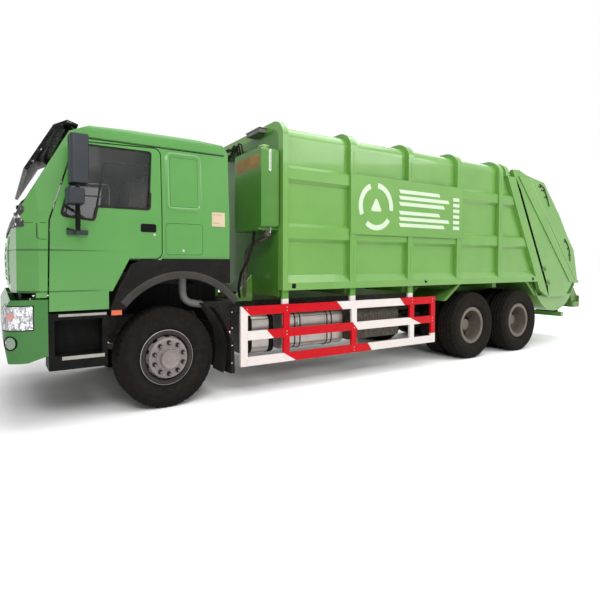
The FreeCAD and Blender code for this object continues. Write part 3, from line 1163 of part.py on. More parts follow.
node("cab_front", fuse("cab_front_whole", common("cab_front_skin", open_cab, front_zone),
                       *hinge_brackets,
                       *[mirror(f"right_hinge_{index}", bracket)
                         for index, bracket in enumerate(hinge_brackets)]))

# Windscreen and door glass, a seam smaller than their openings.


def screen_at(height):
    rise = (height - s.screen_foot_height) / (s.screen_head_height - s.screen_foot_height)
    return -s.screen_foot + rise * (s.screen_foot - s.screen_head)


screen_low, screen_high = s.screen_low - s.screen_round, s.screen_high + s.screen_round
screen_slab = pad("screen_slab", "XZ", -s.cab_side, s.cab_side,
                  [(at(screen_at(height) + s.glass_inset + step), height)
                   for height, step in ((screen_low, 0), (screen_low, s.glass),
                                        (screen_high, s.glass), (screen_high, 0))])
screen_cut = pad("screen_cut", "YZ", at(-s.roof_front), at(-s.cab_nose * 2),
                 [(s.screen_half_low - s.seam, s.screen_low + s.seam),
                  (s.screen_half_high - s.seam, s.screen_high - s.seam),
                  (-s.screen_half_high + s.seam, s.screen_high - s.seam),
                  (-s.screen_half_low + s.seam, s.screen_low + s.seam)],
                 rounds=[((0, 1, 2, 3), s.screen_round)])
node("windscreen", common("windscreen_pane", screen_slab, screen_cut))

glass_shift = (-1, 1), (-1, -1), (1, -1), (1, 1), (0, 1), (0, 1)
pane = pad("door_pane", "XZ", s.door_glass_side - s.glass / 2, s.door_glass_side + s.glass / 2,
           [(at(behind + s.seam * rearward * 1.5), height + s.seam * up)
            for (behind, height), (rearward, up) in zip(window_rows, glass_shift)],
           rounds=[((0, 1, 2, 3), s.window_round)])
node("door_glass_left", pane)
node("door_glass_right", mirror("right_pane", pane))

# Wheel arch trims: a face round the opening and a liner over the tyre.
arch_top = s.bunk_floor - s.panel_gap
arch_plate = pad("arch_plate", "XZ", s.arch_outer - s.arch_face, s.arch_outer,
                 [(at(-s.arch_front_bottom), s.arch_bottom),
                  (at(-s.door_arch_low + s.panel_gap), s.door_arch_low_height - s.panel_gap),
                  (at(-s.door_arch_high + s.panel_gap), s.door_arch_high_height - s.panel_gap),
                  (at(-s.door_arch_top), arch_top), (at(-s.door_rear + s.panel_gap), arch_top),
                  (at(-s.door_rear + s.panel_gap), s.bunk_floor),
                  (at(s.cab_rear), s.bunk_floor), (at(s.cab_rear), s.arch_rear_bottom),
                  (at(s.arch_centre), s.arch_rear_bottom), (at(s.arch_centre), s.arch_bottom)])
arch_hole = rod("arch_hole", "y", s.arch_radius, s.arch_outer,
                (at(s.arch_centre), s.arch_outer / 2, s.arch_centre_height))
liner = arc_band("liner", s.arch_centre, s.arch_centre_height, s.arch_radius,
                 s.arch_radius + s.liner_thickness, s.liner_start, s.liner_sweep,
                 s.arch_inner, s.arch_outer)
node("cab_arches", pair("arches", fuse("left_arch", cut("arch_face", arch_plate, arch_hole),
                                       liner)))

# Sun visor: a bent sheet on two feet over the windscreen.
drop = s.visor_thickness
visor_sheet = pad("visor_sheet", "XZ", -s.visor_half, s.visor_half,
                  [(at(-s.visor_tip), s.visor_tip_height),
                   (at(-s.visor_brow), s.visor_brow_height),
                   (at(-s.visor_top), s.visor_top_height),
                   (at(-s.visor_back), s.visor_back_height),
                   (at(-s.visor_back), s.visor_back_height - drop / 2),
                   (at(-s.visor_top + drop / 4), s.visor_top_height - drop),
                   (at(-s.visor_brow + drop), s.visor_brow_height - drop / 2),
                   (at(-s.visor_tip + drop), s.visor_tip_height - drop / 2)])
roof_slope = (s.roof_front_height - s.screen_head_height) / (s.screen_head - s.roof_front)


def roof_at(behind):
    return s.screen_head_height + (behind + s.screen_head) * roof_slope


visor_feet = [pad("visor_foot_" + word, "XZ", side - s.visor_foot_width / 2,
                  side + s.visor_foot_width / 2,
                  [(at(behind), roof_at(behind) + s.seam) for behind in (-s.visor_top, -s.visor_back)]
                  + [(at(-s.visor_back), s.visor_back_height - drop / 4),
                     (at(-s.visor_top), s.visor_top_height - drop * 3 / 4)])
              for word, side in (("left", s.visor_foot_side), ("right", -s.visor_foot_side))]
node("sun_visor", fuse("visor_whole", visor_sheet, *visor_feet))

# Cab interior: dashboard with the steering wheel, the driver's seat and a passenger's seat.
dash = pad("dash", "XZ", -s.dash_half, s.dash_half,
           [(at(-s.dash_front), sill_top), (at(-s.dash_front), s.dash_top),
            (at(-s.dash_rear), s.dash_top), (at(-s.dash_rear), s.dash_knee_height),
            (at(-s.dash_knee), s.dash_knee_height - s.dash_top + s.dash_knee_height),
            (at(-s.dash_foot), sill_top)])
steering_rim = doc.addObject("Part::Torus", "steering_rim")
bind(steering_rim, "Radius1", s.steering_radius)
bind(steering_rim, "Radius2", s.steering_rim)
steering_spoke = doc.addObject("Part::Box", "steering_spoke")
for side_name, length in (("Length", s.steering_rim * 3), ("Width", s.steering_radius * 2),
                          ("Height", s.steering_rim)):
    bind(steering_spoke, side_name, length)
place(steering_spoke, (-s.steering_rim * 1.5, -s.steering_radius, -s.steering_rim / 2))
column = doc.addObject("Part::Cylinder", "column")
bind(column, "Radius", s.column_radius)
bind(column, "Height", s.column_length)
place(column, (0, 0, -s.column_length))
steering = fuse("steering", steering_rim, steering_spoke, column)
steering.Placement = Placement(Vector(), Rotation(Vector(0, 1, 0), -float(s.steering_tilt)))
place(steering, (at(-s.steering_front), s.seat_side, s.steering_height))


def seat(name, side):
    low, high = side - s.seat_half, side + s.seat_half
    cushion = pad(name + "_cushion", "XZ", low, high,
                  [(at(-s.seat_front), s.seat_bottom), (at(-s.seat_rear), s.seat_bottom),
                   (at(-s.seat_rear), s.seat_top), (at(-s.seat_front), s.seat_top)],
                  rounds=[((3,), s.column_radius)])
    back = pad(name + "_back", "XZ", low, high,
               [(at(-s.seat_rear - s.seat_back_thickness), s.seat_top),
                (at(-s.seat_rear), s.seat_bottom),
                (at(-s.seat_rear + s.seat_back_lean), s.seat_back_top),
                (at(-s.seat_rear + s.seat_back_lean - s.seat_back_thickness), s.seat_back_top)])
    foot = box(name + "_foot", (at(-s.seat_rear), at(-s.seat_foot_front)),
               (side - s.seat_half / 2, side + s.seat_half / 2),
               (s.bunk_floor + s.cab_wall, s.seat_bottom))
    return fuse(name, cushion, back, foot)


node("cab_interior", group("interior", fuse("dash_whole", dash, steering),
                           seat("left_seat", s.seat_side), seat("right_seat", -s.seat_side)))

# Mirrors: main and wide-angle housings on a stalk, held by a foot and a stay on the door.
main_housing = pad("main_housing", "XY", s.mirror_bottom, s.mirror_top,
                   [(at(-s.mirror_rear), s.mirror_inner), (at(-s.mirror_front), s.mirror_inner),
                    (at(-s.mirror_front), s.mirror_outer), (at(-s.mirror_rear), s.mirror_outer)],
                   rounds=[((1, 2), s.mirror_round)])
wide_housing = pad("wide_housing", "XY", s.wide_bottom, s.wide_top,
                   [(at(-s.wide_rear), s.mirror_inner), (at(-s.wide_front), s.mirror_inner),
                    (at(-s.wide_front), s.mirror_outer), (at(-s.wide_rear), s.mirror_outer)],
                   rounds=[((1, 2), s.mirror_round)])
arm = s.mirror_arm_radius
door_face = s.cab_side + s.seam
stay_side = s.cab_side - (s.mirror_stay_height - s.cab_lean_height) * s.cab_lean / (
    s.cab_roof - s.cab_lean_height)
left_mirror = fuse(
    "left_mirror", main_housing, wide_housing,
    rod("mirror_stalk", "z", s.mirror_stalk_radius, s.mirror_bottom + arm - s.mirror_foot_bottom,
        (at(-s.mirror_arm_front), s.mirror_arm_side, s.mirror_foot_bottom)),
    rod("mirror_low_arm", "y", arm, s.mirror_arm_side - door_face,
        (at(-s.mirror_arm_front), door_face, s.mirror_foot_bottom + arm)),
    box("mirror_foot", (at(-s.mirror_foot_rear), at(-s.mirror_foot_front)),
        (door_face, door_face + s.mirror_foot_depth),
        (s.mirror_foot_bottom, s.mirror_foot_top)),
    rod("mirror_stay", "y", arm, s.mirror_arm_side - stay_side - s.seam * 10,
        (at(-s.mirror_arm_front), stay_side + s.seam * 10, s.mirror_stay_height)))
node("mirror_left", left_mirror)
node("mirror_right", mirror("right_mirror", left_mirror))

# Tailgate: side plates with a raised band, top and back covers, trough, guides and underrun bar.
tail_rows = [
    (slit(s.slit_foot_height), s.slit_foot_height), (slit(s.tail_nose_height), s.tail_nose_height),
    (s.tail_crown, s.tail_crown_height), (s.tail_roof, s.tail_roof_height),
    (s.tail_brow, s.tail_brow_height), (s.tail_back, s.tail_back_height),
    (s.tail_eave, s.tail_eave_height), (s.tail_cheek, s.tail_cheek_height),
    (s.tail_lip, s.tail_lip_height),
    (s.tail_lip + s.sill_bar_depth / 2, s.tail_lip_height),
    (s.tail_lip + s.sill_bar_depth / 2, s.tail_lip_height - s.sill_bar_height),
    (s.tail_heel, s.tail_heel_height),
    (s.tail_toe, s.slit_foot_height)]
side_plate = pad("tail_side", "XZ", s.tail_inner, s.tail_outer,
                 [(at(behind), height) for behind, height in tail_rows])
band = pad("tail_band", "XZ", s.tail_outer, s.tail_band,
           [(at(s.band_top), s.band_top_height), (at(s.band_top + s.band_width), s.band_top_height),
            (at(s.band_foot + s.band_width / 2), s.band_foot_height),
            (at(s.band_foot), s.band_foot_height)])
cover_rows = tail_rows[2:7]
cover = pad("tail_cover", "XZ", -s.tail_inner, s.tail_inner,
            [(at(behind), height) for behind, height in cover_rows]
            + [(at(behind - inward * s.tail_sheet), height - s.tail_sheet * (1 - inward / 3))
               for (behind, height), inward in zip(reversed(cover_rows), (0.9, 0.8, 0.4, 0, 0))])
trough = arc_band("trough", s.trough_centre, s.trough_centre_height,
                  s.trough_radius - s.trough_sheet, s.trough_radius, s.trough_start,
                  s.trough_sweep, -s.tail_inner, s.tail_inner)
trough_end = arc_band("trough_end", s.trough_centre, s.trough_centre_height, s.trough_sheet,
                      s.trough_radius, s.trough_start, s.trough_sweep,
                      s.tail_inner - s.trough_sheet, s.tail_inner)
end_height = s.slit_foot_height + s.tail_sheet
end_trim = box("trough_end_trim", (at(s.rear_reach), at(s.tail_hinge)), (0, s.tail_outer),
               (end_height, s.tail_nose_height))
trough_cheek = cut("trough_cheek", trough_end, end_trim)
trough_rim = arc_band("trough_rim", s.trough_centre, s.trough_centre_height,
                      s.trough_radius - s.trough_sheet, s.trough_radius, s.trough_rim_start,
                      s.trough_start + s.trough_rim_lap - s.trough_rim_start,
                      -s.trough_rim_side, s.trough_rim_side)
rim_cheek_disc = arc_band("rim_cheek_disc", s.trough_centre, s.trough_centre_height,
                          s.trough_sheet, s.trough_radius, s.trough_rim_start,
                          s.trough_start + s.trough_sweep / 2 - s.trough_rim_start,
                          s.trough_rim_side - s.trough_sheet, s.trough_rim_side)
rim_top = s.trough_centre_height - s.trough_radius * sine(s.trough_rim_start - 180)
rim_cheek = common("rim_cheek", rim_cheek_disc,
                   pad("rim_cheek_outline", "XZ", 0, s.tail_inner,
                       [(at(s.tail_hinge), rim_top), (at(slit(rim_top)), rim_top),
                        (at(s.slit_foot), s.slit_foot_height),
                        (at(s.slit_foot), s.underrun_bottom),
                        (at(s.tail_hinge), s.underrun_bottom)]))
sill_bar = box("sill_bar", (at(s.tail_lip + s.sill_bar_depth), at(s.tail_lip)),
               (-s.tail_outer, s.tail_outer), (s.tail_lip_height - s.sill_bar_height,
                                               s.tail_lip_height))
underrun = box("underrun", (at(s.underrun_front + s.underrun_depth), at(s.underrun_front)),
               (-s.underrun_half, s.underrun_half),
               (s.underrun_bottom, s.underrun_bottom + s.underrun_height))
stays = [box("underrun_stay_" + word,
             (at(s.underrun_front + s.underrun_depth), at(s.underrun_front)),
             (side - s.underrun_stay_width / 2, side + s.underrun_stay_width / 2),
             (s.underrun_bottom, s.underrun_stay_top))
         for word, side in (("left", s.underrun_stay_side), ("right", -s.underrun_stay_side))]


# Points on the packer's slide: along it (down and rearwards) and across it (up and rearwards).
def on_slide(along, across):
    slope_cosine, slope_sine = cosine(s.slide_angle), sine(s.slide_angle)
    return (s.slide_behind + along * slope_cosine + across * slope_sine,
            s.slide_height - along * slope_sine + across * slope_cosine)


def slide_outline(*rows):
    corners = [on_slide(size_of(along), size_of(across)) for along, across in rows]
    return [(at(behind), height) for behind, height in corners]


def slide_bar(name, low, high, along_low, along_high, across_low, across_high):
    return pad(name, "XZ", low, high,
               slide_outline((along_low, across_low), (along_high, across_low),
                             (along_high, across_high), (along_low, across_high)))


def slide_rod(name, radius, along, length, across, side):
    behind, height = on_slide(along, across)
    item = doc.addObject("Part::Cylinder", name)
    bind(item, "Radius", radius)
    bind(item, "Height", length)
    turn = Rotation(Vector(0, 1, 0), -90 - float(s.slide_angle))
    item.Placement = Placement(Vector(), turn)
    place(item, (at(behind), side, height))
    return item


slider_half = s.guide_half - s.seam
guides = [slide_bar(f"guide_{index}", s.guide_inner, s.tail_inner, -s.guide_start, s.guide_end,
                    low, low + s.guide_bar)
          for index, low in enumerate((s.guide_half, -s.guide_half - s.guide_bar))]
lift_end = s.lift_barrel_start + s.lift_barrel_length
lift_barrel = cut("lift_barrel",
                  slide_rod("lift_barrel_solid", s.lift_radius, s.lift_barrel_start,
                            s.lift_barrel_length, s.lift_across, s.lift_side),
                  slide_rod("lift_barrel_bore", s.lift_bore_radius,
                            s.lift_barrel_start + s.ram_gland,
                            s.lift_barrel_length - 2 * s.ram_gland, s.lift_across, s.lift_side),
                  slide_rod("lift_gland_bore", s.lift_rod_radius + s.running_fit,
                            s.lift_barrel_start - s.ram_gland, 3 * s.ram_gland,
                            s.lift_across, s.lift_side))
lift_anchor = slide_bar("lift_anchor", s.lift_side, s.tail_inner,
                        lift_end - s.lift_radius, lift_end,
                        s.lift_across - s.lift_radius / 2, s.lift_across + s.lift_radius / 2)
ear_outline = [(at(s.tail_hinge), s.tail_hinge_height + s.tail_lug_radius),
               (at(s.tail_crown), s.tail_crown_height),
               (at(s.tail_crown), s.tail_crown_height - s.tail_sheet),
               (at(s.tail_hinge + s.tail_lug_radius), s.tail_nose_height),
               (at(s.tail_hinge), s.tail_hinge_height - s.tail_lug_radius)]
tail_ears = []
for offset in (-s.tail_ear - s.tail_ear_gap, s.tail_ear + s.tail_ear_gap):
    middle = s.tail_ear_side + offset
    tail_ears += [pad(f"tail_ear_{len(tail_ears)}", "XZ", middle - s.tail_ear / 2,
                      middle + s.tail_ear / 2, ear_outline),
                  rod(f"tail_eye_{len(tail_ears)}", "y", s.tail_lug_radius, s.tail_ear,
                      (at(s.tail_hinge), middle - s.tail_ear / 2, s.tail_hinge_height))]
ear_bore = rod("tail_ear_bore", "y", s.tail_pin_radius + s.running_fit, s.tail_ear_side,
               (at(s.tail_hinge), s.tail_ear_side / 2, s.tail_hinge_height))
lifter_at = at(s.lifter_behind)
lifter_lugs = []
for offset in (-s.lifter_arm - s.lifter_lug_gap, s.lifter_arm + s.lifter_lug_gap):
    low = s.lifter_arm_side + offset - s.lifter_arm / 2
    lifter_lugs += [
        pad(f"lifter_lug_{len(lifter_lugs)}", "XZ", low, low + s.lifter_arm,
            [(at(s.tail_lip), s.tail_lip_height),
             (at(s.tail_lip + s.sill_bar_depth), s.tail_lip_height),
             (lifter_at, s.lifter_height + s.lifter_lug_radius),
             (lifter_at, s.lifter_height - s.lifter_lug_radius),
             (at(s.tail_lip), s.tail_lip_height - s.sill_bar_height)]),
        rod(f"lifter_lug_eye_{len(lifter_lugs)}", "y", s.lifter_lug_radius, s.lifter_arm,
            (lifter_at, low, s.lifter_height))]
lifter_pin = rod("lifter_pin", "y", s.lifter_pin_radius,
                 3 * s.lifter_arm + 2 * s.lifter_lug_gap,
                 (lifter_at, s.lifter_arm_side - 1.5 * s.lifter_arm - s.lifter_lug_gap,
                  s.lifter_height))
half_tail = cut("half_tail", fuse("half_tail_solid", side_plate, band, trough_cheek, rim_cheek,
                                  *guides, lift_barrel, lift_anchor, *tail_ears, *lifter_lugs,
                                  lifter_pin), ear_bore)
node("tailgate", fuse("tailgate_whole", half_tail, mirror("right_half_tail", half_tail), cover,
                      trough, trough_rim, sill_bar, underrun, *stays))

# Packer carriage: plate, side arms with sliders, blade pin with lugs, lift rods.
arm_low = s.packer_side - s.packer_arm
plate_end = s.plate_length - s.blade_tube_radius * 2
slot_half = s.arm_gap + s.arm_sheet + s.arm_slot_clear
arm_slots = [slide_bar(f"arm_slot_{index}", side - slot_half, side + slot_half,
                       plate_end - s.arm_slot_depth, plate_end * 2, -s.plate_far * 2, 0)
             for index, side in enumerate((s.ram_side, -s.ram_side))]
carriage_plate = cut("carriage_plate_slotted",
                     slide_bar("carriage_plate", -s.packer_side, s.packer_side,
                               -s.slider_length, plate_end, -s.plate_far, -s.plate_near),
                     *arm_slots)
carriage_sides = []
pivot = on_slide(s.pivot_along, -s.pivot_across)
pivot_at = (at(pivot[0]), pivot[1])
for word, sign in (("left", 1), ("right", -1)):
    low = arm_low if sign > 0 else -s.packer_side
    slider_low = (s.packer_side - s.packer_arm / 2 if sign > 0
                  else -s.tail_inner + s.slider_clear)
    slider_high = (s.tail_inner - s.slider_clear if sign > 0
                   else -s.packer_side + s.packer_arm / 2)
    lift_low = s.lift_side - s.lift_arm / 2 if sign > 0 else -s.lift_side - s.lift_arm / 2
    carriage_sides += [
        slide_bar("carriage_arm_" + word, low, low + s.packer_arm, -s.slider_length,
                  s.slider_length, -s.plate_far, slider_half),
        slide_bar("slider_" + word, slider_low, slider_high, -s.slider_length,
                  s.slider_length, -slider_half, slider_half),
        slide_bar("lift_bracket_" + word, lift_low, lift_low + s.lift_arm,
                  -s.lift_eye_along - s.lift_radius, -s.lift_eye_along + s.lift_radius,
                  -s.plate_near, s.lift_across + s.lift_radius),
        slide_rod("lift_rod_" + word, s.lift_rod_radius, -s.lift_eye_along,
                  s.lift_rod_length, s.lift_across, s.lift_side * sign)]
lug_sides = (arm_low, -s.packer_side, -s.packer_arm / 2)
pivot_lugs = []
for index, low in enumerate(lug_sides):
    pivot_lugs += [
        slide_bar(f"pivot_lug_bar_{index}", low, low + s.packer_arm,
                  s.plate_length - s.blade_tube_radius * 3, s.pivot_along,
                  -s.pivot_across - s.blade_lug, -s.plate_near),
        rod(f"pivot_lug_{index}", "y", s.blade_tube_radius, s.packer_arm,
            (pivot_at[0], low, pivot_at[1]))]
blade_pin = rod("blade_pin", "y", s.blade_pin_radius, 2 * s.packer_side,
                (pivot_at[0], -s.packer_side, pivot_at[1]))
ram_base = on_slide(-s.ram_base_along, -s.plate_near + s.ram_eye_radius + s.ram_base_lift)
ram_lugs = []
for index, side in enumerate((s.ram_side, -s.ram_side)):
    for offset in (s.ram_eye_half + s.blade_lug_gap, -s.ram_eye_half - s.blade_lug_gap
                   - s.arm_sheet):
        ram_lugs.append(slide_bar(
            f"ram_lug_{len(ram_lugs)}", side + offset, side + offset + s.arm_sheet,
            -s.ram_base_along - s.ram_eye_radius, -s.ram_base_along + s.ram_eye_radius,
            -s.plate_near - s.tail_sheet, -s.plate_near + s.ram_eye_radius * 2 + s.ram_base_lift))
ram_pins = [rod(f"ram_pin_{index}", "y", s.ram_pin_radius,
                2 * (s.ram_eye_half + s.blade_lug_gap + s.arm_sheet),
                (at(ram_base[0]), side - s.ram_eye_half - s.blade_lug_gap - s.arm_sheet,
                 ram_base[1]))
            for index, side in enumerate((s.ram_side, -s.ram_side))]
node("packer_carriage", fuse("carriage_whole", carriage_plate, *carriage_sides, *pivot_lugs,
                             blade_pin, *ram_lugs, *ram_pins))

# Sweep blade: a tapered plate on two tubes round the pin, with arms for the rams.


def from_pivot(reach, lift, turn):
    # reach along and lift across a line that points down and forward by the blade's angle.
    heading = s.blade_angle + turn
    behind = pivot[0] - reach * cosine(heading) + lift * sine(heading)
    height = pivot[1] - reach * sine(heading) - lift * cosine(heading)
    return (at(behind), height)


def blade_outline(turn, *rows):
    return [from_pivot(size_of(reach), size_of(lift), size_of(turn)) for reach, lift in rows]


blade_plate = pad("blade_plate", "XZ", -s.blade_side, s.blade_side,
                  blade_outline(0, (0, -s.blade_front), (s.blade_length, -s.blade_tip / 2),
                                (s.blade_length, s.blade_tip / 2), (s.blade_back * 3, s.blade_back),
                                (0, s.blade_back / 2)))
blade_tube = rod("blade_tube", "y", s.blade_tube_radius, 2 * s.blade_side,
                 (pivot_at[0], -s.blade_side, pivot_at[1]))
blade_bore = rod("blade_bore", "y", s.blade_pin_radius + s.running_fit, 2 * s.packer_side,
                 (pivot_at[0], -s.packer_side, pivot_at[1]))
lug_clear = s.packer_arm / 2 + s.blade_lug_gap
centre_slot = rod("centre_slot", "y", s.blade_tube_radius * 1.25, 2 * lug_clear,
                  (pivot_at[0], -lug_clear, pivot_at[1]))
blade_arms = []
ram_eye = from_pivot(s.arm_length, 0, s.arm_angle)
for index, side in enumerate((s.ram_side, -s.ram_side)):
    for offset in (s.arm_gap, -s.arm_gap - s.arm_sheet):
        blade_arms += [
            pad(f"blade_arm_{len(blade_arms)}", "XZ", side + offset, side + offset + s.arm_sheet,
                blade_outline(s.arm_angle, (0, -s.arm_eye_radius), (0, s.arm_eye_radius),
                              (s.arm_length, s.arm_eye_radius / 2),
                              (s.arm_length, -s.arm_eye_radius / 2))),
            rod(f"blade_arm_eye_{len(blade_arms)}", "y", s.arm_eye_radius, s.arm_sheet,
                (ram_eye[0], side + offset, ram_eye[1]))]
eye_bore = rod("eye_bore", "y", s.ram_pin_radius, 4 * s.ram_side,
               (ram_eye[0], -2 * s.ram_side, ram_eye[1]))
node("sweep_blade", cut("blade_whole", fuse("blade_solid", blade_plate, blade_tube, *blade_arms),
                        blade_bore, centre_slot, eye_bore))

# Blade rams: barrels on the carriage, rods to the blade's arms with the eye left open.
base_point = (at(ram_base[0]), ram_base[1])
barrels, rods = [], []
for word, side in (("left", s.ram_side), ("right", -s.ram_side)):
    eye_low = side - s.ram_eye_half
    barrel_end = s.ram_neck + s.ram_barrel
    barrel_solid = fuse(
        "barrel_solid_" + word,
        strut("barrel_neck_" + word, s.ram_neck_radius, side, base_point, ram_eye,
              s.ram_eye_radius / 2, s.ram_neck),
        strut("barrel_body_" + word, s.ram_radius, side, base_point, ram_eye,
              s.ram_neck, s.ram_barrel),
        rod("barrel_eye_" + word, "y", s.ram_eye_radius, 2 * s.ram_eye_half,
            (base_point[0], eye_low, base_point[1])))
    barrels.append(cut(
        "barrel_" + word, barrel_solid,
        rod("barrel_eye_bore_" + word, "y", s.ram_pin_radius + s.running_fit,
            4 * s.ram_eye_half, (base_point[0], eye_low - s.ram_eye_half, base_point[1])),
        strut("barrel_bore_" + word, s.ram_bore_radius, side, base_point, ram_eye,
              s.ram_neck + s.ram_gland, s.ram_barrel - 2 * s.ram_gland),
        strut("gland_bore_" + word, s.ram_rod_radius + s.running_fit, side, base_point,
              ram_eye, barrel_end - 2 * s.ram_gland, 4 * s.ram_gland)))
    rod_start = barrel_end - s.ram_hold
    rods.append(cut(
        "rod_" + word,
        fuse("rod_solid_" + word,
             strut("rod_bar_" + word, s.ram_rod_radius, side, base_point, ram_eye, rod_start),
             rod("rod_eye_" + word, "y", s.ram_eye_radius, 2 * s.ram_eye_half,
                 (ram_eye[0], eye_low, ram_eye[1]))),
        rod("rod_eye_bore_" + word, "y", s.ram_pin_radius, 4 * s.ram_eye_half,
            (ram_eye[0], eye_low - s.ram_eye_half, ram_eye[1]))))
node("ram_barrels", group("barrel_pair", *barrels))
node("ram_rods", group("rod_pair", *rods))

# Bin lifter: two arms on pins behind the loading sill, a beam and a comb plate.
beam_rear = s.rear_reach
lifter_arms = []
for word, sign in (("left", 1), ("right", -1)):
    low = s.lifter_arm_side * sign - s.lifter_arm / 2
    lifter_arms += [
        pad("lifter_arm_" + word, "XZ", low, low + s.lifter_arm,
            [(lifter_at - s.lifter_lug_radius, s.lifter_height),
             (lifter_at + s.lifter_lug_radius, s.lifter_height),
             (at(s.lifter_beam_front), s.lifter_beam_bottom + s.lifter_beam_height),
             (at(beam_rear), s.lifter_beam_bottom + s.lifter_beam_height),
             (at(beam_rear), s.lifter_face_top)]),
        rod("lifter_eye_" + word, "y", s.lifter_lug_radius, s.lifter_arm,
            (lifter_at, low, s.lifter_height))]
lifter_beam = box("lifter_beam", (at(beam_rear), at(s.lifter_beam_front)),
                  (-s.lifter_half, s.lifter_half),
                  (s.lifter_beam_bottom, s.lifter_beam_bottom + s.lifter_beam_height))
lifter_face = box("lifter_face", (at(beam_rear), at(beam_rear - s.lifter_face_sheet)),
                  (-s.lifter_half, s.lifter_half),
                  (s.lifter_beam_bottom, s.lifter_face_top))
lifter_bore = rod("lifter_bore", "y", s.lifter_pin_radius + s.running_fit, 4 * s.lifter_half,
                  (lifter_at, -2 * s.lifter_half, s.lifter_height))
node("bin_lifter", cut("lifter_whole", fuse("lifter_solid", *lifter_arms, lifter_beam,
                                            lifter_face), lifter_bore))

# Every piece has to be whole before anything is written.
doc.recompute()
broken = [item.Name for item in doc.Objects if "Invalid" in item.State or "Error" in item.State]
empty = [name for name, item in nodes.items() if item.Shape.isNull() or not item.Shape.isValid()]
if broken or empty:
    raise RuntimeError(f"broken objects {broken}, unsound nodes {empty}")
os.makedirs("parts", exist_ok=True)
for name, item in nodes.items():
    item.Shape.exportStep(f"parts/{name}.step")
    bounds = item.Shape.BoundBox
    print(f"{name}: {len(item.Shape.Solids)} solids, x {bounds.XMin:.1f}..{bounds.XMax:.1f},"
          f" y {bounds.YMin:.1f}..{bounds.YMax:.1f}, z {bounds.ZMin:.1f}..{bounds.ZMax:.1f}")
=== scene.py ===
import math

import bmesh
import bpy
from mathutils import Matrix, Vector, noise
from mathutils.bvhtree import BVHTree


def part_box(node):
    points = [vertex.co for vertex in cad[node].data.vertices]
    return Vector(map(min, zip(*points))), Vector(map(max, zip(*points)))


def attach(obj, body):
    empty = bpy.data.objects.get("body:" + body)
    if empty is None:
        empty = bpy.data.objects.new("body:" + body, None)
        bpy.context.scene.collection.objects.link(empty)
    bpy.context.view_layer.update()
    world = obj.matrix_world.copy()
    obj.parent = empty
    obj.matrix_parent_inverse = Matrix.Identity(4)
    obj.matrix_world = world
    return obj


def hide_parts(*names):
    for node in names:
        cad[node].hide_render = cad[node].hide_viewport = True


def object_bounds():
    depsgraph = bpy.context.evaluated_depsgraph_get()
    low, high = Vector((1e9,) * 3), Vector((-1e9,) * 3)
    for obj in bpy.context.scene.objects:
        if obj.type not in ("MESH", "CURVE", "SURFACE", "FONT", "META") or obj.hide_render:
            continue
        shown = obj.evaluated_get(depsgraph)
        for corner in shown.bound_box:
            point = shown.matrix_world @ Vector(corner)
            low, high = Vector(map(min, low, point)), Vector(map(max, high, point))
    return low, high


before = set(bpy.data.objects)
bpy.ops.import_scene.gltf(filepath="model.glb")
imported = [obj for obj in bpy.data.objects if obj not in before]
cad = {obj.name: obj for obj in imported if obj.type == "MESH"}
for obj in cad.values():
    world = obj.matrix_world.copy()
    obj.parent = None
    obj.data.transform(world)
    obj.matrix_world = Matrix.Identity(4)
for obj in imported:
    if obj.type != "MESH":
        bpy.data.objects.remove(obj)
cadLow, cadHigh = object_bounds()
print("frame loaded:", len(cad), "nodes")


def middleOf(name):
    low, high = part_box(name)
    return (low + high) / 2


frontX = middleOf("front_wheel_left").x
middleX = middleOf("middle_wheels_left").x
rearX = middleOf("rear_wheels_left").x


def at(behind):  # metres behind the front axle, as a place along the truck
    return frontX - behind


# Camera
cameraSet = {
    "ahead": 1.6, "side": 5.5571, "height": 1.5445, "yaw": -28.7982, "pitch": -1.4454,
    "roll": -0.0094, "lens": 26.0838, "shiftX": 0.1078, "shiftY": -0.0416}
yaw, pitch, roll = (math.radians(cameraSet[word]) for word in ("yaw", "pitch", "roll"))
forward = Vector((math.sin(yaw) * math.cos(pitch), -math.cos(yaw) * math.cos(pitch),
                  math.sin(pitch)))
right = forward.cross(Vector((0, 0, 1))).normalized()
up = right.cross(forward)
rolledRight = right * math.cos(roll) + up * math.sin(roll)
rolledUp = up * math.cos(roll) - right * math.sin(roll)
lensData = bpy.data.cameras.new("camera")
lensData.lens = cameraSet["lens"]
lensData.sensor_width = 36
lensData.shift_x, lensData.shift_y = cameraSet["shiftX"], cameraSet["shiftY"]
lensData.clip_end = 200
camera = bpy.data.objects.new("camera", lensData)
bpy.context.scene.collection.objects.link(camera)
turn = Matrix((rolledRight, rolledUp, -forward)).transposed().to_4x4()
camera.matrix_world = Matrix.Translation(
    (frontX + cameraSet["ahead"], cameraSet["side"], cameraSet["height"])) @ turn
bpy.context.scene.camera = camera
bpy.context.scene.view_settings.view_transform = "Standard"
print("camera placed")


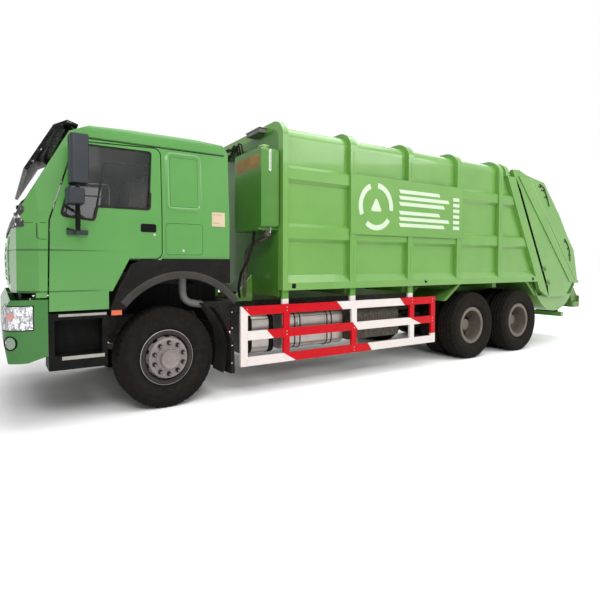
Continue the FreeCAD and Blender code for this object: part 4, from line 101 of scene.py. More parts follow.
# Shader maths: a socket that can stand in an expression
class Wire:
    def __init__(self, nodes, socket):
        self.nodes, self.socket = nodes, socket

    def calc(self, operation, *values):
        return self.nodes.node("ShaderNodeMath", {"operation": operation}, dict(enumerate(values)))

    def other(self, name):  # another output of the same node
        return Wire(self.nodes, self.socket.node.outputs[name])

    def __add__(self, value):
        return self.calc("ADD", self, value)

    def __radd__(self, value):
        return self.calc("ADD", value, self)

    def __sub__(self, value):
        return self.calc("SUBTRACT", self, value)

    def __rsub__(self, value):
        return self.calc("SUBTRACT", value, self)

    def __mul__(self, value):
        return self.calc("MULTIPLY", self, value)

    def __rmul__(self, value):
        return self.calc("MULTIPLY", value, self)

    def __truediv__(self, value):
        return self.calc("DIVIDE", self, value)

    def __rtruediv__(self, value):
        return self.calc("DIVIDE", value, self)

    def __pow__(self, value):
        return self.calc("POWER", self, value)

    def __gt__(self, value):
        return self.calc("GREATER_THAN", self, value)

    def __lt__(self, value):
        return self.calc("LESS_THAN", self, value)

    def __mod__(self, value):
        return self.calc("FLOORED_MODULO", self, value)

    def ramp(self, low, high):  # 0 at low, 1 at high, smooth between
        return self.nodes.node("ShaderNodeMapRange", {"interpolation_type": "SMOOTHSTEP"},
                               {"Value": self, "From Min": low, "From Max": high})

    def within(self, low, high):
        return (self > low) * (self < high)


# Any node of a tree: its type, its settings, and the values or wires of its sockets
class Nodes:
    def __init__(self, tree):
        self.tree = tree

    def node(self, kind, settings=None, sockets=None, out=0):
        made = self.tree.nodes.new(kind)
        for key, value in (settings or {}).items():
            setattr(made, key, value)
        for key, value in (sockets or {}).items():
            if isinstance(value, Wire):
                self.tree.links.new(value.socket, made.inputs[key])
            else:
                made.inputs[key].default_value = value
        return Wire(self, made.outputs[out])

    def looked(self):  # 1 for what is seen straight, mirrored or through glass
        rays = self.node("ShaderNodeLightPath")
        mirrored, through = rays.other("Is Glossy Ray"), rays.other("Is Transmission Ray")
        return rays.calc("MAXIMUM", rays.calc("MAXIMUM", rays, mirrored), through)


# A finish: one material, its shader and the nodes that vary it
class Finish(Nodes):
    def __init__(self, name, colour, roughness, metallic=0, **fixed):
        self.material = bpy.data.materials.new(name)
        self.material.use_nodes = True
        super().__init__(self.material.node_tree)
        self.shader = self.tree.nodes["Principled BSDF"]
        self.fix("Base Color", (*colour, 1))
        self.fix("Roughness", roughness)
        self.fix("Metallic", metallic)
        for socket, value in fixed.items():
            self.fix(socket.replace("_", " "), value)

    def fix(self, socket, value):
        self.shader.inputs[socket].default_value = value

    def place(self):
        return self.node("ShaderNodeTexCoord", out="Object")

    def axes(self):
        split = self.node("ShaderNodeSeparateXYZ", None, {0: self.place()})
        return split, split.other("Y"), split.other("Z")

    def spread(self, stretch):
        return self.node("ShaderNodeVectorMath", {"operation": "MULTIPLY"},
                         {0: self.place(), 1: stretch})

    def cloud(self, scale, detail=3, stretch=(1, 1, 1), rough=0.5):
        return self.node("ShaderNodeTexNoise", None, {
            "Vector": self.spread(stretch), "Scale": scale, "Detail": detail, "Roughness": rough})

    def cells(self, scale, feature="F1", stretch=(1, 1, 1)):
        return self.node("ShaderNodeTexVoronoi", {"feature": feature},
                         {"Vector": self.spread(stretch), "Scale": scale})

    def mixed(self, factor, low, high):  # two colours, or wires of colour
        low = low if isinstance(low, Wire) else (*low, 1)
        high = high if isinstance(high, Wire) else (*high, 1)
        return self.node("ShaderNodeMix", {"data_type": "RGBA"}, {0: factor, 6: low, 7: high}, 2)

    def feed(self, socket, wire):
        self.tree.links.new(wire.socket, self.shader.inputs[socket])

    def bump(self, height, distance, strength=1.0, under=None):
        sockets = {"Height": height, "Distance": distance, "Strength": strength}
        if under is not None:
            sockets["Normal"] = under
        return self.node("ShaderNodeBump", None, sockets)


def lacquer(name, colour, deep, waves, dusty=0.5, creases=(), shine=0.35):
    # sprayed paint under a clear coat: slow waves and folds in the sheet, fine peel, dust low down
    made = Finish(name, colour, 0.3, Coat_Weight=shine, Coat_Roughness=0.06,
                  Specular_IOR_Level=0.35)
    ahead, side, height = made.axes()
    tint = made.mixed(made.cloud(1.7, 4).ramp(0.3, 0.7), deep, colour)
    fine = made.cloud(26, 4, rough=0.7)
    film = (1 - height.ramp(0.45, 1.7)) * fine.ramp(0.35, 0.75) * dusty
    made.feed("Base Color", made.mixed(film * 0.5, tint, dustColour))
    made.feed("Roughness", 0.26 + 0.32 * film + 0.08 * made.cloud(6, 3))
    slow = made.bump(made.cloud(waves["scale"], 1, waves["stretch"]), waves["depth"])
    for low, high, front, rear, depth in creases:
        fold = height.ramp(low, high) * ahead.ramp(rear, front)
        slow = made.bump(fold, depth, 1.0, slow)
    made.feed("Normal", made.bump(made.cloud(240, 2), 0.0002, 0.5, slow))
    return made.material


def coating(name, colour, worn, roughness, grain, depth, dusty=0.5, metallic=0, **fixed):
    # one dull or cast surface: patches of the worn shade, a grain and some dust
    made = Finish(name, colour, roughness, metallic, **fixed)
    patches = made.cloud(5, 5, rough=0.65).ramp(0.35, 0.7)
    film = made.cloud(18, 4, rough=0.7).ramp(0.4, 0.8) * dusty
    made.feed("Base Color", made.mixed(film, made.mixed(patches, colour, worn), dustColour))
    made.feed("Roughness", roughness + 0.2 * film + 0.1 * (patches - 0.5))
    made.feed("Normal", made.bump(made.cloud(grain, 3), depth))
    return made.material


dustColour = (0.17, 0.135, 0.095)
bodyWaves = {"scale": 1.5, "stretch": (1, 1, 1.4), "depth": 0.012}
cabWaves = {"scale": 1.1, "stretch": (1, 1, 1), "depth": 0.004}
cabCreases = [  # foot, top, front and rear ends, depth
    (1.664, 1.684, at(-1.30), at(-0.35), 0.03), (1.28, 1.30, at(-0.9), at(-0.6), 0.02)]
bodyPaint = lacquer("bodyPaint", (0.122, 0.285, 0.052), (0.105, 0.26, 0.045), bodyWaves)
cabPaint = lacquer("cabPaint", (0.075, 0.24, 0.052), (0.066, 0.222, 0.047), cabWaves,
                   creases=cabCreases)
# a darker, duller copy of the body green as painted shade: on the packer parts and body floor under
# and inside the body, and on small green fittings
shadedPackerPaint = lacquer("shadedPackerPaint", (0.07, 0.17, 0.025), (0.058, 0.15, 0.022), bodyWaves, 0.4,
                      shine=0.08)
bumperPaint = lacquer("bumperPaint", (0.028, 0.14, 0.022), (0.023, 0.125, 0.019), cabWaves, 0.12,
                      shine=0.2)
# a darker copy of the body green: painted shade on the oil tank and on the front wall behind the
# cab
shadedBodyPaint = lacquer("shadedBodyPaint", (0.055, 0.18, 0.02), (0.045, 0.155, 0.017), bodyWaves, 0.3,
                    shine=0.2)
print("paints made")
frameBlack = coating("frameBlack", (0.016, 0.016, 0.016), (0.026, 0.024, 0.022), 0.6, 90,
                     0.0008, 0.3)
archBlack = coating("archBlack", (0.007, 0.0062, 0.0056), (0.01, 0.009, 0.0082), 0.6, 320,
                    0.0004, 0.03, Specular_IOR_Level=0.08)
archLip = coating("archLip", (0.024, 0.021, 0.019), (0.034, 0.03, 0.027), 0.5, 320, 0.0004, 0.06,
                  Specular_IOR_Level=0.2)
stepBlack = coating("stepBlack", (0.004, 0.004, 0.004), (0.007, 0.007, 0.007), 0.55, 320,
                    0.0003, 0.03, Specular_IOR_Level=0.06)
# near black with no shine: the seal in the slit and the shade in its gap, painted
slitSealAndShade = coating("slitSealAndShade", (0.004, 0.006, 0.003), (0.006, 0.008, 0.004), 0.9, 200,
                    0.0002, 0.0, Specular_IOR_Level=0.0)
# light green for painted highlights on the tail's folds and on the oil cap's flat top; dark green
# for painted shadow along the folds
paintedHighlight = coating("paintedHighlight", (0.25, 0.45, 0.14), (0.22, 0.42, 0.12), 0.4, 200, 0.0002, 0.05)
foldShade = coating("foldShade", (0.02, 0.06, 0.01), (0.016, 0.05, 0.008), 0.8, 200, 0.0002, 0.0,
                    Specular_IOR_Level=0.1)
tapeRed = coating("tapeRed", (0.45, 0.01, 0.015), (0.4, 0.01, 0.013), 0.35, 300, 0.0002, 0.1)
rubber = coating("rubber", (0.01, 0.0095, 0.009), (0.016, 0.015, 0.014), 0.75, 150, 0.0004, 0.12,
                 Specular_IOR_Level=0.15)
seatCloth = coating("seatCloth", (0.09, 0.095, 0.1), (0.07, 0.072, 0.078), 0.9, 700, 0.0006, 0.1,
                    Sheen_Weight=0.3)
trimGrey = coating("trimGrey", (0.15, 0.15, 0.145), (0.12, 0.12, 0.118), 0.6, 420, 0.0004, 0.15)
mirrorShell = coating("mirrorShell", (0.02, 0.025, 0.031), (0.016, 0.019, 0.024), 0.45, 380,
                      0.0003, 0.03, Specular_IOR_Level=0.3)
castIron = coating("castIron", (0.045, 0.04, 0.036), (0.07, 0.055, 0.042), 0.7, 60, 0.0016, 0.9)
brightSteel = coating("brightSteel", (0.62, 0.61, 0.59), (0.5, 0.48, 0.46), 0.3, 160,
                      0.0003, 0.25, 0.9)
ramChrome = coating("ramChrome", (0.72, 0.72, 0.72), (0.62, 0.62, 0.62), 0.12, 200,
                    0.0001, 0.1, 1.0)
rimPaint = coating("rimPaint", (0.2, 0.17, 0.165), (0.15, 0.13, 0.12), 0.42, 120, 0.0006, 0.2)
rimDusty = coating("rimDusty", (0.085, 0.07, 0.055), (0.12, 0.1, 0.08), 0.5, 90, 0.0008, 0.3)
lampAmber = coating("lampAmber", (0.55, 0.085, 0.01), (0.48, 0.07, 0.008), 0.25, 500, 0.0003, 0.03,
                    Coat_Weight=0.6)
lampRed = coating("lampRed", (0.5, 0.01, 0.008), (0.42, 0.008, 0.007), 0.18, 500, 0.0003, 0.1,
                  Coat_Weight=0.6)
plainWhite = coating("plainWhite", (0.5, 0.6, 0.44), (0.47, 0.56, 0.42), 0.4, 200, 0.0002, 0.05)
paleLabel = coating("paleLabel", (0.5, 0.4, 0.27), (0.46, 0.37, 0.25), 0.55, 200, 0.0002, 0.1)
amberLabel = coating("amberLabel", (0.25, 0.14, 0.02), (0.2, 0.1, 0.015), 0.5, 200, 0.0002, 0.1)


def brushed(name, colour, cross, dusty):  # rolled metal sheet with fine lines along one way
    made = Finish(name, colour, 0.3, 0.85)
    lines = made.cloud(9, 4, cross)
    film = made.cloud(7, 4, rough=0.7).ramp(0.4, 0.85) * dusty
    shade = tuple(0.82 * part for part in colour)
    made.feed("Base Color", made.mixed(film, made.mixed(lines, shade, colour), dustColour))
    made.feed("Roughness", 0.24 + 0.16 * lines + 0.3 * film)
    made.feed("Normal", made.bump(lines, 0.0004))
    return made.material


tankMetal = brushed("tankMetal", (0.4, 0.37, 0.35), (1, 40, 40), 0.4)
treadMetal = brushed("treadMetal", (0.36, 0.34, 0.31), (2, 60, 60), 0.35)


def tyreRubber():
    made = Finish("tyreRubber", (0.022, 0.018, 0.015), 0.8, Specular_IOR_Level=0.06)
    ahead, side, height = made.axes()
    out = (ahead * ahead + height * height) ** 0.5
    dust = (out.ramp(0.28, 0.34) - 0.6 * out.ramp(0.36, 0.5) + 0.5 * out.ramp(0.515, 0.54)) \
        * made.cloud(14, 4, rough=0.7).ramp(0.2, 0.8)
    made.feed("Base Color", made.mixed(0.12 * dust + 0.01, (0.005, 0.0043, 0.004),
                                       (0.12, 0.095, 0.072)))
    made.feed("Roughness", 0.72 + 0.15 * dust)
    rings = (out * 420).calc("SINE", out * 420) * out.ramp(0.5, 0.47) * out.ramp(0.33, 0.36)
    made.feed("Normal", made.bump(made.cloud(130, 3), 0.0005, 1.0, made.bump(rings, 0.0004)))
    return made.material


tyreBlack = tyreRubber()


def glazing(name, colour, clear, streak):  # tinted glass with a thin, patchy pale film: dust, and on the windscreen also a protective film and painted reflection
    made = Finish(name, colour, 0.04, Coat_Weight=0.3, Coat_Roughness=0.02)
    film = made.cloud(3, 4, (1, 1, 0.4)).ramp(0.35, 0.8) * streak
    made.feed("Base Color", made.mixed(film, colour, (0.62, 0.55, 0.5)))
    made.feed("Roughness", 0.03 + 0.25 * film)
    made.feed("Alpha", (1 - clear) + clear * film)
    return made.material


sideGlass = glazing("sideGlass", (0.022, 0.026, 0.026), 0.62, 0.12)
# the windscreen's pale tint and heavy film: a protective film on it, and painted reflection of a
# bright ceiling
screenFilmAndReflection = glazing("screenFilmAndReflection", (0.42, 0.37, 0.33), 0.45, 0.6)
lampGlass = glazing("lampGlass", (0.8, 0.82, 0.84), 0.8, 0.15)
mirrorGlass = brushed("mirrorGlass", (0.24, 0.27, 0.3), (1, 1, 1), 0.05)


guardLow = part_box("side_guards")[0].z
guardSet = {
    "stubTop": 1.12, "tall": 0.105,
    "rails": [  # foot, and where the colour changes behind the axle at the top and bottom edges
        (0.95, [(0.86, 0.97), (2.29, 2.39), (3.47, 3.57)]),
        (0.66, [(1.20, 1.30), (2.57, 2.66), (3.68, 3.92)]),
        (guardLow, [(1.446, 1.627), (2.845, 2.92)])],
    "redPosts": [  # front, rear, foot and top
        (1.43, 1.55, guardLow + 0.105, 0.951), (2.53, 2.66, guardLow + 0.105, 0.661),
        (3.66, 3.80, 0.764, 0.951), (4.12, 4.3, 0.764, 0.951), (4.12, 4.3, 0.5, 0.661)]}


def guardStripes():  # red and white rails, with slanted breaks, on green stubs
    made = Finish("guardStripes", (0.75, 0.75, 0.72), 0.45, Specular_IOR_Level=0.12)
    ahead, side, height = made.axes()
    behind, tall, red = frontX - ahead, guardSet["tall"], 0
    for foot, breaks in guardSet["rails"]:
        share, passed = (height - foot) / tall, 0
        for top, bottom in breaks:
            passed = passed + (behind > bottom + (top - bottom) * share)
        red = red + (passed % 2) * height.within(foot - 0.004, foot + tall + 0.004)
    for front, rear, foot, top in guardSet["redPosts"]:
        red = red + behind.within(front, rear) * height.within(foot, top)
    green = height > guardSet["stubTop"]
    film = made.cloud(11, 4, rough=0.7).ramp(0.35, 0.85) * 0.05
    rail = made.mixed(red, (0.62, 0.56, 0.54), (0.44, 0.0, 0.006))
    clean = made.mixed(green, rail, (0.09, 0.25, 0.04))
    made.feed("Base Color", made.mixed(film, clean, dustColour))
    made.feed("Roughness", 0.3 + 0.3 * film)
    made.feed("Normal", made.bump(made.cloud(60, 3), 0.0005))
    return made.material


def flapFinish():
    # black flaps round the front wheels, painted guards over the rear ones
    made = Finish("flapPaint", (0.08, 0.19, 0.035), 0.4, Specular_IOR_Level=0.2)
    ahead, side, height = made.axes()
    film = made.cloud(18, 4, rough=0.7).ramp(0.4, 0.8) * 0.2
    shade = made.mixed(ahead > 1.5, (0.07, 0.17, 0.03), (0.012, 0.011, 0.01))
    made.feed("Base Color", made.mixed(film * (ahead < 1.5), shade, dustColour))
    made.feed("Roughness", 0.38 + 0.2 * film)
    made.feed("Normal", made.bump(made.cloud(3, 2), 0.002))
    return made.material


flapPaint = flapFinish()
guardPaint = guardStripes()


def crinkled(name, colour, pale):  # loose film wrapped over a black panel; its pale flecks are painted glints on the crumpled film
    made = Finish(name, colour, 0.3, Coat_Weight=0.1, Coat_Roughness=0.1, Specular_IOR_Level=0.08)
    folds = made.cells(6, "DISTANCE_TO_EDGE").ramp(0.0, 0.08)
    fine = made.cloud(15, 5, rough=0.6)
    paintedGlints = (1 - folds) * fine.ramp(0.54, 0.6)
    made.feed("Base Color", made.mixed(paintedGlints * pale, colour, (0.75, 0.72, 0.74)))
    made.feed("Roughness", 0.28 + 0.3 * fine)
    made.feed("Normal", made.bump(folds, 0.012, 0.8, made.bump(fine, 0.008)))
    return made.material


wrapBlack = crinkled("wrapBlack", (0.003, 0.003, 0.003), 0.8)
# the cowl's wrap: a lighter base and more painted glints
wrapPale = crinkled("wrapPale", (0.05, 0.045, 0.048), 1.6)

nodeFinishes = {
    bodyPaint: ("body_roof", "body_side_left", "body_side_right", "tailgate"),
    shadedBodyPaint: ("oil_tank", "body_front_wall"), flapPaint: ("mudguards",),
    shadedPackerPaint: ("packer_carriage", "sweep_blade", "ram_barrels", "bin_lifter",
                  "ejector", "body_floor"),
    cabPaint: ("cab_roof", "cab_front", "cab_shell", "door_left", "door_right"),
    bumperPaint: ("bumper",),
    frameBlack: ("chassis_frame", "battery_box"),
    castIron: ("front_axle", "rear_axles", "knuckle_left", "knuckle_right", "driveline",
               "silencer"),
    archBlack: ("cab_arches",), stepBlack: ("cab_steps",), wrapBlack: ("sun_visor",),
    mirrorShell: ("mirror_left", "mirror_right"),
    sideGlass: ("door_glass_left", "door_glass_right"),
    screenFilmAndReflection: ("windscreen",), tankMetal: ("fuel_tank", "air_tank"), ramChrome: ("ram_rods",),
    trimGrey: ("cab_interior",), guardPaint: ("side_guards",),
    tyreBlack: ("front_wheel_left", "front_wheel_right", "middle_wheels_left",
                "middle_wheels_right", "rear_wheels_left", "rear_wheels_right")}
for finish, names in nodeFinishes.items():
    for name in names:
        slots = cad[name].data.materials
        for index in range(len(slots)):
            slots[index] = finish
        if not slots:
            slots.append(finish)
print("finishes on", sum(len(names) for names in nodeFinishes.values()), "nodes")


# Meshes: a form is gathered in the truck's own frame, in metres
class Form:
    def __init__(self):
        self.mesh = bmesh.new()

    def faces(self, points, rings, finish=0):
        corners = [self.mesh.verts.new(point) for point in points]
        for ring in rings:
            self.mesh.faces.new([corners[index] for index in ring]).material_index = finish

    def grid(self, rows, finish=0, aroundRows=False, aroundColumns=False):
        # rows of points, joined by four-sided faces
        wide, tall = len(rows[0]), len(rows)
        rings = [(row * wide + column, row * wide + (column + 1) % wide,
                  (row + 1) % tall * wide + (column + 1) % wide, (row + 1) % tall * wide + column)
                 for row in range(tall - (not aroundRows))
                 for column in range(wide - (not aroundColumns))]
        self.faces([point for row in rows for point in row], rings, finish)

    def block(self, low, high, finish=0):
        x, y, z = zip(low, high)
        points = [(x[i], y[j], z[k]) for i in (0, 1) for j in (0, 1) for k in (0, 1)]
        self.faces(points, [(0, 1, 3, 2), (4, 6, 7, 5), (0, 4, 5, 1), (2, 3, 7, 6), (0, 2, 6, 4),
                            (1, 5, 7, 3)], finish)

    def solid(self, points, finish=0):  # two equal loops of points, closed and joined
        count = len(points) // 2
        rings = [tuple(range(count)), tuple(reversed(range(count, 2 * count)))]
        rings += [(i, (i + 1) % count, count + (i + 1) % count, count + i) for i in range(count)]
        self.faces(points, rings, finish)

    def prism(self, outline, low, high, finish=0):  # (x, z) points, thick across the truck
        self.solid([(x, side, z) for side in (low, high) for x, z in outline], finish)

    def ring(self, outer, inner, low, high, finish=0, lean=None):
        # a flat frame between two outlines of as many points; lean gives the extra y for a height
        shift = lean or (lambda height: 0)
        rows = [[(x, side + shift(z), z) for x, z in outline]
                for outline, side in ((outer, low), (outer, high), (inner, high), (inner, low))]
        self.grid(rows, finish, True, True)

    def lathe(self, profile, centre, along="y", steps=48, finish=0):
        # profile of (radius, reach) turned about an axis through centre
        rows = []
        for index in range(steps):
            angle = math.radians(360 * index / steps)
            cosine, sine = math.cos(angle), math.sin(angle)
            row = []
            for radius, reach in profile:
                offset = {"x": (reach, radius * cosine, radius * sine),
                          "y": (radius * cosine, reach, radius * sine),
                          "z": (radius * cosine, radius * sine, reach)}[along]
                row.append(Vector(centre) + Vector(offset))
            rows.append(row)
        self.grid(rows, finish, True)

    def tube(self, path, radius, steps=10, finish=0, caps=True):
        # a round bar along a path of points
        path = [Vector(point) for point in path]
        rows, across = [], None
        for index, point in enumerate(path):
            ahead = (path[min(index + 1, len(path) - 1)] - path[max(index - 1, 0)]).normalized()
            if across is None:
                across = ahead.orthogonal().normalized()
            across = (across - ahead * across.dot(ahead)).normalized()
            lifted = ahead.cross(across)
            rows.append([point + (across * math.cos(a) + lifted * math.sin(a)) * radius
                         for a in (2 * math.pi * step / steps for step in range(steps))])
        self.grid(rows, finish, False, True)
        if caps:
            for row in (rows[0], rows[-1]):
                self.faces(row, [tuple(range(steps))], finish)

    def stud(self, centre, way, radius, length, finish=0, sides=6):
        # a nut or bolt head standing on a surface, narrower at its top
        centre, way = Vector(centre), Vector(way).normalized()
        shoulder, top = centre + way * length * 0.82, centre + way * length
        self.tube([centre, shoulder], radius, sides, finish, False)
        self.tube([shoulder, top], radius * 0.86, sides, finish)

    def flip(self, corners, faces):  # turned over to the other side of the truck
        for corner in corners:
            corner.co.y = -corner.co.y
        bmesh.ops.reverse_faces(self.mesh, faces=faces)

    def mirrored(self):  # the same again on the other side
        made = bmesh.ops.duplicate(self.mesh, geom=self.mesh.verts[:] + self.mesh.faces[:])
        self.flip([part for part in made["geom"] if isinstance(part, bmesh.types.BMVert)],
                  [part for part in made["geom"] if isinstance(part, bmesh.types.BMFace)])
        return self

    def made(self, name, body, slot, finishes, bevel=0.0, sharp=35, at=None, tidy=True):
        if tidy:
            bmesh.ops.remove_doubles(self.mesh, verts=self.mesh.verts, dist=1e-5)
            bmesh.ops.recalc_face_normals(self.mesh, faces=self.mesh.faces)
        limit = math.radians(sharp)
        for face in self.mesh.faces:
            face.smooth = True
        if not bevel:
            for edge in self.mesh.edges:
                edge.smooth = not edge.is_manifold or edge.calc_face_angle(0) < limit
        data = bpy.data.meshes.new(name)
        self.mesh.to_mesh(data)
        self.mesh.free()
        for finish in finishes if isinstance(finishes, (list, tuple)) else [finishes]:
            data.materials.append(finish)
        piece = bpy.data.objects.new(name, data)
        bpy.context.scene.collection.objects.link(piece)
        if at is not None:
            piece.matrix_world = at
        if bevel:
            edges = piece.modifiers.new("edges", "BEVEL")
            edges.width, edges.segments, edges.limit_method = bevel, 2, "ANGLE"
            edges.angle_limit = limit
            edges.harden_normals = True
        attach(piece, body)
        return piece


def along(points):  # (distance behind the front axle, height) pairs as places in the truck's frame
    return [(at(behind), height) for behind, height in points]


def steps(low, high, count):
    return [low + (high - low) * index / (count - 1) for index in range(count)]


def bend(start, corner, end, count):  # points of a smooth turn from start to end
    start, corner, end = Vector(start), Vector(corner), Vector(end)
    return [start.lerp(corner, share).lerp(corner.lerp(end, share), share)
            for share in steps(0, 1, count + 1)]


def finer(path, parts):  # the same path with more points
    path = [Vector(point) for point in path]
    return [a.lerp(b, step / parts) for a, b in zip(path, path[1:]) for step in range(parts)] \
        + [path[-1]]


def circle(behind, height, radius, count=24, start=0):
    angles = [math.radians(start + 360 * step / count) for step in range(count)]
    return [(at(behind) + radius * math.cos(angle), height + radius * math.sin(angle))
            for angle in angles]


def roundedRect(low, high, foot, top, corner, parts):
    # a rounded rectangle of points, from its upper right corner round
    points = []
    for x, z, start in ((high - corner, top - corner, 0), (low + corner, top - corner, 90),
                        (low + corner, foot + corner, 180), (high - corner, foot + corner, 270)):
        for step in range(parts + 1):
            angle = math.radians(start + 90 * step / parts)
            points.append((x + corner * math.cos(angle), z + corner * math.sin(angle)))
    return points


def roundedBox(front, rear, foot, top, corner, parts=5):  # between two distances behind the axle
    low, high = sorted((at(front), at(rear)))
    return roundedRect(low, high, foot, top, corner, parts)


def roundedLoop(corners, radius, parts=4):
    # a loop of (x, z) corners with each corner rounded
    points, count = [], len(corners)
    for index, corner in enumerate(corners):
        corner = Vector(corner)
        before = (Vector(corners[index - 1]) - corner).normalized()
        after = (Vector(corners[(index + 1) % count]) - corner).normalized()
        half = before.angle(after) / 2
        reach = radius / math.tan(half)
        points += [tuple(spot) for spot in
                   bend(corner + before * reach, corner, corner + after * reach, parts)]
    return points


def grown(loop, amount):  # the same loop moved outwards by an amount, or inwards if negative
    count, points = len(loop), []
    area = sum(loop[i - 1][0] * loop[i][1] - loop[i][0] * loop[i - 1][1] for i in range(count))
    way = 1 if area > 0 else -1
    for index in range(count):
        a, b, c = (Vector(loop[(index + step) % count]) for step in (-1, 0, 1))
        one, two = (b - a).normalized(), (c - b).normalized()
        out = Vector((one.y + two.y, -one.x - two.x)).normalized()
        spread = max(0.5, out.dot(Vector((one.y, -one.x))))
        points.append(tuple(b + out * (amount * way / spread)))
    return points


# Tyres: sidewall rounded with ribs, tread with zigzag grooves and notched shoulders
tyreSet = {
    "around": 240, "groove": 0.014, "zigzag": 0.006, "notch": 0.012, "notchInner": 0.6,
    "bead": (0.2562, 0.1052), "grooves": [-0.078, -0.027, 0.027, 0.078], "grooveHalf": 0.007,
    "grooveFoot": 0.6, "crown": 0.5415, "crownSide": 0.104, "edge": 0.5375, "edgeSide": 0.119,
    "side": [(0.299, 0.1055), (0.314, 0.118), (0.33, 0.1265), (0.334, 0.1295), (0.342, 0.1295),
             (0.346, 0.1335), (0.39, 0.143), (0.43, 0.1463), (0.462, 0.1445), (0.466, 0.1462),
             (0.474, 0.1455), (0.478, 0.142), (0.505, 0.1375), (0.519, 0.132), (0.5285, 0.128)]}


def tyreForm(form, middle):
    # each column has a radius, a side and a kind: 1 is notched, 2 swings with the zigzag
    around, crown, wide = tyreSet["around"], tyreSet["crown"], tyreSet["grooveHalf"]
    deep, narrow = crown - tyreSet["groove"], wide * tyreSet["grooveFoot"]
    half = [(radius, side, 0) for radius, side in [tyreSet["bead"]] + tyreSet["side"]]
    half += [(tyreSet["edge"], tyreSet["edgeSide"], 1), (crown, tyreSet["crownSide"], 1)]
    tread = []
    for groove in reversed(tyreSet["grooves"]):
        tread += [(crown, groove + wide, 2), (deep, groove + narrow, 2),
                  (deep, groove - narrow, 2), (crown, groove - wide, 2)]
    columns = half + tread + [(radius, -side, kind) for radius, side, kind in reversed(half)]
    rows = []
    for index in range(around):
        angle = 2 * math.pi * index / around
        swing = tyreSet["zigzag"] * (1 if index // 2 % 2 else -1)
        row = []
        for radius, side, kind in columns:
            if kind == 1 and index % 5 < 2:
                outermost = abs(side) > tyreSet["crownSide"]
                radius -= tyreSet["notch"] * (1 if outermost else tyreSet["notchInner"])
            if kind == 2:
                side += swing
            row.append((radius * math.cos(angle), side + middle, radius * math.sin(angle)))
        rows.append(row)
    form.grid(rows, 0, True, False)


# Rims: barrel with rolled edges, dished disc with ten vents and a face ring for the nuts
rimSet = {
    "steps": 64, "vents": 10, "ventCorners": 24, "ventWide": 0.46, "ventTall": 0.62,
    "ventLip": 0.12, "ventDeep": (0.006, 0.011),
    "barrel": [(0.244, 0.114), (0.25, 0.118), (0.292, 0.1185), (0.2975, 0.1155), (0.2975, 0.108),
               (0.256, 0.105), (0.255, 0.09), (0.262, 0.0), (0.255, -0.09), (0.256, -0.105),
               (0.2975, -0.108), (0.2975, -0.1155), (0.292, -0.1185), (0.25, -0.118),
               (0.244, -0.114), (0.243, -0.05), (0.2495, 0.0), (0.243, 0.05)],
    "neck": [(0.243, 0.052), (0.2425, 0.062), (0.239, 0.074)],
    "face": [(0.218, 0.148), (0.214, 0.157), (0.206, 0.1635), (0.196, 0.1655), (0.139, 0.1655),
             (0.137, 0.16)]}


def ventRing(form, middle, sign):
    # a cone from the face to the neck with oval holes, each hole in its own sector
    inner, outer = rimSet["face"][0], rimSet["neck"][-1]
    wide, tall, lip = rimSet["ventWide"], rimSet["ventTall"], rimSet["ventLip"]
    for sector in range(rimSet["vents"]):
        rings = [[], [], [], []]
        for step in range(rimSet["ventCorners"]):
            angle = 2 * math.pi * (step + 0.5) / rimSet["ventCorners"]
            across, upwards = math.cos(angle), math.sin(angle)
            square = 1 / max(abs(across), abs(upwards))
            for ring, (s, t) in zip(rings, (
                    (across * square, upwards * square),
                    (across * (wide + lip), upwards * (tall + lip)),
                    (across * wide, upwards * tall), (across * wide, upwards * tall))):
                spin = 2 * math.pi * (sector + 0.5 + s / 2) / rimSet["vents"]
                share = (t + 1) / 2
                radius = inner[0] + (outer[0] - inner[0]) * share
                reach = inner[1] + (outer[1] - inner[1]) * share
                if ring is rings[3]:
                    radius, reach = radius - rimSet["ventDeep"][0], reach - rimSet["ventDeep"][1]
                ring.append((radius * math.cos(spin), reach * sign + middle,
                             radius * math.sin(spin)))
        form.grid(rings, 0, False, True)


def rimForm(form, middle, sign):
    def turned(outline, finish=0):
        form.lathe([(radius, side * sign + middle) for radius, side in outline], (0, 0, 0),
                   steps=rimSet["steps"], finish=finish)

    barrel = rimSet["barrel"]
    # the barrel takes finish 2, painted shade on the front wheels
    turned(barrel[5:] + barrel[:3], 2)
    turned(barrel[2:6], 3)  # the outer edge, in a painted highlight
    turned(rimSet["neck"])
    ventRing(form, middle, sign)
    turned(rimSet["face"])


# Hubs: caps, drums, nuts and valves
hubSet = {
    "nuts": 10, "nutCircle": 0.1675, "washer": (0.027, 0.004), "nut": 0.0185,
    "studEnd": (0.0105, 0.012), "twinNuts": (0.012, 0.032), "frontNuts": (0.1655, 0.026),
    "bolts": 8, "boltCircle": 0.10152, "boltReach": 0.118, "bolt": (0.009, 0.012),
    "frontCap": [(0.139, 0.1655), (0.136, 0.172), (0.128, 0.176), (0.112, 0.177), (0.106, 0.182),
                 (0.1035, 0.205), (0.1035, 0.222), (0.099, 0.23), (0.09, 0.2325), (0.082, 0.2315),
                 (0.078, 0.2285), (0.05, 0.2285), (0.047, 0.2315), (0.03, 0.2335), (0.0005, 0.234)],
    "rearCap": [(0.139, 0.004), (0.134, 0.02), (0.128, 0.024), (0.118, 0.025), (0.112, 0.03),
                (0.108, 0.09), (0.106, 0.118), (0.099, 0.124), (0.096, 0.14), (0.094, 0.158),
                (0.088, 0.167), (0.06, 0.1695), (0.0005, 0.1695)],
    "drum": [(0.205, -0.103), (0.205, 0.06), (0.139, 0.06), (0.139, 0.15)],
    "twinValve": [(0.205, 0.165, 0.02), (0.214, 0.21, 0.021), (0.226, 0.235, 0.022)],
    "frontValve": [(0.212, 0.152, 0.05), (0.222, 0.128, 0.053), (0.232, 0.135, 0.056)]}
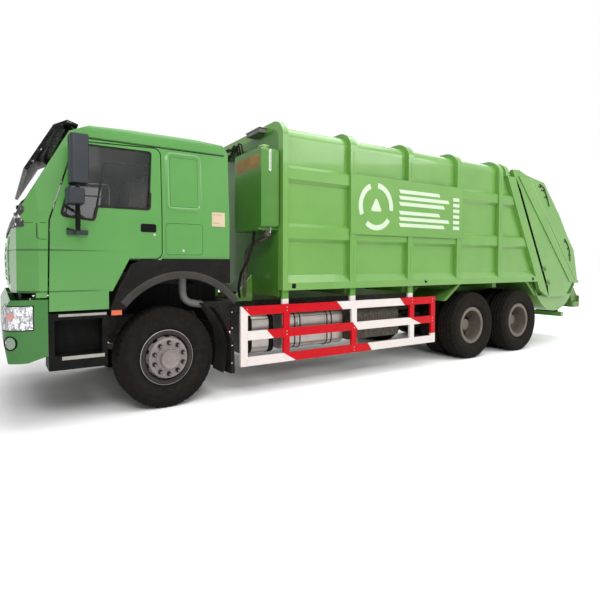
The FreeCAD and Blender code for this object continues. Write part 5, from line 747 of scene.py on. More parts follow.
wheelSet = {"twinSide": 0.915, "frontSide": 1.011, "apart": 0.165}
# painted shade for the front rims' barrel, drum and nuts, and a painted highlight for the rims'
# outer lip
rimPaintedShade = coating("rimPaintedShade", (0.018, 0.015, 0.013), (0.03, 0.025, 0.02), 0.6, 90, 0.0008, 0.1,
                    Specular_IOR_Level=0.2)
rimPaintedHighlight = coating("rimPaintedHighlight", (0.3, 0.28, 0.27), (0.22, 0.2, 0.19), 0.35, 120, 0.0004, 0.1)


def nutRing(form, reach, length):
    (washer, thick), (end, tip) = hubSet["washer"], hubSet["studEnd"]
    circle, way = hubSet["nutCircle"], Vector((0, 1, 0))
    # washers and nuts take finish 2: on the front wheels, painted shade round each nut
    for index in range(hubSet["nuts"]):
        angle = 2 * math.pi * (index + 0.5) / hubSet["nuts"]
        spot = Vector((circle * math.cos(angle), reach, circle * math.sin(angle)))
        form.stud(spot, way, washer, thick, 2, 16)
        form.stud(spot + way * thick, way, hubSet["nut"], length, 2, 6)
        form.stud(spot + way * (thick + length), way, end, tip, 1, 10)


def twinMetal(form):
    apart = wheelSet["apart"]
    rimForm(form, apart, -1)
    rimForm(form, -apart, 1)
    nutRing(form, *hubSet["twinNuts"])
    form.lathe(hubSet["rearCap"], (0, 0, 0), steps=40)
    for index in range(hubSet["bolts"]):
        angle = 2 * math.pi * index / hubSet["bolts"]
        form.stud((hubSet["boltCircle"] * math.cos(angle), hubSet["boltReach"],
                   hubSet["boltCircle"] * math.sin(angle)), (0, 1, 0), *hubSet["bolt"], 1)
    form.lathe([(radius, side - apart) for radius, side in hubSet["drum"]], (0, 0, 0),
               steps=40, finish=2)
    form.tube(hubSet["twinValve"], 0.004, 6, 1)


def frontMetal(form):
    rimForm(form, 0, 1)
    nutRing(form, *hubSet["frontNuts"])
    form.lathe(hubSet["frontCap"], (0, 0, 0), steps=48)
    form.lathe(hubSet["drum"], (0, 0, 0), steps=40, finish=2)
    form.tube(hubSet["frontValve"], 0.004, 6, 1)


def wheelPiece(node, body, twin, leftHand):
    low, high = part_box(node)
    side = wheelSet["twinSide"] if twin else wheelSet["frontSide"]
    centre = Vector(((low.x + high.x) / 2, math.copysign(side, low.y + high.y),
                     (low.z + high.z) / 2))
    turned = Matrix.Translation(centre) @ Matrix.Rotation(0 if leftHand else math.pi, 4, "Z")
    tyres, metal = Form(), Form()
    for middle in ((wheelSet["apart"], -wheelSet["apart"]) if twin else (0,)):
        tyreForm(tyres, middle)
    (twinMetal if twin else frontMetal)(metal)
    tyrePiece = tyres.made(node + "_tyres", body, "wheel", tyreBlack, at=turned, tidy=False,
                           sharp=28)
    shade = rimDusty if twin else rimPaint
    # finish 2 is painted shade on the front wheels, finish 3 a painted highlight on every rim's
    # outer lip
    shades = [shade, shade, shade if twin else rimPaintedShade, rimPaintedHighlight]
    rimPiece = metal.made(node + "_rims", body, "wheel", shades, at=turned, sharp=32)
    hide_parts(node)
    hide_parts(node)


for hand in ("left", "right"):
    wheelPiece("front_wheel_" + hand, hand + "_front_wheel", False, hand == "left")
    for row in ("middle", "rear"):
        wheelPiece(f"{row}_wheels_{hand}", f"{hand}_{row}_wheels", True, hand == "left")
print("wheels made")


# Forms laid on the solids: rays from outside find the surface
class Skin:
    def __init__(self, *names):
        points, faces = [], []
        for name in names:
            item, start = cad[name], len(points)
            points += [item.matrix_world @ vertex.co for vertex in item.data.vertices]
            faces += [[start + index for index in face.vertices] for face in item.data.polygons]
        self.tree = BVHTree.FromPolygons(points, faces)

    def hit(self, start, way, out):
        # rays a little to each side as well: one that falls into a seam meets something further in
        start, way, best = Vector(start), Vector(way).normalized(), None
        for shift in ((0, 0, 0), (0.002, 0, 0), (-0.002, 0, 0), (0, 0, 0.003), (0, 0, -0.009)):
            place, normal, index, reach = self.tree.ray_cast(start + Vector(shift), way)
            if place is not None and (best is None or reach < best[2] - 0.02):
                best = (place - Vector(shift), normal, reach)
        if best is None:
            print("no surface met from", [round(part, 3) for part in start])
            return None
        place, normal, reach = best
        place += (normal if normal.dot(way) < 0 else -normal) * out
        place.x = min(place.x, cadHigh.x)
        return place

    def front(self, side, height, out):  # the surface met from ahead
        return self.hit((cadHigh.x + 1, side, height), (-1, 0, 0), out)

    def round(self, place, height, out, centre):
        # place is 0 to 1 from the middle of the front, to 2 round the corner, more along the side
        x, y = centre
        if place <= 1:
            return self.front(y * place, height, out)
        if place <= 2:
            angle = math.radians(90 * (place - 1))
            way = Vector((math.cos(angle), math.sin(angle), 0))
            return self.hit(Vector((x, y, height)) + way * 2, -way, out)
        return self.hit((x - (place - 2), 3, height), (0, -1, 0), out)


def laid(form, skin, places, heights, centre, out=0, spread=None):
    # a sheet over the solid between rows of heights; spread may say how far it stands off
    form.grid([[skin.round(place, height, spread(place, height) if spread else out, centre)
                for place in places] for height in heights])


# Forms laid on a side: the surface is met from the side, and the piece follows it
class Side(Skin):
    def __init__(self, rest, *names):
        super().__init__(*names)
        self.rest = rest  # where nothing is met

    def place(self, x, z, out):
        found = self.hit((x, 3.0, z), (0, -1, 0), 0)
        return (x, (found.y if found else self.rest) + out, z)

    def plate(self, form, loop, out, depth=0.003, finish=0):
        # a thin plate with the loop's outline, standing out from the surface
        form.solid([self.place(x, z, reach) for reach in (-depth, out) for x, z in loop], finish)

    def frame(self, form, loop, wide, out, round=0.4):
        # a raised line along a loop, with sloping edges
        rows = [[self.place(x, z, reach) for x, z in grown(loop, amount)]
                for amount, reach in ((wide, -0.002), (wide * round, out), (-wide * round, out),
                                      (-wide, -0.002))]
        form.grid(rows, 0, False, True)

    def line(self, form, start, end, wide, out, finish=0, count=8):
        # a straight raised line between two places on the side
        start, end = Vector(start), Vector(end)
        across = (end - start).orthogonal().normalized() * wide
        rows = []
        for step in range(count + 1):
            spot = start.lerp(end, step / count)
            rows.append([self.place(*(spot + across * share), reach)
                         for share, reach in ((1, -0.002), (0.6, out), (-0.6, out), (-1, -0.002))])
        form.grid(rows, finish)
        for row in (rows[0], rows[-1]):
            form.faces(row, [(0, 1, 2, 3)], finish)


def bar(behind, height, wide, tall, slant=0.0):
    return along([(behind, height), (behind + wide, height), (behind + wide + slant, height + tall),
                  (behind + slant, height + tall)])


def hoop(form, skin, x, half, out, centre, finish, count):
    # a raised ring round a tank, met by rays towards its centre line
    y, z = centre
    rows = []
    for step in range(count):
        angle = 2 * math.pi * step / count
        way = Vector((0, -math.cos(angle), -math.sin(angle)))
        row = []
        for place, reach in ((x - half, -0.002), (x - half, out), (x + half, out),
                             (x + half, -0.002)):
            row.append(skin.hit(Vector((place, y, z)) - way * 1.2, way, reach))
        rows.append(row)
    form.grid(rows, finish, True)


# Cab side: how far it leans in, and forms that follow it
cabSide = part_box("door_left")[1].y
leanSet = {"foot": 2.02, "top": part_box("cab_roof")[0].z, "in": 0.055}


def lean(height):
    share = (height - leanSet["foot"]) / (leanSet["top"] - leanSet["foot"])
    return -leanSet["in"] * max(0.0, share)


def onDoors(name, slot, finishes, build, bevel=0.0):
    # the same build on each door, the right one turned over, because each door swings by itself
    for hand in ("left", "right"):
        form = Form()
        build(form)
        if hand == "right":
            form.flip(form.mesh.verts, form.mesh.faces)
        form.made(f"{name}_{hand}", hand + "_door", slot, finishes, bevel)


# Doors: window seal with its division bar, handle in its dish, and the lock
doorSet = {
    "window": [(-0.184, 2.7), (-0.219, 2.103), (-0.74, 2.103), (-0.77, 1.967), (-1.068, 1.999),
               (-0.872, 2.7)],
    "corner": 0.035, "sealOut": 0.013, "sealIn": 0.011, "sealBack": 0.05, "sealFace": 0.004,
    "bar": 0.011, "barBack": 0.046, "barLean": 0.55, "barTurn": 0.012,
    "barFoot": (-0.757, 1.985), "barHead": (-0.667, 2.50),
    "barLevel": [(-0.62, 2.555), (-0.2, 2.555)],
    "handle": (-0.156, -0.313, 1.872, 1.951), "dish": 0.016, "dishEdge": (0.003, -0.007),
    "dishFace": 0.0025, "grip": 0.01, "gripIn": (0.012, 0.03, 0.026, 0.012), "gripFace": 0.0018,
    "lock": (-0.17, 1.845),
    "lockShape": [(0.0005, 0.0022), (0.009, 0.0022), (0.0115, 0.0012), (0.0115, -0.001)]}
window = roundedLoop(along(doorSet["window"]), doorSet["corner"])


def doorSeal(form):
    form.ring(grown(window, doorSet["sealOut"]), grown(window, -doorSet["sealIn"]),
              cabSide - doorSet["sealBack"], cabSide + doorSet["sealFace"], 0, lean)
    head, (turnOut, level) = doorSet["barHead"], doorSet["barLevel"][0]
    turn = bend(head, (head[0] + doorSet["barTurn"], level), (turnOut, level), 6)
    path = along([doorSet["barFoot"]] + [tuple(spot) for spot in turn] + [doorSet["barLevel"][1]])
    form.tube([(x, cabSide - doorSet["barBack"] + doorSet["barLean"] * lean(z), z)
               for x, z in path],
              doorSet["bar"], 8)


def doorHandle(form):
    front, rear, foot, top = doorSet["handle"]
    dish = roundedBox(front, rear, foot, top, doorSet["dish"])
    outer, inner = doorSet["dishEdge"]
    form.ring(grown(dish, outer), grown(dish, inner), cabSide - 0.002,
              cabSide + doorSet["dishFace"])
    form.prism(grown(dish, inner + 0.001), cabSide - 0.001, cabSide + 0.0006)
    inFront, inRear, inFoot, inTop = doorSet["gripIn"]
    form.prism(roundedBox(front - inFront, rear + inRear, foot + inFoot, top - inTop,
                          doorSet["grip"]),
               cabSide, cabSide + doorSet["gripFace"])


def doorLock(form):
    behind, height = doorSet["lock"]
    form.lathe(doorSet["lockShape"], (at(behind), cabSide, height), "y", 20)


onDoors("door_seals", "black_plastic", rubber, doorSeal, 0.002)
onDoors("door_handles", "black_plastic", stepBlack, doorHandle, 0.0008)
onDoors("door_locks", "black_plastic", brightSteel, doorLock)
print("doors trimmed")

# Cab side behind the doors: stamped blind panel, locker hatch with its lock, gutter, pale label
cabSkin = Side(cabSide, "cab_shell", "cab_roof", "door_left")
sideSet = {
    "blind": (-0.023, 0.35, 2.12, 2.70), "blindCorner": 0.055, "stamp": (0.026, 0.011),
    "hatch": (-0.048, 0.372, 1.643, 1.971), "hatchCorner": 0.035, "groove": (0.0032, 0.0008),
    "blindGroove": (0.002, 0.0006), "blindIn": 0.03,
    "roofSeam": [(-0.97, 2.751), (0.65, 2.751)], "seamSize": (0.006, 0.003),
    "seams": [[(-1.276, 1.918), (-1.276, 1.79)], [(-1.276, 1.79), (-1.255, 1.772)],
              [(-1.255, 1.772), (-1.19, 1.772)], [(-1.37, 1.922), (-1.19, 1.922)]],
    "seamLine": (0.003, 0.0009), "gutter": [(-0.985, 2.767), (0.652, 2.767)],
    "gutterSize": (0.007, 0.012), "lock": (0.148, 1.685), "keyhole": (0.1465, 0.1495, 1.677, 1.693),
    "lockShape": [(0.0005, 0.004), (0.011, 0.004), (0.013, 0.0025), (0.013, -0.001)],
    "label": (0.482, 0.642, 1.958, 2.115), "labelFace": 0.005, "labelDepth": 0.006,
    "rowStart": 0.494, "rowTall": 0.004, "rows": [(0.03, 0.61), (0.12, 0.574)]}
stamped, grooves, locks, gutters, labels = Form(), Form(), Form(), Form(), Form()
blind = roundedBox(*sideSet["blind"], sideSet["blindCorner"])
cabSkin.frame(stamped, blind, *sideSet["stamp"], round=0.25)
stamped.mirrored().made("cab_stampings", "cab", "cab_paint", cabPaint, sharp=70)
cabSkin.frame(grooves, roundedBox(*sideSet["hatch"], sideSet["hatchCorner"]), *sideSet["groove"])
cabSkin.frame(grooves, grown(blind, -sideSet["blindIn"]), *sideSet["blindGroove"])
cabSkin.line(grooves, *along(sideSet["roofSeam"]), *sideSet["seamSize"], count=20)
for seam in sideSet["seams"]:
    cabSkin.line(grooves, *along(seam), *sideSet["seamLine"], count=3)
grooves.mirrored().made("cab_grooves", "cab", "cab_paint", rubber)
behind, height = sideSet["lock"]
locks.lathe(sideSet["lockShape"], (at(behind), cabSide, height), "y", 24)
locks.prism(roundedBox(*sideSet["keyhole"], 0.0012, 2), cabSide + 0.003, cabSide + 0.0045)
locks.mirrored().made("locker_locks", "cab", "cab_paint", brightSteel)
cabSkin.line(gutters, *along(sideSet["gutter"]), *sideSet["gutterSize"], count=24)
gutters.mirrored().made("drip_rails", "cab", "cab_paint", cabPaint, sharp=60)
cabSkin.plate(labels, roundedBox(*sideSet["label"], 0.006), sideSet["labelFace"],
              sideSet["labelDepth"])
for drop, end in sideSet["rows"]:
    foot, start = sideSet["label"][3] - drop, sideSet["rowStart"]
    top = foot + sideSet["rowTall"]
    cabSkin.plate(labels, along([(start, foot), (end, foot), (end, top), (start, top)]),
                  sideSet["labelFace"] + 0.0005, 0.001, 1)
labels.mirrored().made("cab_labels", "cab", "cab_paint", [paleLabel, amberLabel])
print("cab sides dressed")

# Wheel arches: rolled lip round the opening, and the side markers in front of them
archSet = {
    "centre": (0.13, 0.61), "radius": 0.78, "angles": (38.2, 139.6), "parts": 56, "top": 1.584,
    "lip": [(0.0, -0.03), (0.0, -0.004), (0.004, 0.0015), (0.012, 0.003), (0.05, 0.0022),
            (0.078, 0.0008), (0.084, -0.003)],
    "marker": [((-0.621, -0.508, 1.036, 1.097), (1.226, 1.2365), 1),
               ((-0.616, -0.513, 1.041, 1.092), (1.236, 1.2445), 0),
               ((-0.60, -0.53, 1.09, 1.13), (1.20, 1.23), 1)], "corners": (0.008, 0.006, 0.006)}
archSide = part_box("cab_arches")[1].y
lip, rows = Form(), []
behind, level = archSet["centre"]
for angle in steps(*archSet["angles"], archSet["parts"] + 1):
    angle, row = math.radians(angle), []
    for out, side in archSet["lip"]:
        reach = archSet["radius"] + out
        row.append((at(behind) - reach * math.cos(angle), archSide + side,
                    min(level + reach * math.sin(angle), archSet["top"])))
    rows.append(row)
lip.grid(rows)
lip.mirrored().made("arch_lips", "cab", "black_plastic", archLip, sharp=50)
markers = Form()
for (box, (low, high), finish), corner in zip(archSet["marker"], archSet["corners"]):
    markers.prism(roundedBox(*box, corner), low, high, finish)
markers.mirrored().made("side_markers", "cab", "black_plastic", [lampAmber, archBlack], 0.002)
print("arches dressed")

# Steps: bright treads with ribs and toothed lips, and ribbed inner walls
stepSet = {
    "outer": 1.2315, "thick": 0.02, "edge": 0.004,
    "treads": [(1.056, -1.16, -0.68, 1.12), (0.632, -1.14, -0.72, 1.09)],
    "ribs": 5, "ribIn": 0.012, "ribWide": 0.006, "ribTall": 0.0045,
    "ribTeeth": 22, "ribTooth": 0.013,
    "lips": [(1.05, 1.074, -1.10, -0.66), (0.642, 0.676, -1.07, -0.68)], "lipTeeth": 14,
    "lipTooth": 0.02, "end": 0.01,
    "wallRibs": [(-1.12 + 0.047 * rib, 0.012, 0.70, 1.03, 1.001) for rib in range(9)],
    "wallRails": [(-1.13, 0.41, level, level + 0.008, 0.998) for level in (0.80, 0.90, 1.0)]}
treads, outer = Form(), stepSet["outer"]
for level, front, rear, inner in stepSet["treads"]:
    top, edge = level + stepSet["thick"], outer - stepSet["edge"]
    treads.block((at(rear), inner, level), (at(front), edge, top))
    for side in steps(inner + stepSet["ribIn"], outer - 0.018, stepSet["ribs"]):
        for tooth in range(stepSet["ribTeeth"]):
            start = front + stepSet["end"] + tooth * (rear - front - 0.02) / stepSet["ribTeeth"]
            treads.block((at(start + stepSet["ribTooth"]), side, top),
                         (at(start), side + stepSet["ribWide"], top + stepSet["ribTall"]))
for low, high, front, rear in stepSet["lips"]:
    treads.block((at(rear), outer - 0.02, low), (at(front), outer + 0.003, high))
    for tooth in range(stepSet["lipTeeth"]):
        start = front + stepSet["end"] + tooth * (rear - front - 0.02) / stepSet["lipTeeth"]
        treads.block((at(start + stepSet["lipTooth"]), outer + 0.002, low + 0.005),
                     (at(start), outer + 0.0045, high - 0.005))
treads.mirrored().made("step_treads", "chassis", "black_plastic", treadMetal, 0.0015)
walls = Form()
for front, wide, foot, top, face in stepSet["wallRibs"] + stepSet["wallRails"]:
    walls.block((at(front + wide), 0.99, foot), (at(front), face, top))
walls.mirrored().made("step_ribs", "chassis", "black_plastic", stepBlack, 0.002)
print("steps dressed")


# Headlamps: bright bowls and an orange lens behind clear glass, round the bumper's corners
lampSet = {
    "centre": (5.085, 1.08), "foot": 0.95, "top": 1.163, "inner": 0.868 / 1.08, "rear": 2.075,
    "bowlOut": 0.0006, "glassOut": 0.0037, "rimOut": 0.0012, "rimWide": 0.011, "rimOver": 0.008,
    "bowls": [(1.08, 1.055, 0.072, 0), (1.55, 1.07, 0.038, 1), (1.62, 0.985, 0.03, 0),
              (0.86, 1.055, 0.07, 0), (1.98, 1.05, 0.032, 0)],
    "rings": [(1.0, 0.0012), (0.86, 0.0026), (0.55, 0.0032)], "parts": 20,
    "cornerScale": 0.27, "flatScale": 1.08, "sideFrom": 1.9, "sideEnd": 2.06}
bumperSkin = Skin("bumper")


def reflectorFinish():
    made = Finish("lampReflector", (0.72, 0.7, 0.74), 0.18, 1.0)
    facets = made.cells(26, stretch=(1, 1, 1.6))
    streaks = made.cloud(38, 3, (1, 1, 0.4))
    tint = made.mixed(streaks.ramp(0.42, 0.6), (0.2, 0.19, 0.22), (0.8, 0.78, 0.82))
    made.feed("Base Color", tint)
    made.feed("Roughness", 0.12 + 0.2 * streaks)
    made.feed("Normal", made.bump(facets, 0.02, 1.0))
    return made.material


def lampBowl(form, place, height, radius, orange):
    # flat rings on the bumper, each smaller and further out than the last
    scale = lampSet["cornerScale"] if 1 < place < 2 else lampSet["flatScale"]
    for share, lift in lampSet["rings"]:
        rim, reach = [], radius * share
        for step in range(lampSet["parts"]):
            angle = 2 * math.pi * step / lampSet["parts"]
            spot = place + reach * math.cos(angle) / scale
            if place >= lampSet["sideFrom"]:
                spot = min(spot, lampSet["sideEnd"])
            level = height + reach * math.sin(angle)
            rim.append(bumperSkin.round(spot, level, lift, lampSet["centre"]))
        finish = 1 if orange else (2 if share < 0.6 else 0)
        form.faces(rim, [tuple(range(lampSet["parts"]))], finish)


lampReflector = reflectorFinish()
lampInner, lampRear = lampSet["inner"], lampSet["rear"]
lampFoot, lampTop = lampSet["foot"], lampSet["top"]
lampPlaces = steps(lampInner, 1, 10)[:-1] + steps(1, 2, 15) + [lampRear]
lampLevels = steps(lampFoot, lampTop, 8)
bowls, lenses, lampRims = Form(), Form(), Form()
laid(bowls, bumperSkin, lampPlaces, lampLevels, lampSet["centre"], lampSet["bowlOut"])
for place, height, radius, orange in lampSet["bowls"]:
    lampBowl(bowls, place, height, radius, orange)
bowls.mirrored().made("headlamp_bowls", "chassis", "glass", [lampReflector, lampAmber, brightSteel],
                      sharp=60)
laid(lenses, bumperSkin, lampPlaces, lampLevels, lampSet["centre"], lampSet["glassOut"])
lenses.mirrored().made("headlamp_lenses", "chassis", "glass", lampGlass, sharp=60)
over, wide = lampSet["rimOver"], lampSet["rimWide"]
for low in (lampFoot - over, lampTop + over - wide):
    laid(lampRims, bumperSkin, lampPlaces, (low, low + wide), lampSet["centre"], lampSet["rimOut"])
for low in (lampInner - over, lampRear + over - wide):
    laid(lampRims, bumperSkin, (low, low + wide), steps(lampFoot - over, lampTop + over, 6),
         lampSet["centre"], lampSet["rimOut"])
lampRims.mirrored().made("headlamp_rims", "chassis", "cab_paint", stepBlack, sharp=60)

# Fog lamps: a round bowl with clear glass low in each corner
fogSet = {
    "place": 1.55, "height": 0.835, "out": 0.001,
    "rim": [(0.066, -0.012), (0.066, 0.001), (0.06, 0.0035), (0.0555, 0.0015), (0.052, -0.006)],
    "bowl": [(0.0535, -0.007), (0.04, -0.011), (0.02, -0.0125), (0.0005, -0.013)],
    "glass": [(0.054, 0.0005), (0.04, 0.0026), (0.02, 0.0036), (0.0005, 0.004)]}
for hand, sign in (("left", 1), ("right", -1)):
    spot = bumperSkin.round(fogSet["place"], fogSet["height"], fogSet["out"], lampSet["centre"])
    spot.y *= sign
    angle = math.radians(90 * (fogSet["place"] - 1))
    way = Vector((math.cos(angle), math.sin(angle) * sign, 0.0))
    turned = Matrix.Translation(spot) @ way.to_track_quat("Y", "Z").to_matrix().to_4x4()
    fogForm = Form()
    for finish, word in enumerate(("rim", "bowl", "glass")):
        fogForm.lathe(fogSet[word], (0, 0, 0), steps=36, finish=finish)
    fogForm.made("fog_lamp_" + hand, "chassis", "glass", [stepBlack, lampReflector, lampGlass],
                 at=turned, sharp=50)
print("lamps made")

# Vents between bumper and cab: dark closing plates, slats and the green ends over the bumper
ventSet = {
    "plates": [((5.085, 0.56, 1.12), (5.1, 1.09, 1.262)),
               ((5.085, 1.09, 1.12), (5.1, 1.232, 1.221))],
    "slats": (1.226, 1.238, 1.25), "slat": [(5.0, 0.62), (5.098, 1.09)], "thick": 0.004,
    "end": [(-1.288, 1.234), (-1.192, 1.234), (-1.192, 1.284), (-1.288, 1.284)],
    "endSide": (1.15, 1.2345)}
vents, ends = Form(), Form()
for low, high in ventSet["plates"]:
    vents.block(low, high)
for level in ventSet["slats"]:
    low, high = ventSet["slat"]
    vents.block((*low, level), (*high, level + ventSet["thick"]))
vents.mirrored().made("bumper_vents", "chassis", "cab_paint", stepBlack, 0.001)
ends.prism(along(ventSet["end"]), *ventSet["endSide"])
ends.mirrored().made("cab_corner_ends", "cab", "cab_paint", cabPaint, 0.003)

# Cab front: black grille panel with green bars and end strips
grilleSet = {
    "half": 0.78, "foot": 1.36, "top": 1.80, "out": 0.002, "bars": 5, "barTall": 0.034,
    "barOut": 0.014, "barsIn": (0.03, 0.06), "edge": 0.004, "ends": 0.012,
    "strip": [(-0.014, 0.001), (-0.01, 0.012), (0.01, 0.012), (0.014, 0.001)]}
frontSkin = Skin("cab_front", "cab_shell", "windscreen")
grille = Form()
half, foot, top = grilleSet["half"], grilleSet["foot"], grilleSet["top"]
sides, edge = steps(-half, half, 33), grilleSet["edge"]
bars = steps(foot + grilleSet["barsIn"][0], top - grilleSet["barsIn"][1], grilleSet["bars"])
for low, high, out, finish in [(foot, top, grilleSet["out"], 0)] + [
        (level, level + grilleSet["barTall"], grilleSet["barOut"], 1) for level in bars]:
    rows = [[frontSkin.front(side, height, reach) for side in sides]
            for height, reach in ((low, 0.001), (low + edge, out),
                                  (high - edge, out), (high, 0.001))]
    grille.grid(rows, finish)
for side in (-half, half):
    levels = steps(foot - grilleSet["ends"], top + grilleSet["ends"], 8)
    grille.grid([[frontSkin.front(side + shift, height, reach) for height in levels]
                 for shift, reach in grilleSet["strip"]], 1)
grille.made("front_grille", "cab", "cab_paint", [stepBlack, cabPaint], sharp=50)

# Cowl under the screen, wrapped in loose film
wrapSet = {
    "centre": (4.99, 1.04), "foot": 1.885, "top": 2.1, "rise": 0.009, "under": -0.004, "lift": 0.01,
    "folds": [(7.0, 16.0, 3.7), (17.0, 37.0, 9.1)], "fine": 0.6, "end": 1.6, "ripple": 0.12}


def crumple(place, height):
    broad, fine = (noise.noise(Vector((place * wide, height * tall, seed)))
                   for wide, tall, seed in wrapSet["folds"])
    fold = broad + wrapSet["fine"] * abs(fine)
    left = wrapSet["end"] - place + wrapSet["ripple"] * math.sin(height * 50)
    fade = min(1.0, max(0.0, left * 9))  # the film lies down towards its end
    return wrapSet["under"] + (wrapSet["lift"] + wrapSet["rise"] * (0.5 + 0.5 * fold)) * fade


wrap = Form()
laid(wrap, frontSkin, steps(0.02, 1, 90)[:-1] + steps(1, 1.62, 24),
     steps(wrapSet["foot"], wrapSet["top"], 22), wrapSet["centre"], spread=crumple)
wrap.mirrored().made("cowl_wrap", "cab", "black_plastic", wrapPale, sharp=70)

# Windscreen seal and wipers
screenSet = {
    "half": 1.125, "narrows": 0.085, "foot": 2.10, "top": 2.745,
    "seal": [(-0.018, 0.0008), (-0.014, 0.005), (0.012, 0.005), (0.017, 0.0008)],
    "wipers": [(0.82, 0.52, 0.42), (0.12, -0.16, 0.42), (-0.55, -0.84, 0.36)],
    "pivot": (2.085, 0.02), "head": (2.22, 0.022), "arm": 0.0085, "kink": (0.008, 0, 0.006),
    "blade": 0.007, "bladeOut": 0.013, "bladeRise": (2.2, 0.045),
    "nut": [(0.0005, 0.03), (0.018, 0.028), (0.022, 0.018), (0.022, -0.02)], "nutBack": 0.012}
seal, wipers = Form(), Form()
screenLoop = [(share, 0) for share in steps(-1, 1, 25)] \
    + [(1, rise) for rise in steps(0, 1, 13)[1:]] \
    + [(share, 1) for share in steps(1, -1, 25)[1:]] \
    + [(-1, rise) for rise in steps(1, 0, 13)[1:-1]]
rows = []
for inset, out in screenSet["seal"]:
    tall = screenSet["top"] - screenSet["foot"] - 2 * inset
    rows.append([frontSkin.front(
        (screenSet["half"] - screenSet["narrows"] * rise - inset) * share,
        screenSet["foot"] + inset + tall * rise, out) for share, rise in screenLoop])
seal.grid(rows, 0, False, True)
seal.made("screen_seal", "cab", "black_plastic", rubber, sharp=50)
for foot, tip, length in screenSet["wipers"]:
    pivot = frontSkin.front(foot, *screenSet["pivot"])
    head = frontSkin.front(tip, *screenSet["head"])
    wipers.tube([pivot, pivot.lerp(head, 0.5) + Vector(screenSet["kink"]), head],
                screenSet["arm"], 8)
    level, rise = screenSet["bladeRise"]
    wipers.tube([frontSkin.front(tip + length * share, level + rise * (share + 0.5),
                                 screenSet["bladeOut"]) for share in steps(-0.5, 0.5, 7)],
                screenSet["blade"], 6)
    wipers.lathe(screenSet["nut"], (pivot.x - screenSet["nutBack"], pivot.y, pivot.z), "x", 16)
wipers.made("wipers", "cab", "black_plastic", stepBlack)
print("cab front dressed")


# Mirrors: glass set in dark frames on the rear faces, sleeved stalks and foot brackets
mirrorSet = {
    "glasses": [(-0.868, 2.27, 2.70), (-0.905, 2.085, 2.222)], "sides": (1.318, 1.51),
    "corner": 0.02, "frame": [(0.006, 0.0), (0.006, -0.004), (0.014, -0.004), (0.016, -0.001)],
    "stalk": (-0.945, 1.395), "stalkLevels": (1.85, 1.98, 2.1), "stalkWide": 0.0215,
    "sleeves": (1.9, 1.93, 1.96, 1.99, 2.02), "sleeveWide": 0.025, "sleeveHalf": 0.008,
    "foot": [(-1.02, 1.822), (-0.832, 1.822), (-0.832, 1.838), (-0.86, 1.845), (-1.02, 1.882)],
    "footSides": (1.236, 1.262), "bolts": (-0.99, -0.93, -0.87), "boltLevel": 1.84}


def mirrorGlassForm(form):
    near, far = mirrorSet["sides"]
    for behind, foot, top in mirrorSet["glasses"]:
        rows = [[(at(behind) + out, y, z) for y, z in roundedRect(
            near + inset, far - inset, foot + inset, top - inset, mirrorSet["corner"], 4)]
                for inset, out in mirrorSet["frame"]]
        form.grid(rows, 1, False, True)
        form.faces(rows[-1], [tuple(range(len(rows[-1])))], 0)


def mirrorFittings(form):
    behind, side = mirrorSet["stalk"]
    form.tube([(at(behind), side, level) for level in mirrorSet["stalkLevels"]],
              mirrorSet["stalkWide"], 12)
    half = mirrorSet["sleeveHalf"]
    for level in mirrorSet["sleeves"]:
        form.tube([(at(behind), side, level - half), (at(behind), side, level + half)],
                  mirrorSet["sleeveWide"], 12)
    form.prism(along(mirrorSet["foot"]), *mirrorSet["footSides"])
    for behind in mirrorSet["bolts"]:
        form.stud((at(behind), mirrorSet["footSides"][1], mirrorSet["boltLevel"]), (0, 1, 0), 0.007,
                  0.005, 1)


onDoors("mirror_glasses", "mirror_plastic", [mirrorGlass, stepBlack], mirrorGlassForm)
onDoors("mirror_fittings", "mirror_plastic", [stepBlack, brightSteel], mirrorFittings)
print("mirrors dressed")

# Cab interior: seat covers, dash cowl with its gauges, gear lever
seatSet = {
    "sides": (0.56, -0.56), "half": 0.256, "cushion": (-0.635, -0.16, 1.80, 1.94), "corner": 0.045,
    "back": [(-0.27, 1.92), (-0.115, 1.92), (-0.005, 2.50), (-0.015, 2.53), (-0.12, 2.53),
             (-0.14, 2.50)],
    "head": [(-0.14, 2.55), (-0.03, 2.55), (-0.01, 2.70), (-0.10, 2.70)], "headHalf": 0.13}
seats = Form()
for side in seatSet["sides"]:
    for outline, half in ((roundedBox(*seatSet["cushion"], seatSet["corner"]), seatSet["half"]),
                          (along(seatSet["back"]), seatSet["half"]),
                          (along(seatSet["head"]), seatSet["headHalf"])):
        seats.prism(outline, side - half, side + half)
seats.made("seat_covers", "cab", "interior_trim", seatCloth, 0.018)
dashSet = {
    "cowl": [(-1.21, 2.012), (-1.05, 2.012), (-1.04, 2.06), (-1.2, 2.085)],
    "cowlSides": (0.34, 0.78),
    "gauges": (0.46, 0.56, 0.66), "gaugePlace": (-1.043, 2.035),
    "gauge": [(0.0005, 0.003), (0.03, 0.003), (0.036, 0.006), (0.04, 0)],
    "panel": (-1.021, -1.018, 1.80, 1.98), "panelSides": (-0.2, 0.25),
    "lever": [(-0.86, 0.1, 1.56), (-0.83, 0.12, 1.78), (-0.80, 0.14, 1.92)], "leverWide": 0.012,
    "knobPlace": (-0.80, 0.14, 1.93),
    "knob": [(0.0005, 0.032), (0.018, 0.028), (0.026, 0.012), (0.024, -0.008), (0.012, -0.022)]}
dash, lever = Form(), Form()
dash.prism(along(dashSet["cowl"]), *dashSet["cowlSides"])
behind, height = dashSet["gaugePlace"]
for side in dashSet["gauges"]:
    dash.lathe(dashSet["gauge"], (at(behind), side, height), "x", 20, 1)
dash.prism(roundedBox(*dashSet["panel"], 0.0012, 2), *dashSet["panelSides"])
dash.made("dash_cowl", "cab", "interior_trim", [stepBlack, plainWhite], 0.006)
lever.tube([(at(behind), side, height) for behind, side, height in dashSet["lever"]],
           dashSet["leverWide"], 8)
behind, side, height = dashSet["knobPlace"]
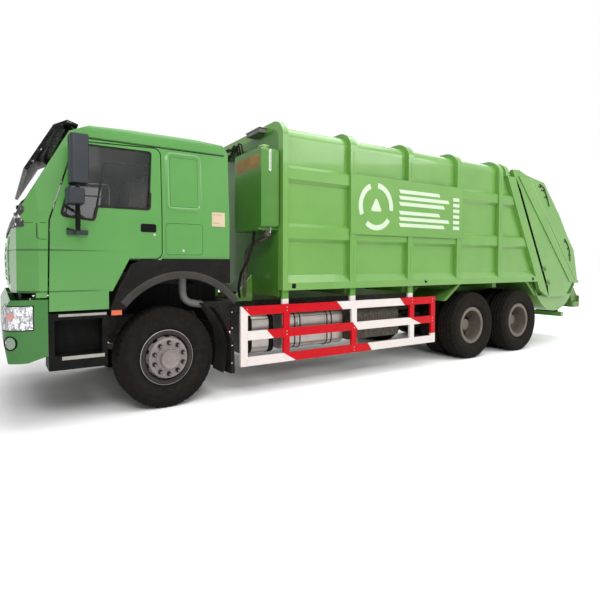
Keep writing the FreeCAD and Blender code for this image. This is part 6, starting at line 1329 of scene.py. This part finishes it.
lever.lathe(dashSet["knob"], (at(behind), side, height), "z", 16)
lever.made("gear_lever", "cab", "interior_trim", stepBlack)
print("interior dressed")

# Ribbed liners behind the front wheels
linerSet = {
    "radius": 0.722, "angles": (46, 8), "parts": 10, "lean": 0.004,
    "levels": (0.56, 0.46, 0.38, 0.30), "inner": 0.48, "outer": 1.228, "columns": 77, "thick": 0.01,
    "rib": 0.004, "cheek": 0.006, "cheekBack": [(13, 0.055, 0.0), (9, 0.05, 0.0), (0, 0.06, 0.02)],
    "studs": (0.42, 0.62, 0.82, 1.0), "studBack": 0.735}
hubX, hubZ = frontX, middleOf("front_wheel_left").z
liners, spine = Form(), []
for angle in steps(*linerSet["angles"], linerSet["parts"]):
    angle = math.radians(angle)
    spine.append((hubX - linerSet["radius"] * math.cos(angle),
                  hubZ + linerSet["radius"] * math.sin(angle)))
spine += [(spine[-1][0] - linerSet["lean"], level) for level in linerSet["levels"]]
columns = list(enumerate(steps(linerSet["inner"], linerSet["outer"], linerSet["columns"])))
for out, rib in ((0, linerSet["rib"]), (linerSet["thick"], 0)):
    liners.grid([[(x - out + (rib if index % 4 < 2 else 0), y, z) for index, y in columns]
                 for x, z in spine])
cheek = spine + [(spine[index][0] - back, spine[index][1] + lift)
                 for index, back, lift in linerSet["cheekBack"]]
liners.prism(cheek, linerSet["outer"] - linerSet["cheek"], linerSet["outer"])
for height in linerSet["studs"]:
    liners.stud((hubX - linerSet["studBack"], linerSet["outer"], height), (0, 1, 0), 0.009, 0.005,
                1)
liners.mirrored().made("wheel_liners", "chassis", "black_plastic", [archBlack, brightSteel],
                       sharp=50)

# Shields beside the engine, and the intake pipe
shieldSet = {
    "panels": [(0.70, -0.62, 0.505, 0.515, 0.96, 1.30)]
    + [(0.64 - 0.19 * rib, 0.62 - 0.19 * rib, 0.515, 0.522, 0.98, 1.28) for rib in range(7)]
    + [(0.98, 0.66, 0.30, 0.31, 1.06, 1.52)],
    "duct": [(0.235, 0.98, 1.50), (0.235, 0.98, 1.30), (0.237, 0.98, 1.22), (0.25, 0.98, 1.17),
             (0.275, 0.98, 1.135), (0.32, 0.98, 1.11), (0.40, 0.97, 1.09), (0.47, 0.94, 1.08),
             (0.52, 0.80, 1.075), (0.52, 0.53, 1.07)],
    "ductWide": 0.042, "ribWide": 0.047, "ribHalf": 0.004,
    "ribLevels": [1.48 - 0.02 * step for step in range(9)]}
shields, duct = Form(), Form()
for rear, front, inner, outer, foot, top in shieldSet["panels"]:
    shields.block((at(rear), inner, foot), (at(front), outer, top))
shields.mirrored().made("engine_shields", "chassis", "black_plastic", stepBlack, 0.003)
duct.tube([(at(behind), side, height) for behind, side, height in shieldSet["duct"]],
          shieldSet["ductWide"], 14)
behind, side, height = shieldSet["duct"][0]
for level in shieldSet["ribLevels"]:
    duct.tube([(at(behind), side, level + shift) for shift in
               (-shieldSet["ribHalf"], shieldSet["ribHalf"])], shieldSet["ribWide"], 14)
duct.made("intake_duct", "chassis", "black_plastic", trimGrey)
print("under cab dressed")


# Body sides: plain white decoration, black discs as painted shade in the sill's holes, weld lines
# and the sign panel's edge
bodySide = Side(1.19, "body_side_left")
signSet = {
    "out": 0.0012, "ring": (2.965, 2.33, 0.325, 0.072), "arcs": [(96, 188), (216, 308), (336, 428)],
    "triangle": 0.13, "triangleCorner": 0.03, "tall": 0.052, "slant": -0.03, "barStart": 3.44,
    "bars": [(foot + 0.087 * row, 1.09 - 0.11 * short) for foot in (2.375, 2.075)
             for row, short in enumerate((1, 0, 2))],
    "column": (4.62, 2.075, 0.15), "columnBars": 6, "columnPitch": 0.088,
    "panel": [(2.503, 1.943), (4.869, 1.943), (4.869, 2.737), (2.503, 2.737)],
    "panelEdge": (0.003, 0.0006)}
decor, rims = Form(), Form()
behind, height, radius, wide = signSet["ring"]
for start, end in signSet["arcs"]:
    loop = []
    for reach, low, high in ((radius, start, end), (radius - wide, end, start)):
        for angle in steps(low, high, 15):
            angle = math.radians(angle)
            loop.append((at(behind) + reach * math.cos(angle), height + reach * math.sin(angle)))
    bodySide.plate(decor, loop, signSet["out"])
triangle = circle(behind, height, signSet["triangle"], 3, 90)
bodySide.plate(decor, roundedLoop(triangle, signSet["triangleCorner"]), signSet["out"])
for foot, length in signSet["bars"]:
    bodySide.plate(decor, bar(signSet["barStart"], foot, length, signSet["tall"], signSet["slant"]),
                   signSet["out"])
start, foot, length = signSet["column"]
for step in range(signSet["columnBars"]):
    bodySide.plate(decor, bar(start, foot + step * signSet["columnPitch"], length, signSet["tall"]),
                   signSet["out"])
decor.mirrored().made("side_decoration", "chassis", "body_paint", plainWhite)
# black discs on the sill where its holes are: painted shade in the holes
holeSet = {"square": (1.556, 1.616, 1.246, 1.306), "corner": 0.012, "out": 0.0008,
           "round": [(4.012, 1.292), (6.932, 1.273)], "radius": 0.03}
holes = Form()
bodySide.plate(holes, roundedBox(*holeSet["square"], holeSet["corner"]), holeSet["out"])
for behind, height in holeSet["round"]:
    bodySide.plate(holes, circle(behind, height, holeSet["radius"]), holeSet["out"])
holes.mirrored().made("sill_hole_shade", "chassis", "body_paint", stepBlack)
weldSet = {"posts": (2.5, 3.616, 4.732, 5.848), "edges": (-0.05665, 0.05665), "wide": 0.004,
           "levels": [(1.42, 1.80), (2.07, 2.52), (2.77, 3.03)], "signPosts": (2.5, 3.616, 4.732)}
welds = Form()
for post in weldSet["posts"]:
    for low, high in weldSet["levels"]:
        if (low, high) == weldSet["levels"][1] and post in weldSet["signPosts"]:
            continue  # the sign panel covers these
        for edge in weldSet["edges"]:
            welds.tube([bodySide.place(at(post + edge), level, 0) for level in steps(low, high, 7)],
                       weldSet["wide"], 6)
welds.mirrored().made("side_welds", "chassis", "body_paint", bodyPaint)
bodySide.frame(rims, roundedLoop(along(signSet["panel"]), 0.004, 2), *signSet["panelEdge"])
rims.mirrored().made("sign_edges", "chassis", "body_paint", shadedPackerPaint)
print("body sides dressed")

# Oil tank: filler cap, level gauge, pale band
tankLow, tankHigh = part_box("oil_tank")
oilSet = {
    "cap": [(0.0005, 0.006), (0.05, 0.005), (0.062, 0.001), (0.064, -0.006), (0.064, -0.014),
            (0.056, -0.018), (0.056, -0.03)], "capAhead": 0.02, "capIn": 0.13,
    "gauge": [(0.017, 2.655, 2.895, 1.204, 1.2125), (0.008, 2.67, 2.88, 1.2125, 1.2155)],
    "gaugeStuds": (2.652, 2.898),
    "band": [(-0.002, 0.60, 2.70), (0.0015, tankHigh.y - 0.045, 2.86)]}
cap, gauge, band = Form(), Form(), Form()
capX = (tankLow.x + tankHigh.x) / 2 + oilSet["capAhead"]
# the cap in pale green: a painted highlight on its flat top
cap.lathe(oilSet["cap"], (capX, tankHigh.y - oilSet["capIn"], tankHigh.z), "z", 28)
cap.made("oil_cap", "chassis", "body_paint", paintedHighlight)
for finish, (half, foot, top, inner, outer) in enumerate(oilSet["gauge"]):
    gauge.prism([(capX - half, foot), (capX + half, foot), (capX + half, top), (capX - half, top)],
                inner, outer, finish)
for level in oilSet["gaugeStuds"]:
    gauge.stud((capX, 1.205, level), (0, 1, 0), 0.012, 0.012, 2)
gauge.made("oil_gauge", "chassis", "body_paint", [plainWhite, lampGlass, brightSteel], 0.0015)
band.block(*((tankHigh.x + ahead, side, level) for ahead, side, level in oilSet["band"]))
band.made("oil_band", "chassis", "body_paint", amberLabel, 0.0008)

# Pipes under the oil tank, with a tap: a suction pipe and a return hose
pipeSet = {
    "suction": [(2.40, 1.10, 1.955), (2.40, 1.10, 1.90), (2.40, 1.06, 1.86), (2.40, 0.92, 1.84),
                (2.40, 0.72, 1.80), (2.40, 0.60, 1.70), (2.40, 0.56, 1.45), (2.40, 0.54, 1.12)],
    "suctionWide": 0.026,
    "flange": [(0.026, -0.05), (0.046, -0.045), (0.046, 0.045), (0.026, 0.05)],
    "tap": (2.40, 1.10, 1.93),
    "back": [(2.44, 0.86, 1.955), (2.46, 0.86, 1.80), (2.50, 0.80, 1.60), (2.52, 0.66, 1.42),
             (2.50, 0.56, 1.22), (2.46, 0.52, 1.10)], "backWide": 0.018,
    "stem": (2.40, 1.145, 1.93), "lever": [(2.40, 1.165, 1.93), (2.40, 1.17, 1.985)]}
pipes = Form()
pipes.tube(pipeSet["suction"], pipeSet["suctionWide"], 12)
pipes.lathe(pipeSet["flange"], pipeSet["tap"], "z", 20)
pipes.tube(pipeSet["back"], pipeSet["backWide"], 10, 1)
pipes.stud(pipeSet["stem"], (0, 1, 0), 0.014, 0.02, 2)
pipes.tube(pipeSet["lever"], 0.007, 8, 2)
pipes.made("oil_pipes", "chassis", "body_paint", [castIron, rubber, brightSteel])

# Body front: hoses over its edge on a bracket, hatch and gussets
hoseSet = {
    "hoses": [(0.30, 0.0, 0.014), (0.36, 0.03, 0.014), (0.43, 0.0, 0.011)],
    "path": [(2.45, -0.12, 2.98, 1), (2.44, -0.06, 3.10, 0), (2.42, 0, 3.16, -1),
             (2.40, 0.03, 3.14, 0), (2.38, 0.04, 3.02, 0), (2.36, 0.03, 2.85, 0),
             (2.32, 0.01, 2.70, 0), (2.284, 0, 2.60, 0)],
    "bracket": [((2.276, -0.12, 3.04), (2.47, 0.26, 3.08), 1),
                ((2.276, -0.12, 3.08), (2.29, 0.26, 3.17), 1),
                ((2.32, -0.06, 3.075), (2.46, 0.20, 3.14), 0)],
    "hatch": [((2.276, 0.56, 3.205), (2.38, 0.88, 3.262), 0),
              ((2.276, 0.545, 3.258), (2.39, 0.895, 3.268), 1)],
    "gusset": [(2.27, 1.05), (2.60, 1.05), (2.274, 1.40)], "gussetSides": (0.50, 0.53)}
hoses, hatch, gussets = Form(), Form(), Form()
for side, shift, radius in hoseSet["hoses"]:
    path = [(x, side + y, z + shift * up) for x, y, z, up in hoseSet["path"]]
    hoses.tube(finer(path, 3), radius, 8)
for form, word in ((hoses, "bracket"), (hatch, "hatch")):
    for low, high, finish in hoseSet[word]:
        form.block(low, high, finish)
hoses.made("front_hoses", "chassis", "body_paint", [rubber, shadedPackerPaint], 0.002)
hatch.made("front_hatch", "chassis", "body_paint", [trimGrey, tankMetal], 0.005)
gussets.prism(hoseSet["gusset"], *hoseSet["gussetSides"])
gussets.mirrored().made("front_gussets", "chassis", "body_paint", bodyPaint, 0.002)
print("body front dressed")


# Tail sides: the slit's seal and the shade in its gap as a black plate, fold lines in painted
# shadow and highlight, clips with their hoses, latches
tailSide = Side(1.235, "tailgate")
slitSet = {"top": (6.35, 3.03), "foot": (7.50, 0.96), "wide": 0.07, "near": 0.002, "parts": 12,
           "topEnd": [(0.004, 0.03), (0.03, 0.0)], "footEnd": [(0.012, -0.02), (0.004, -0.02)],
           "out": 0.0012}
slit = Form()
top, foot = Vector(slitSet["top"]), Vector(slitSet["foot"])
between = [top.lerp(foot, step / slitSet["parts"]) for step in range(1, slitSet["parts"])]
loop = [(top.x + behind, top.y + lift) for behind, lift in slitSet["topEnd"]]
loop += [(spot.x + slitSet["wide"], spot.y) for spot in between]
loop += [(foot.x + behind, foot.y + lift) for behind, lift in slitSet["footEnd"]]
loop += [(spot.x + slitSet["near"], spot.y) for spot in reversed(between)]
# a flat plate standing for the seal and the painted shade in the gap
tailSide.plate(slit, along(loop), slitSet["out"])
slit.mirrored().made("slit_seals_and_shade", "tail", "packer_paint", slitSealAndShade)
foldSet = {"line": [(6.78, 3.10), (7.12, 2.714), (7.86, 1.908), (8.50, 1.235)], "out": 0.0012,
           "shades": [(0.007, 0.0), (0.008, 0.018)]}  # a painted shadow line, and a painted highlight behind it
folds = Form()
for finish, (wide, shift) in enumerate(foldSet["shades"]):
    points = along([(behind + shift, height) for behind, height in foldSet["line"]])
    for start, end in zip(points, points[1:]):
        tailSide.line(folds, start, end, wide, foldSet["out"], finish, 10)
folds.mirrored().made("tail_fold_lines", "tail", "packer_paint", [foldShade, paintedHighlight])
clipSet = {
    "places": [(7.13, 2.96), (7.22, 2.90), (7.33, 2.78), (8.07, 1.98), (8.19, 1.84), (8.24, 1.72)],
    "low": (-0.05, -0.004, -0.016), "high": (0.03, 0.006, 0.014), "stud": (0.012, 0.006, 0.0),
    "hoses": [[(7.12, 3.0), (7.26, 2.95), (7.38, 2.78), (7.46, 2.62)],
              [(8.05, 2.03), (8.16, 1.93), (8.24, 1.80), (8.27, 1.60)]],
    "hoseOut": 0.008, "hoseWide": 0.007}
clips = Form()
for behind, height in clipSet["places"]:
    spot = Vector(tailSide.place(at(behind), height, 0))
    clips.block(spot + Vector(clipSet["low"]), spot + Vector(clipSet["high"]))
    clips.stud(spot + Vector(clipSet["stud"]), (0, 1, 0), 0.009, 0.006, 1)
for hose in clipSet["hoses"]:
    path = [tailSide.place(x, z, clipSet["hoseOut"]) for x, z in along(hose)]
    clips.tube(finer(path, 4), clipSet["hoseWide"], 8, 2)
clips.made("tail_clips", "tail", "packer_paint", [stepBlack, brightSteel, rubber], 0.0015)
latchSet = {"places": [(7.34, 1.44), (7.48, 1.18)], "sides": (-0.002, 0.012), "lift": 0.01,
            "shape": [(0.06, -0.03), (0.07, 0.05), (-0.02, 0.06), (-0.06, -0.02)]}
latches = Form()
for behind, height in latchSet["places"]:
    x, y, z = tailSide.place(at(behind), height, 0)
    low, high = latchSet["sides"]
    latches.prism([(x + ahead, z + lift) for ahead, lift in latchSet["shape"]], y + low, y + high)
    latches.stud((x, y + high, z + latchSet["lift"]), (0, 1, 0), 0.016, 0.012, 1)
latches.mirrored().made("tail_latches", "tail", "packer_paint", [shadedPackerPaint, castIron], 0.003)
print("tail sides dressed")

# Rear: striped tape on the underrun bar, lamps and blank plate over it, round ends on the lifter
rearSet = {
    "front": at(8.16), "rear": at(8.24), "foot": 0.51, "top": 0.60, "half": 1.145, "tapes": 10,
    "tapeIn": 0.012, "lamps": (0.70, 1.06), "lampTall": 0.092,
    "lenses": [(0.71, 0.815, 1), (0.823, 0.932, 2), (0.94, 1.05, 3)], "plate": 0.26,
    "plateLevels": (0.006, 0.122), "faceIn": 0.02, "faceLevels": (0.014, 0.114),
    "holders": [(-0.2, -0.14), (0.14, 0.2)]}
barFront, barRear, barTop = rearSet["front"], rearSet["rear"], rearSet["top"]
tape, lamps, plate = Form(), Form(), Form()
edges = steps(-rearSet["half"], rearSet["half"], rearSet["tapes"] + 1)
for index, (low, high) in enumerate(zip(edges, edges[1:])):
    tape.block((barRear - 0.0015, low, rearSet["foot"] + rearSet["tapeIn"]),
               (barRear + 0.001, high, barTop - rearSet["tapeIn"]), index % 2)
tape.made("underrun_tape", "tail", "packer_paint", [tapeRed, plainWhite])
inner, outer = rearSet["lamps"]
lamps.block((barRear - 0.004, inner, barTop - 0.004),
            (barFront + 0.01, outer, barTop + rearSet["lampTall"]))
for low, high, finish in rearSet["lenses"]:
    lamps.block((barRear - 0.016, low, barTop + 0.01), (barRear - 0.002, high, barTop + 0.082),
                finish)
lamps.mirrored().made("rear_lamps", "tail", "packer_paint",
                      [stepBlack, plainWhite, lampRed, lampAmber], 0.005)
half, (low, high) = rearSet["plate"], rearSet["plateLevels"]
plate.block((barRear - 0.006, -half, barTop + low), (barRear + 0.002, half, barTop + high))
half, (low, high) = half - rearSet["faceIn"], rearSet["faceLevels"]
plate.block((barRear - 0.008, -half, barTop + low), (barRear - 0.005, half, barTop + high), 1)
for low, high in rearSet["holders"]:
    plate.block((barRear - 0.002, low, barTop - 0.004), (barFront, high, barTop + 0.02))
plate.made("blank_plate", "tail", "packer_paint", [stepBlack, plainWhite], 0.002)
endSet = {"place": (at(8.74), 1.098, 0.72), "shape": [
    (0.0005, 0.0195), (0.03, 0.0195), (0.048, 0.012), (0.052, 0.0), (0.052, -0.02)]}
lifterEnds = Form()
lifterEnds.lathe(endSet["shape"], endSet["place"], "y", 24)
lifterEnds.mirrored().made("lifter_ends", "lifter", "packer_paint", shadedPackerPaint)
print("rear dressed")


# Chassis rails: bolt rows in groups, and air lines held by ties
railSet = {
    "rows": (0.985, 0.815), "ends": (-0.95, 6.7), "count": 38, "rhythm": (3.1, 0.4, 1.9),
    "bare": (0.75, 1.2), "face": (0.3, 0.5), "bolt": (0.013, 0.011),
    "lines": [(0.30, 0.93, 0.012, 0), (0.27, 0.955, 0.008, 1), (0.25, 0.93, 0.008, 0)],
    "lineEnds": (-0.2, 5.7), "lineParts": 46, "sway": (0.004, 5), "sag": (0.006, 3.7),
    "ties": (0.2, 5.4, 9), "tieHalf": 0.01, "tieOver": (0.003, 0.006)}
railSkin = Skin("chassis_frame")
bolts, loom = Form(), Form()
scale, shift, period = railSet["rhythm"]
for row, height in enumerate(railSet["rows"]):
    for behind in steps(*railSet["ends"], railSet["count"]):
        if railSet["bare"][0] < (behind * scale + row * shift) % period < railSet["bare"][1]:
            continue
        spot = railSkin.hit((at(behind), 3, height), (0, -1, 0), 0)
        if spot is not None and railSet["face"][0] < spot.y < railSet["face"][1]:
            bolts.stud(spot, (0, 1, 0), *railSet["bolt"])
bolts.mirrored().made("frame_bolts", "chassis", "chassis_metal", castIron)
for side, height, radius, finish in railSet["lines"]:
    sway, sag, (over, under) = railSet["sway"], railSet["sag"], railSet["tieOver"]
    loom.tube([(at(behind), side + sway[0] * math.sin(behind * sway[1]),
                height + sag[0] * math.sin(behind * sag[1]))
               for behind in steps(*railSet["lineEnds"], railSet["lineParts"])], radius, 8, finish)
    for behind in steps(*railSet["ties"]):
        x, half = at(behind), railSet["tieHalf"]
        loom.block((x - half, side - radius - over, height - radius - under),
                   (x + half, side + radius + over, height + radius + under), 2)
loom.made("air_lines", "chassis", "chassis_metal", [rubber, lampAmber, stepBlack])
print("rails dressed")

# Tanks, silencer and battery box: bands, caps, strap bolts, ribs and latches
tankSet = {
    "bands": {"fuel_tank": [(0.02, 0.012, 0.004, 0), (0.196, 0.006, 0.006, 1),
                            (0.274, 0.006, 0.006, 1)],
              "air_tank": [(0.042, 0.034, 0.006, 1)]},
    "cap": [(0.0005, 0.045), (0.036, 0.045), (0.046, 0.036), (0.048, 0.012), (0.04, 0.01),
            (0.04, -0.01)], "capBack": 0.16, "capSide": 0.95,
    "sender": [(0.0005, 0.014), (0.03, 0.014), (0.034, 0.01), (0.034, -0.004)], "senderSide": 0.85,
    "screws": 5, "screwRing": 0.024, "screwLift": 0.013, "strapIn": 0.235, "strapLevel": 0.80,
    "ribs": (0.03, 17, 0.011, 0.006)}


def ringed(form, name, count, rings):  # raised rings round a tank: (x, half width, height, finish)
    skin, middle = Skin(name), middleOf(name)
    for x, half, out, finish in rings:
        hoop(form, skin, x, half, out, (middle.y, middle.z), finish, count)


bands, caps, ribs, latches = Form(), Form(), Form(), Form()
for name, rings in tankSet["bands"].items():
    low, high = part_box(name)
    ringed(bands, name, 96, [(x, half, out, finish) for inset, half, out, finish in rings
                             for x in (low.x + inset, high.x - inset)])
bands.made("tank_bands", "chassis", "tank_metal", [tankMetal, stepBlack])
fuelLow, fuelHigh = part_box("fuel_tank")
fuelSkin = Skin("fuel_tank")
spot = fuelSkin.hit((fuelHigh.x - tankSet["capBack"], tankSet["capSide"], 3), (0, 0, -1), 0)
caps.lathe(tankSet["cap"], spot, "z", 24)
spot = fuelSkin.hit((middleOf("fuel_tank").x, tankSet["senderSide"], 3), (0, 0, -1), 0)
caps.lathe(tankSet["sender"], spot, "z", 20, 1)
for screw in range(tankSet["screws"]):
    angle, ring = 2 * math.pi * screw / tankSet["screws"], tankSet["screwRing"]
    caps.stud(spot + Vector((ring * math.cos(angle), ring * math.sin(angle), tankSet["screwLift"])),
              (0, 0, 1), 0.004, 0.005, 2)
for x in (fuelHigh.x - tankSet["strapIn"], fuelLow.x + tankSet["strapIn"]):
    spot = fuelSkin.hit((x, 3, tankSet["strapLevel"]), (0, -1, 0), 0)
    caps.stud(spot + Vector((0, -0.002, 0)), (0, 1, 0), 0.012, 0.018, 2)
caps.made("tank_caps", "chassis", "tank_metal", [stepBlack, castIron, brightSteel])
low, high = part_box("silencer")
inset, count, half, out = tankSet["ribs"]
ringed(ribs, "silencer", 40, [(x, half, out, 0)
                              for x in steps(low.x + inset, high.x - inset, count)])
ribs.made("silencer_ribs", "chassis", "chassis_metal", castIron)
low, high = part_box("battery_box")
boxSet = {"ends": 0.16, "latch": [(-0.02, -0.006, -0.14), (0.02, 0.004, -0.02)],
          "strip": [(0.02, -0.003, -0.09), (-0.02, 0.002, -0.078)], "stud": (-0.006, -0.05)}
for x in (low.x + boxSet["ends"], (low.x + high.x) / 2, high.x - boxSet["ends"]):
    latches.block(*((x + ahead, low.y + side, high.z + lift)
                    for ahead, side, lift in boxSet["latch"]), 1)
    side, lift = boxSet["stud"]
    latches.stud((x, low.y + side, high.z + lift), (0, -1, 0), 0.01, 0.01, 1)
latches.block(*((x + ahead, low.y + side, high.z + lift)
                for x, (ahead, side, lift) in zip((low.x, high.x), boxSet["strip"])))
latches.made("battery_latches", "chassis", "chassis_metal", [frameBlack, brightSteel], 0.0015)
print("tanks dressed")

# Axles: spring clip nuts, brake chambers with hose and push rod; rivets on the guards
axleSet = {
    "clips": [("front_axle", frontX), ("rear_axles", middleX), ("rear_axles", rearX)],
    "clipAhead": (-0.05, 0.05), "clipSides": (0.40, 0.46), "clipOver": 0.5, "nut": (0.016, 0.022),
    "chamberPlace": (0.27, 0.40, 0.66),
    "chamber": [(0.0005, -0.10), (0.05, -0.10), (0.078, -0.085), (0.082, -0.01), (0.09, -0.005),
                (0.09, 0.01), (0.08, 0.015), (0.074, 0.085), (0.045, 0.10), (0.0005, 0.10)],
    "hose": [(0.37, 0.40, 0.70), (0.42, 0.37, 0.78), (0.42, 0.32, 0.86), (0.40, 0.27, 0.93)],
    "rod": [(0.17, 0.40, 0.66), (0.07, 0.40, 0.60), (0.0, 0.40, 0.58)]}
nuts, chambers, rivets = Form(), Form(), Form()
for name, middle in axleSet["clips"]:
    skin = Skin(name)
    for ahead in axleSet["clipAhead"]:
        for side in axleSet["clipSides"]:
            spot = skin.hit((middle + ahead, side, 3), (0, 0, -1), 0)
            if spot is not None and spot.z > axleSet["clipOver"]:
                nuts.stud(spot, (0, 0, 1), *axleSet["nut"])
nuts.mirrored().made("spring_clips", "chassis", "chassis_metal", castIron)
for middle in (middleX, rearX):
    axle = Vector((middle, 0, 0))
    chambers.lathe(axleSet["chamber"], axle + Vector(axleSet["chamberPlace"]), "x", 28)
    chambers.tube([axle + Vector(point) for point in axleSet["hose"]], 0.009, 8, 1)
    chambers.tube([axle + Vector(point) for point in axleSet["rod"]], 0.014, 8, 2)
chambers.mirrored().made("brake_chambers", "chassis", "chassis_metal",
                         [frameBlack, rubber, castIron])
rivetSet = {"posts": (0.93, 1.49, 2.59, 3.73, 4.18), "over": 1.1, "size": (0.007, 0.004),
            "levels": (1.022, 0.982, 0.732, 0.692, 0.432, 0.392)}
guardSkin = Skin("side_guards")
for behind in rivetSet["posts"]:
    for height in rivetSet["levels"]:
        spot = guardSkin.hit((at(behind), 3, height), (0, -1, 0), 0)
        if spot is not None and spot.y > rivetSet["over"]:
            rivets.stud(spot, (0, 1, 0), *rivetSet["size"], 0, 12)
rivets.mirrored().made("guard_rivets", "chassis", "guard_paint", brightSteel)
print("chassis dressed")


# Stage: floor that pales with distance, world and lamps
stageSet = {
    "half": 60, "drop": 0.002, "floor": (0.92, 0.92, 0.92), "near": 7.0, "far": 18.0, "glow": 0.6,
    "world": 0.46,
    "lamps": {  # place, target, width, height, power
        "keyLamp": ((6.5, 8.5, 7.5), (0.5, 0.8, 1.5), 7, 3, 640),
        "fillLamp": ((-6.0, 8.0, 6.5), (-2.5, 1.0, 1.8), 6, 3, 290),
        "rearLamp": ((-4, -8, 7), (0, 0, 1.5), 8, 3, 290),
        "farLamp": ((-16, -7, 9), (-16, -7, 0), 16, 12, 900),
        "overheadLamp": ((-1.0, 3.0, 12), (-1.0, 2.0, 0), 16, 12, 1750)}}
half = stageSet["half"]
floorMesh = bpy.data.meshes.new("floor")
floorMesh.from_pydata([(-half, -half, 0), (half, -half, 0), (half, half, 0), (-half, half, 0)], [],
                      [(0, 1, 2, 3)])
floor = bpy.data.objects.new("floor", floorMesh)
bpy.context.scene.collection.objects.link(floor)
floor.location.z = -stageSet["drop"]
floorFinish = Finish("paleFloor", stageSet["floor"], 0.9, Emission_Strength=1.0)
lengthways, sideways, level = floorFinish.axes()
away = (lengthways * lengthways + sideways * sideways) ** 0.5
far = away.ramp(stageSet["near"], stageSet["far"])
glow = floorFinish.mixed(far * floorFinish.looked(), (0, 0, 0), (stageSet["glow"],) * 3)
floorFinish.feed("Emission Color", glow)
floorMesh.materials.append(floorFinish.material)

world = bpy.data.worlds.new("studio")
bpy.context.scene.world = world
world.use_nodes = True
sky = Nodes(world.node_tree)
ground = sky.tree.nodes["Background"]
ground.inputs["Color"].default_value = (1, 1, 1, 1)
strength = sky.node("ShaderNodeMapRange", None, {
    "Value": sky.looked(), "To Min": stageSet["world"], "To Max": 1.0})
sky.tree.links.new(strength.socket, ground.inputs["Strength"])


def lamp(name, spot, target, wide, tall, power):
    data = bpy.data.lights.new(name, "AREA")
    data.shape, data.size, data.size_y, data.energy = "RECTANGLE", wide, tall, power
    item = bpy.data.objects.new(name, data)
    bpy.context.scene.collection.objects.link(item)
    item.location = spot
    item.visible_camera = False
    item.rotation_euler = (Vector(target) - Vector(spot)).to_track_quat("-Z", "Y").to_euler()


for name, values in stageSet["lamps"].items():
    lamp(name, *values)
print("stage set")
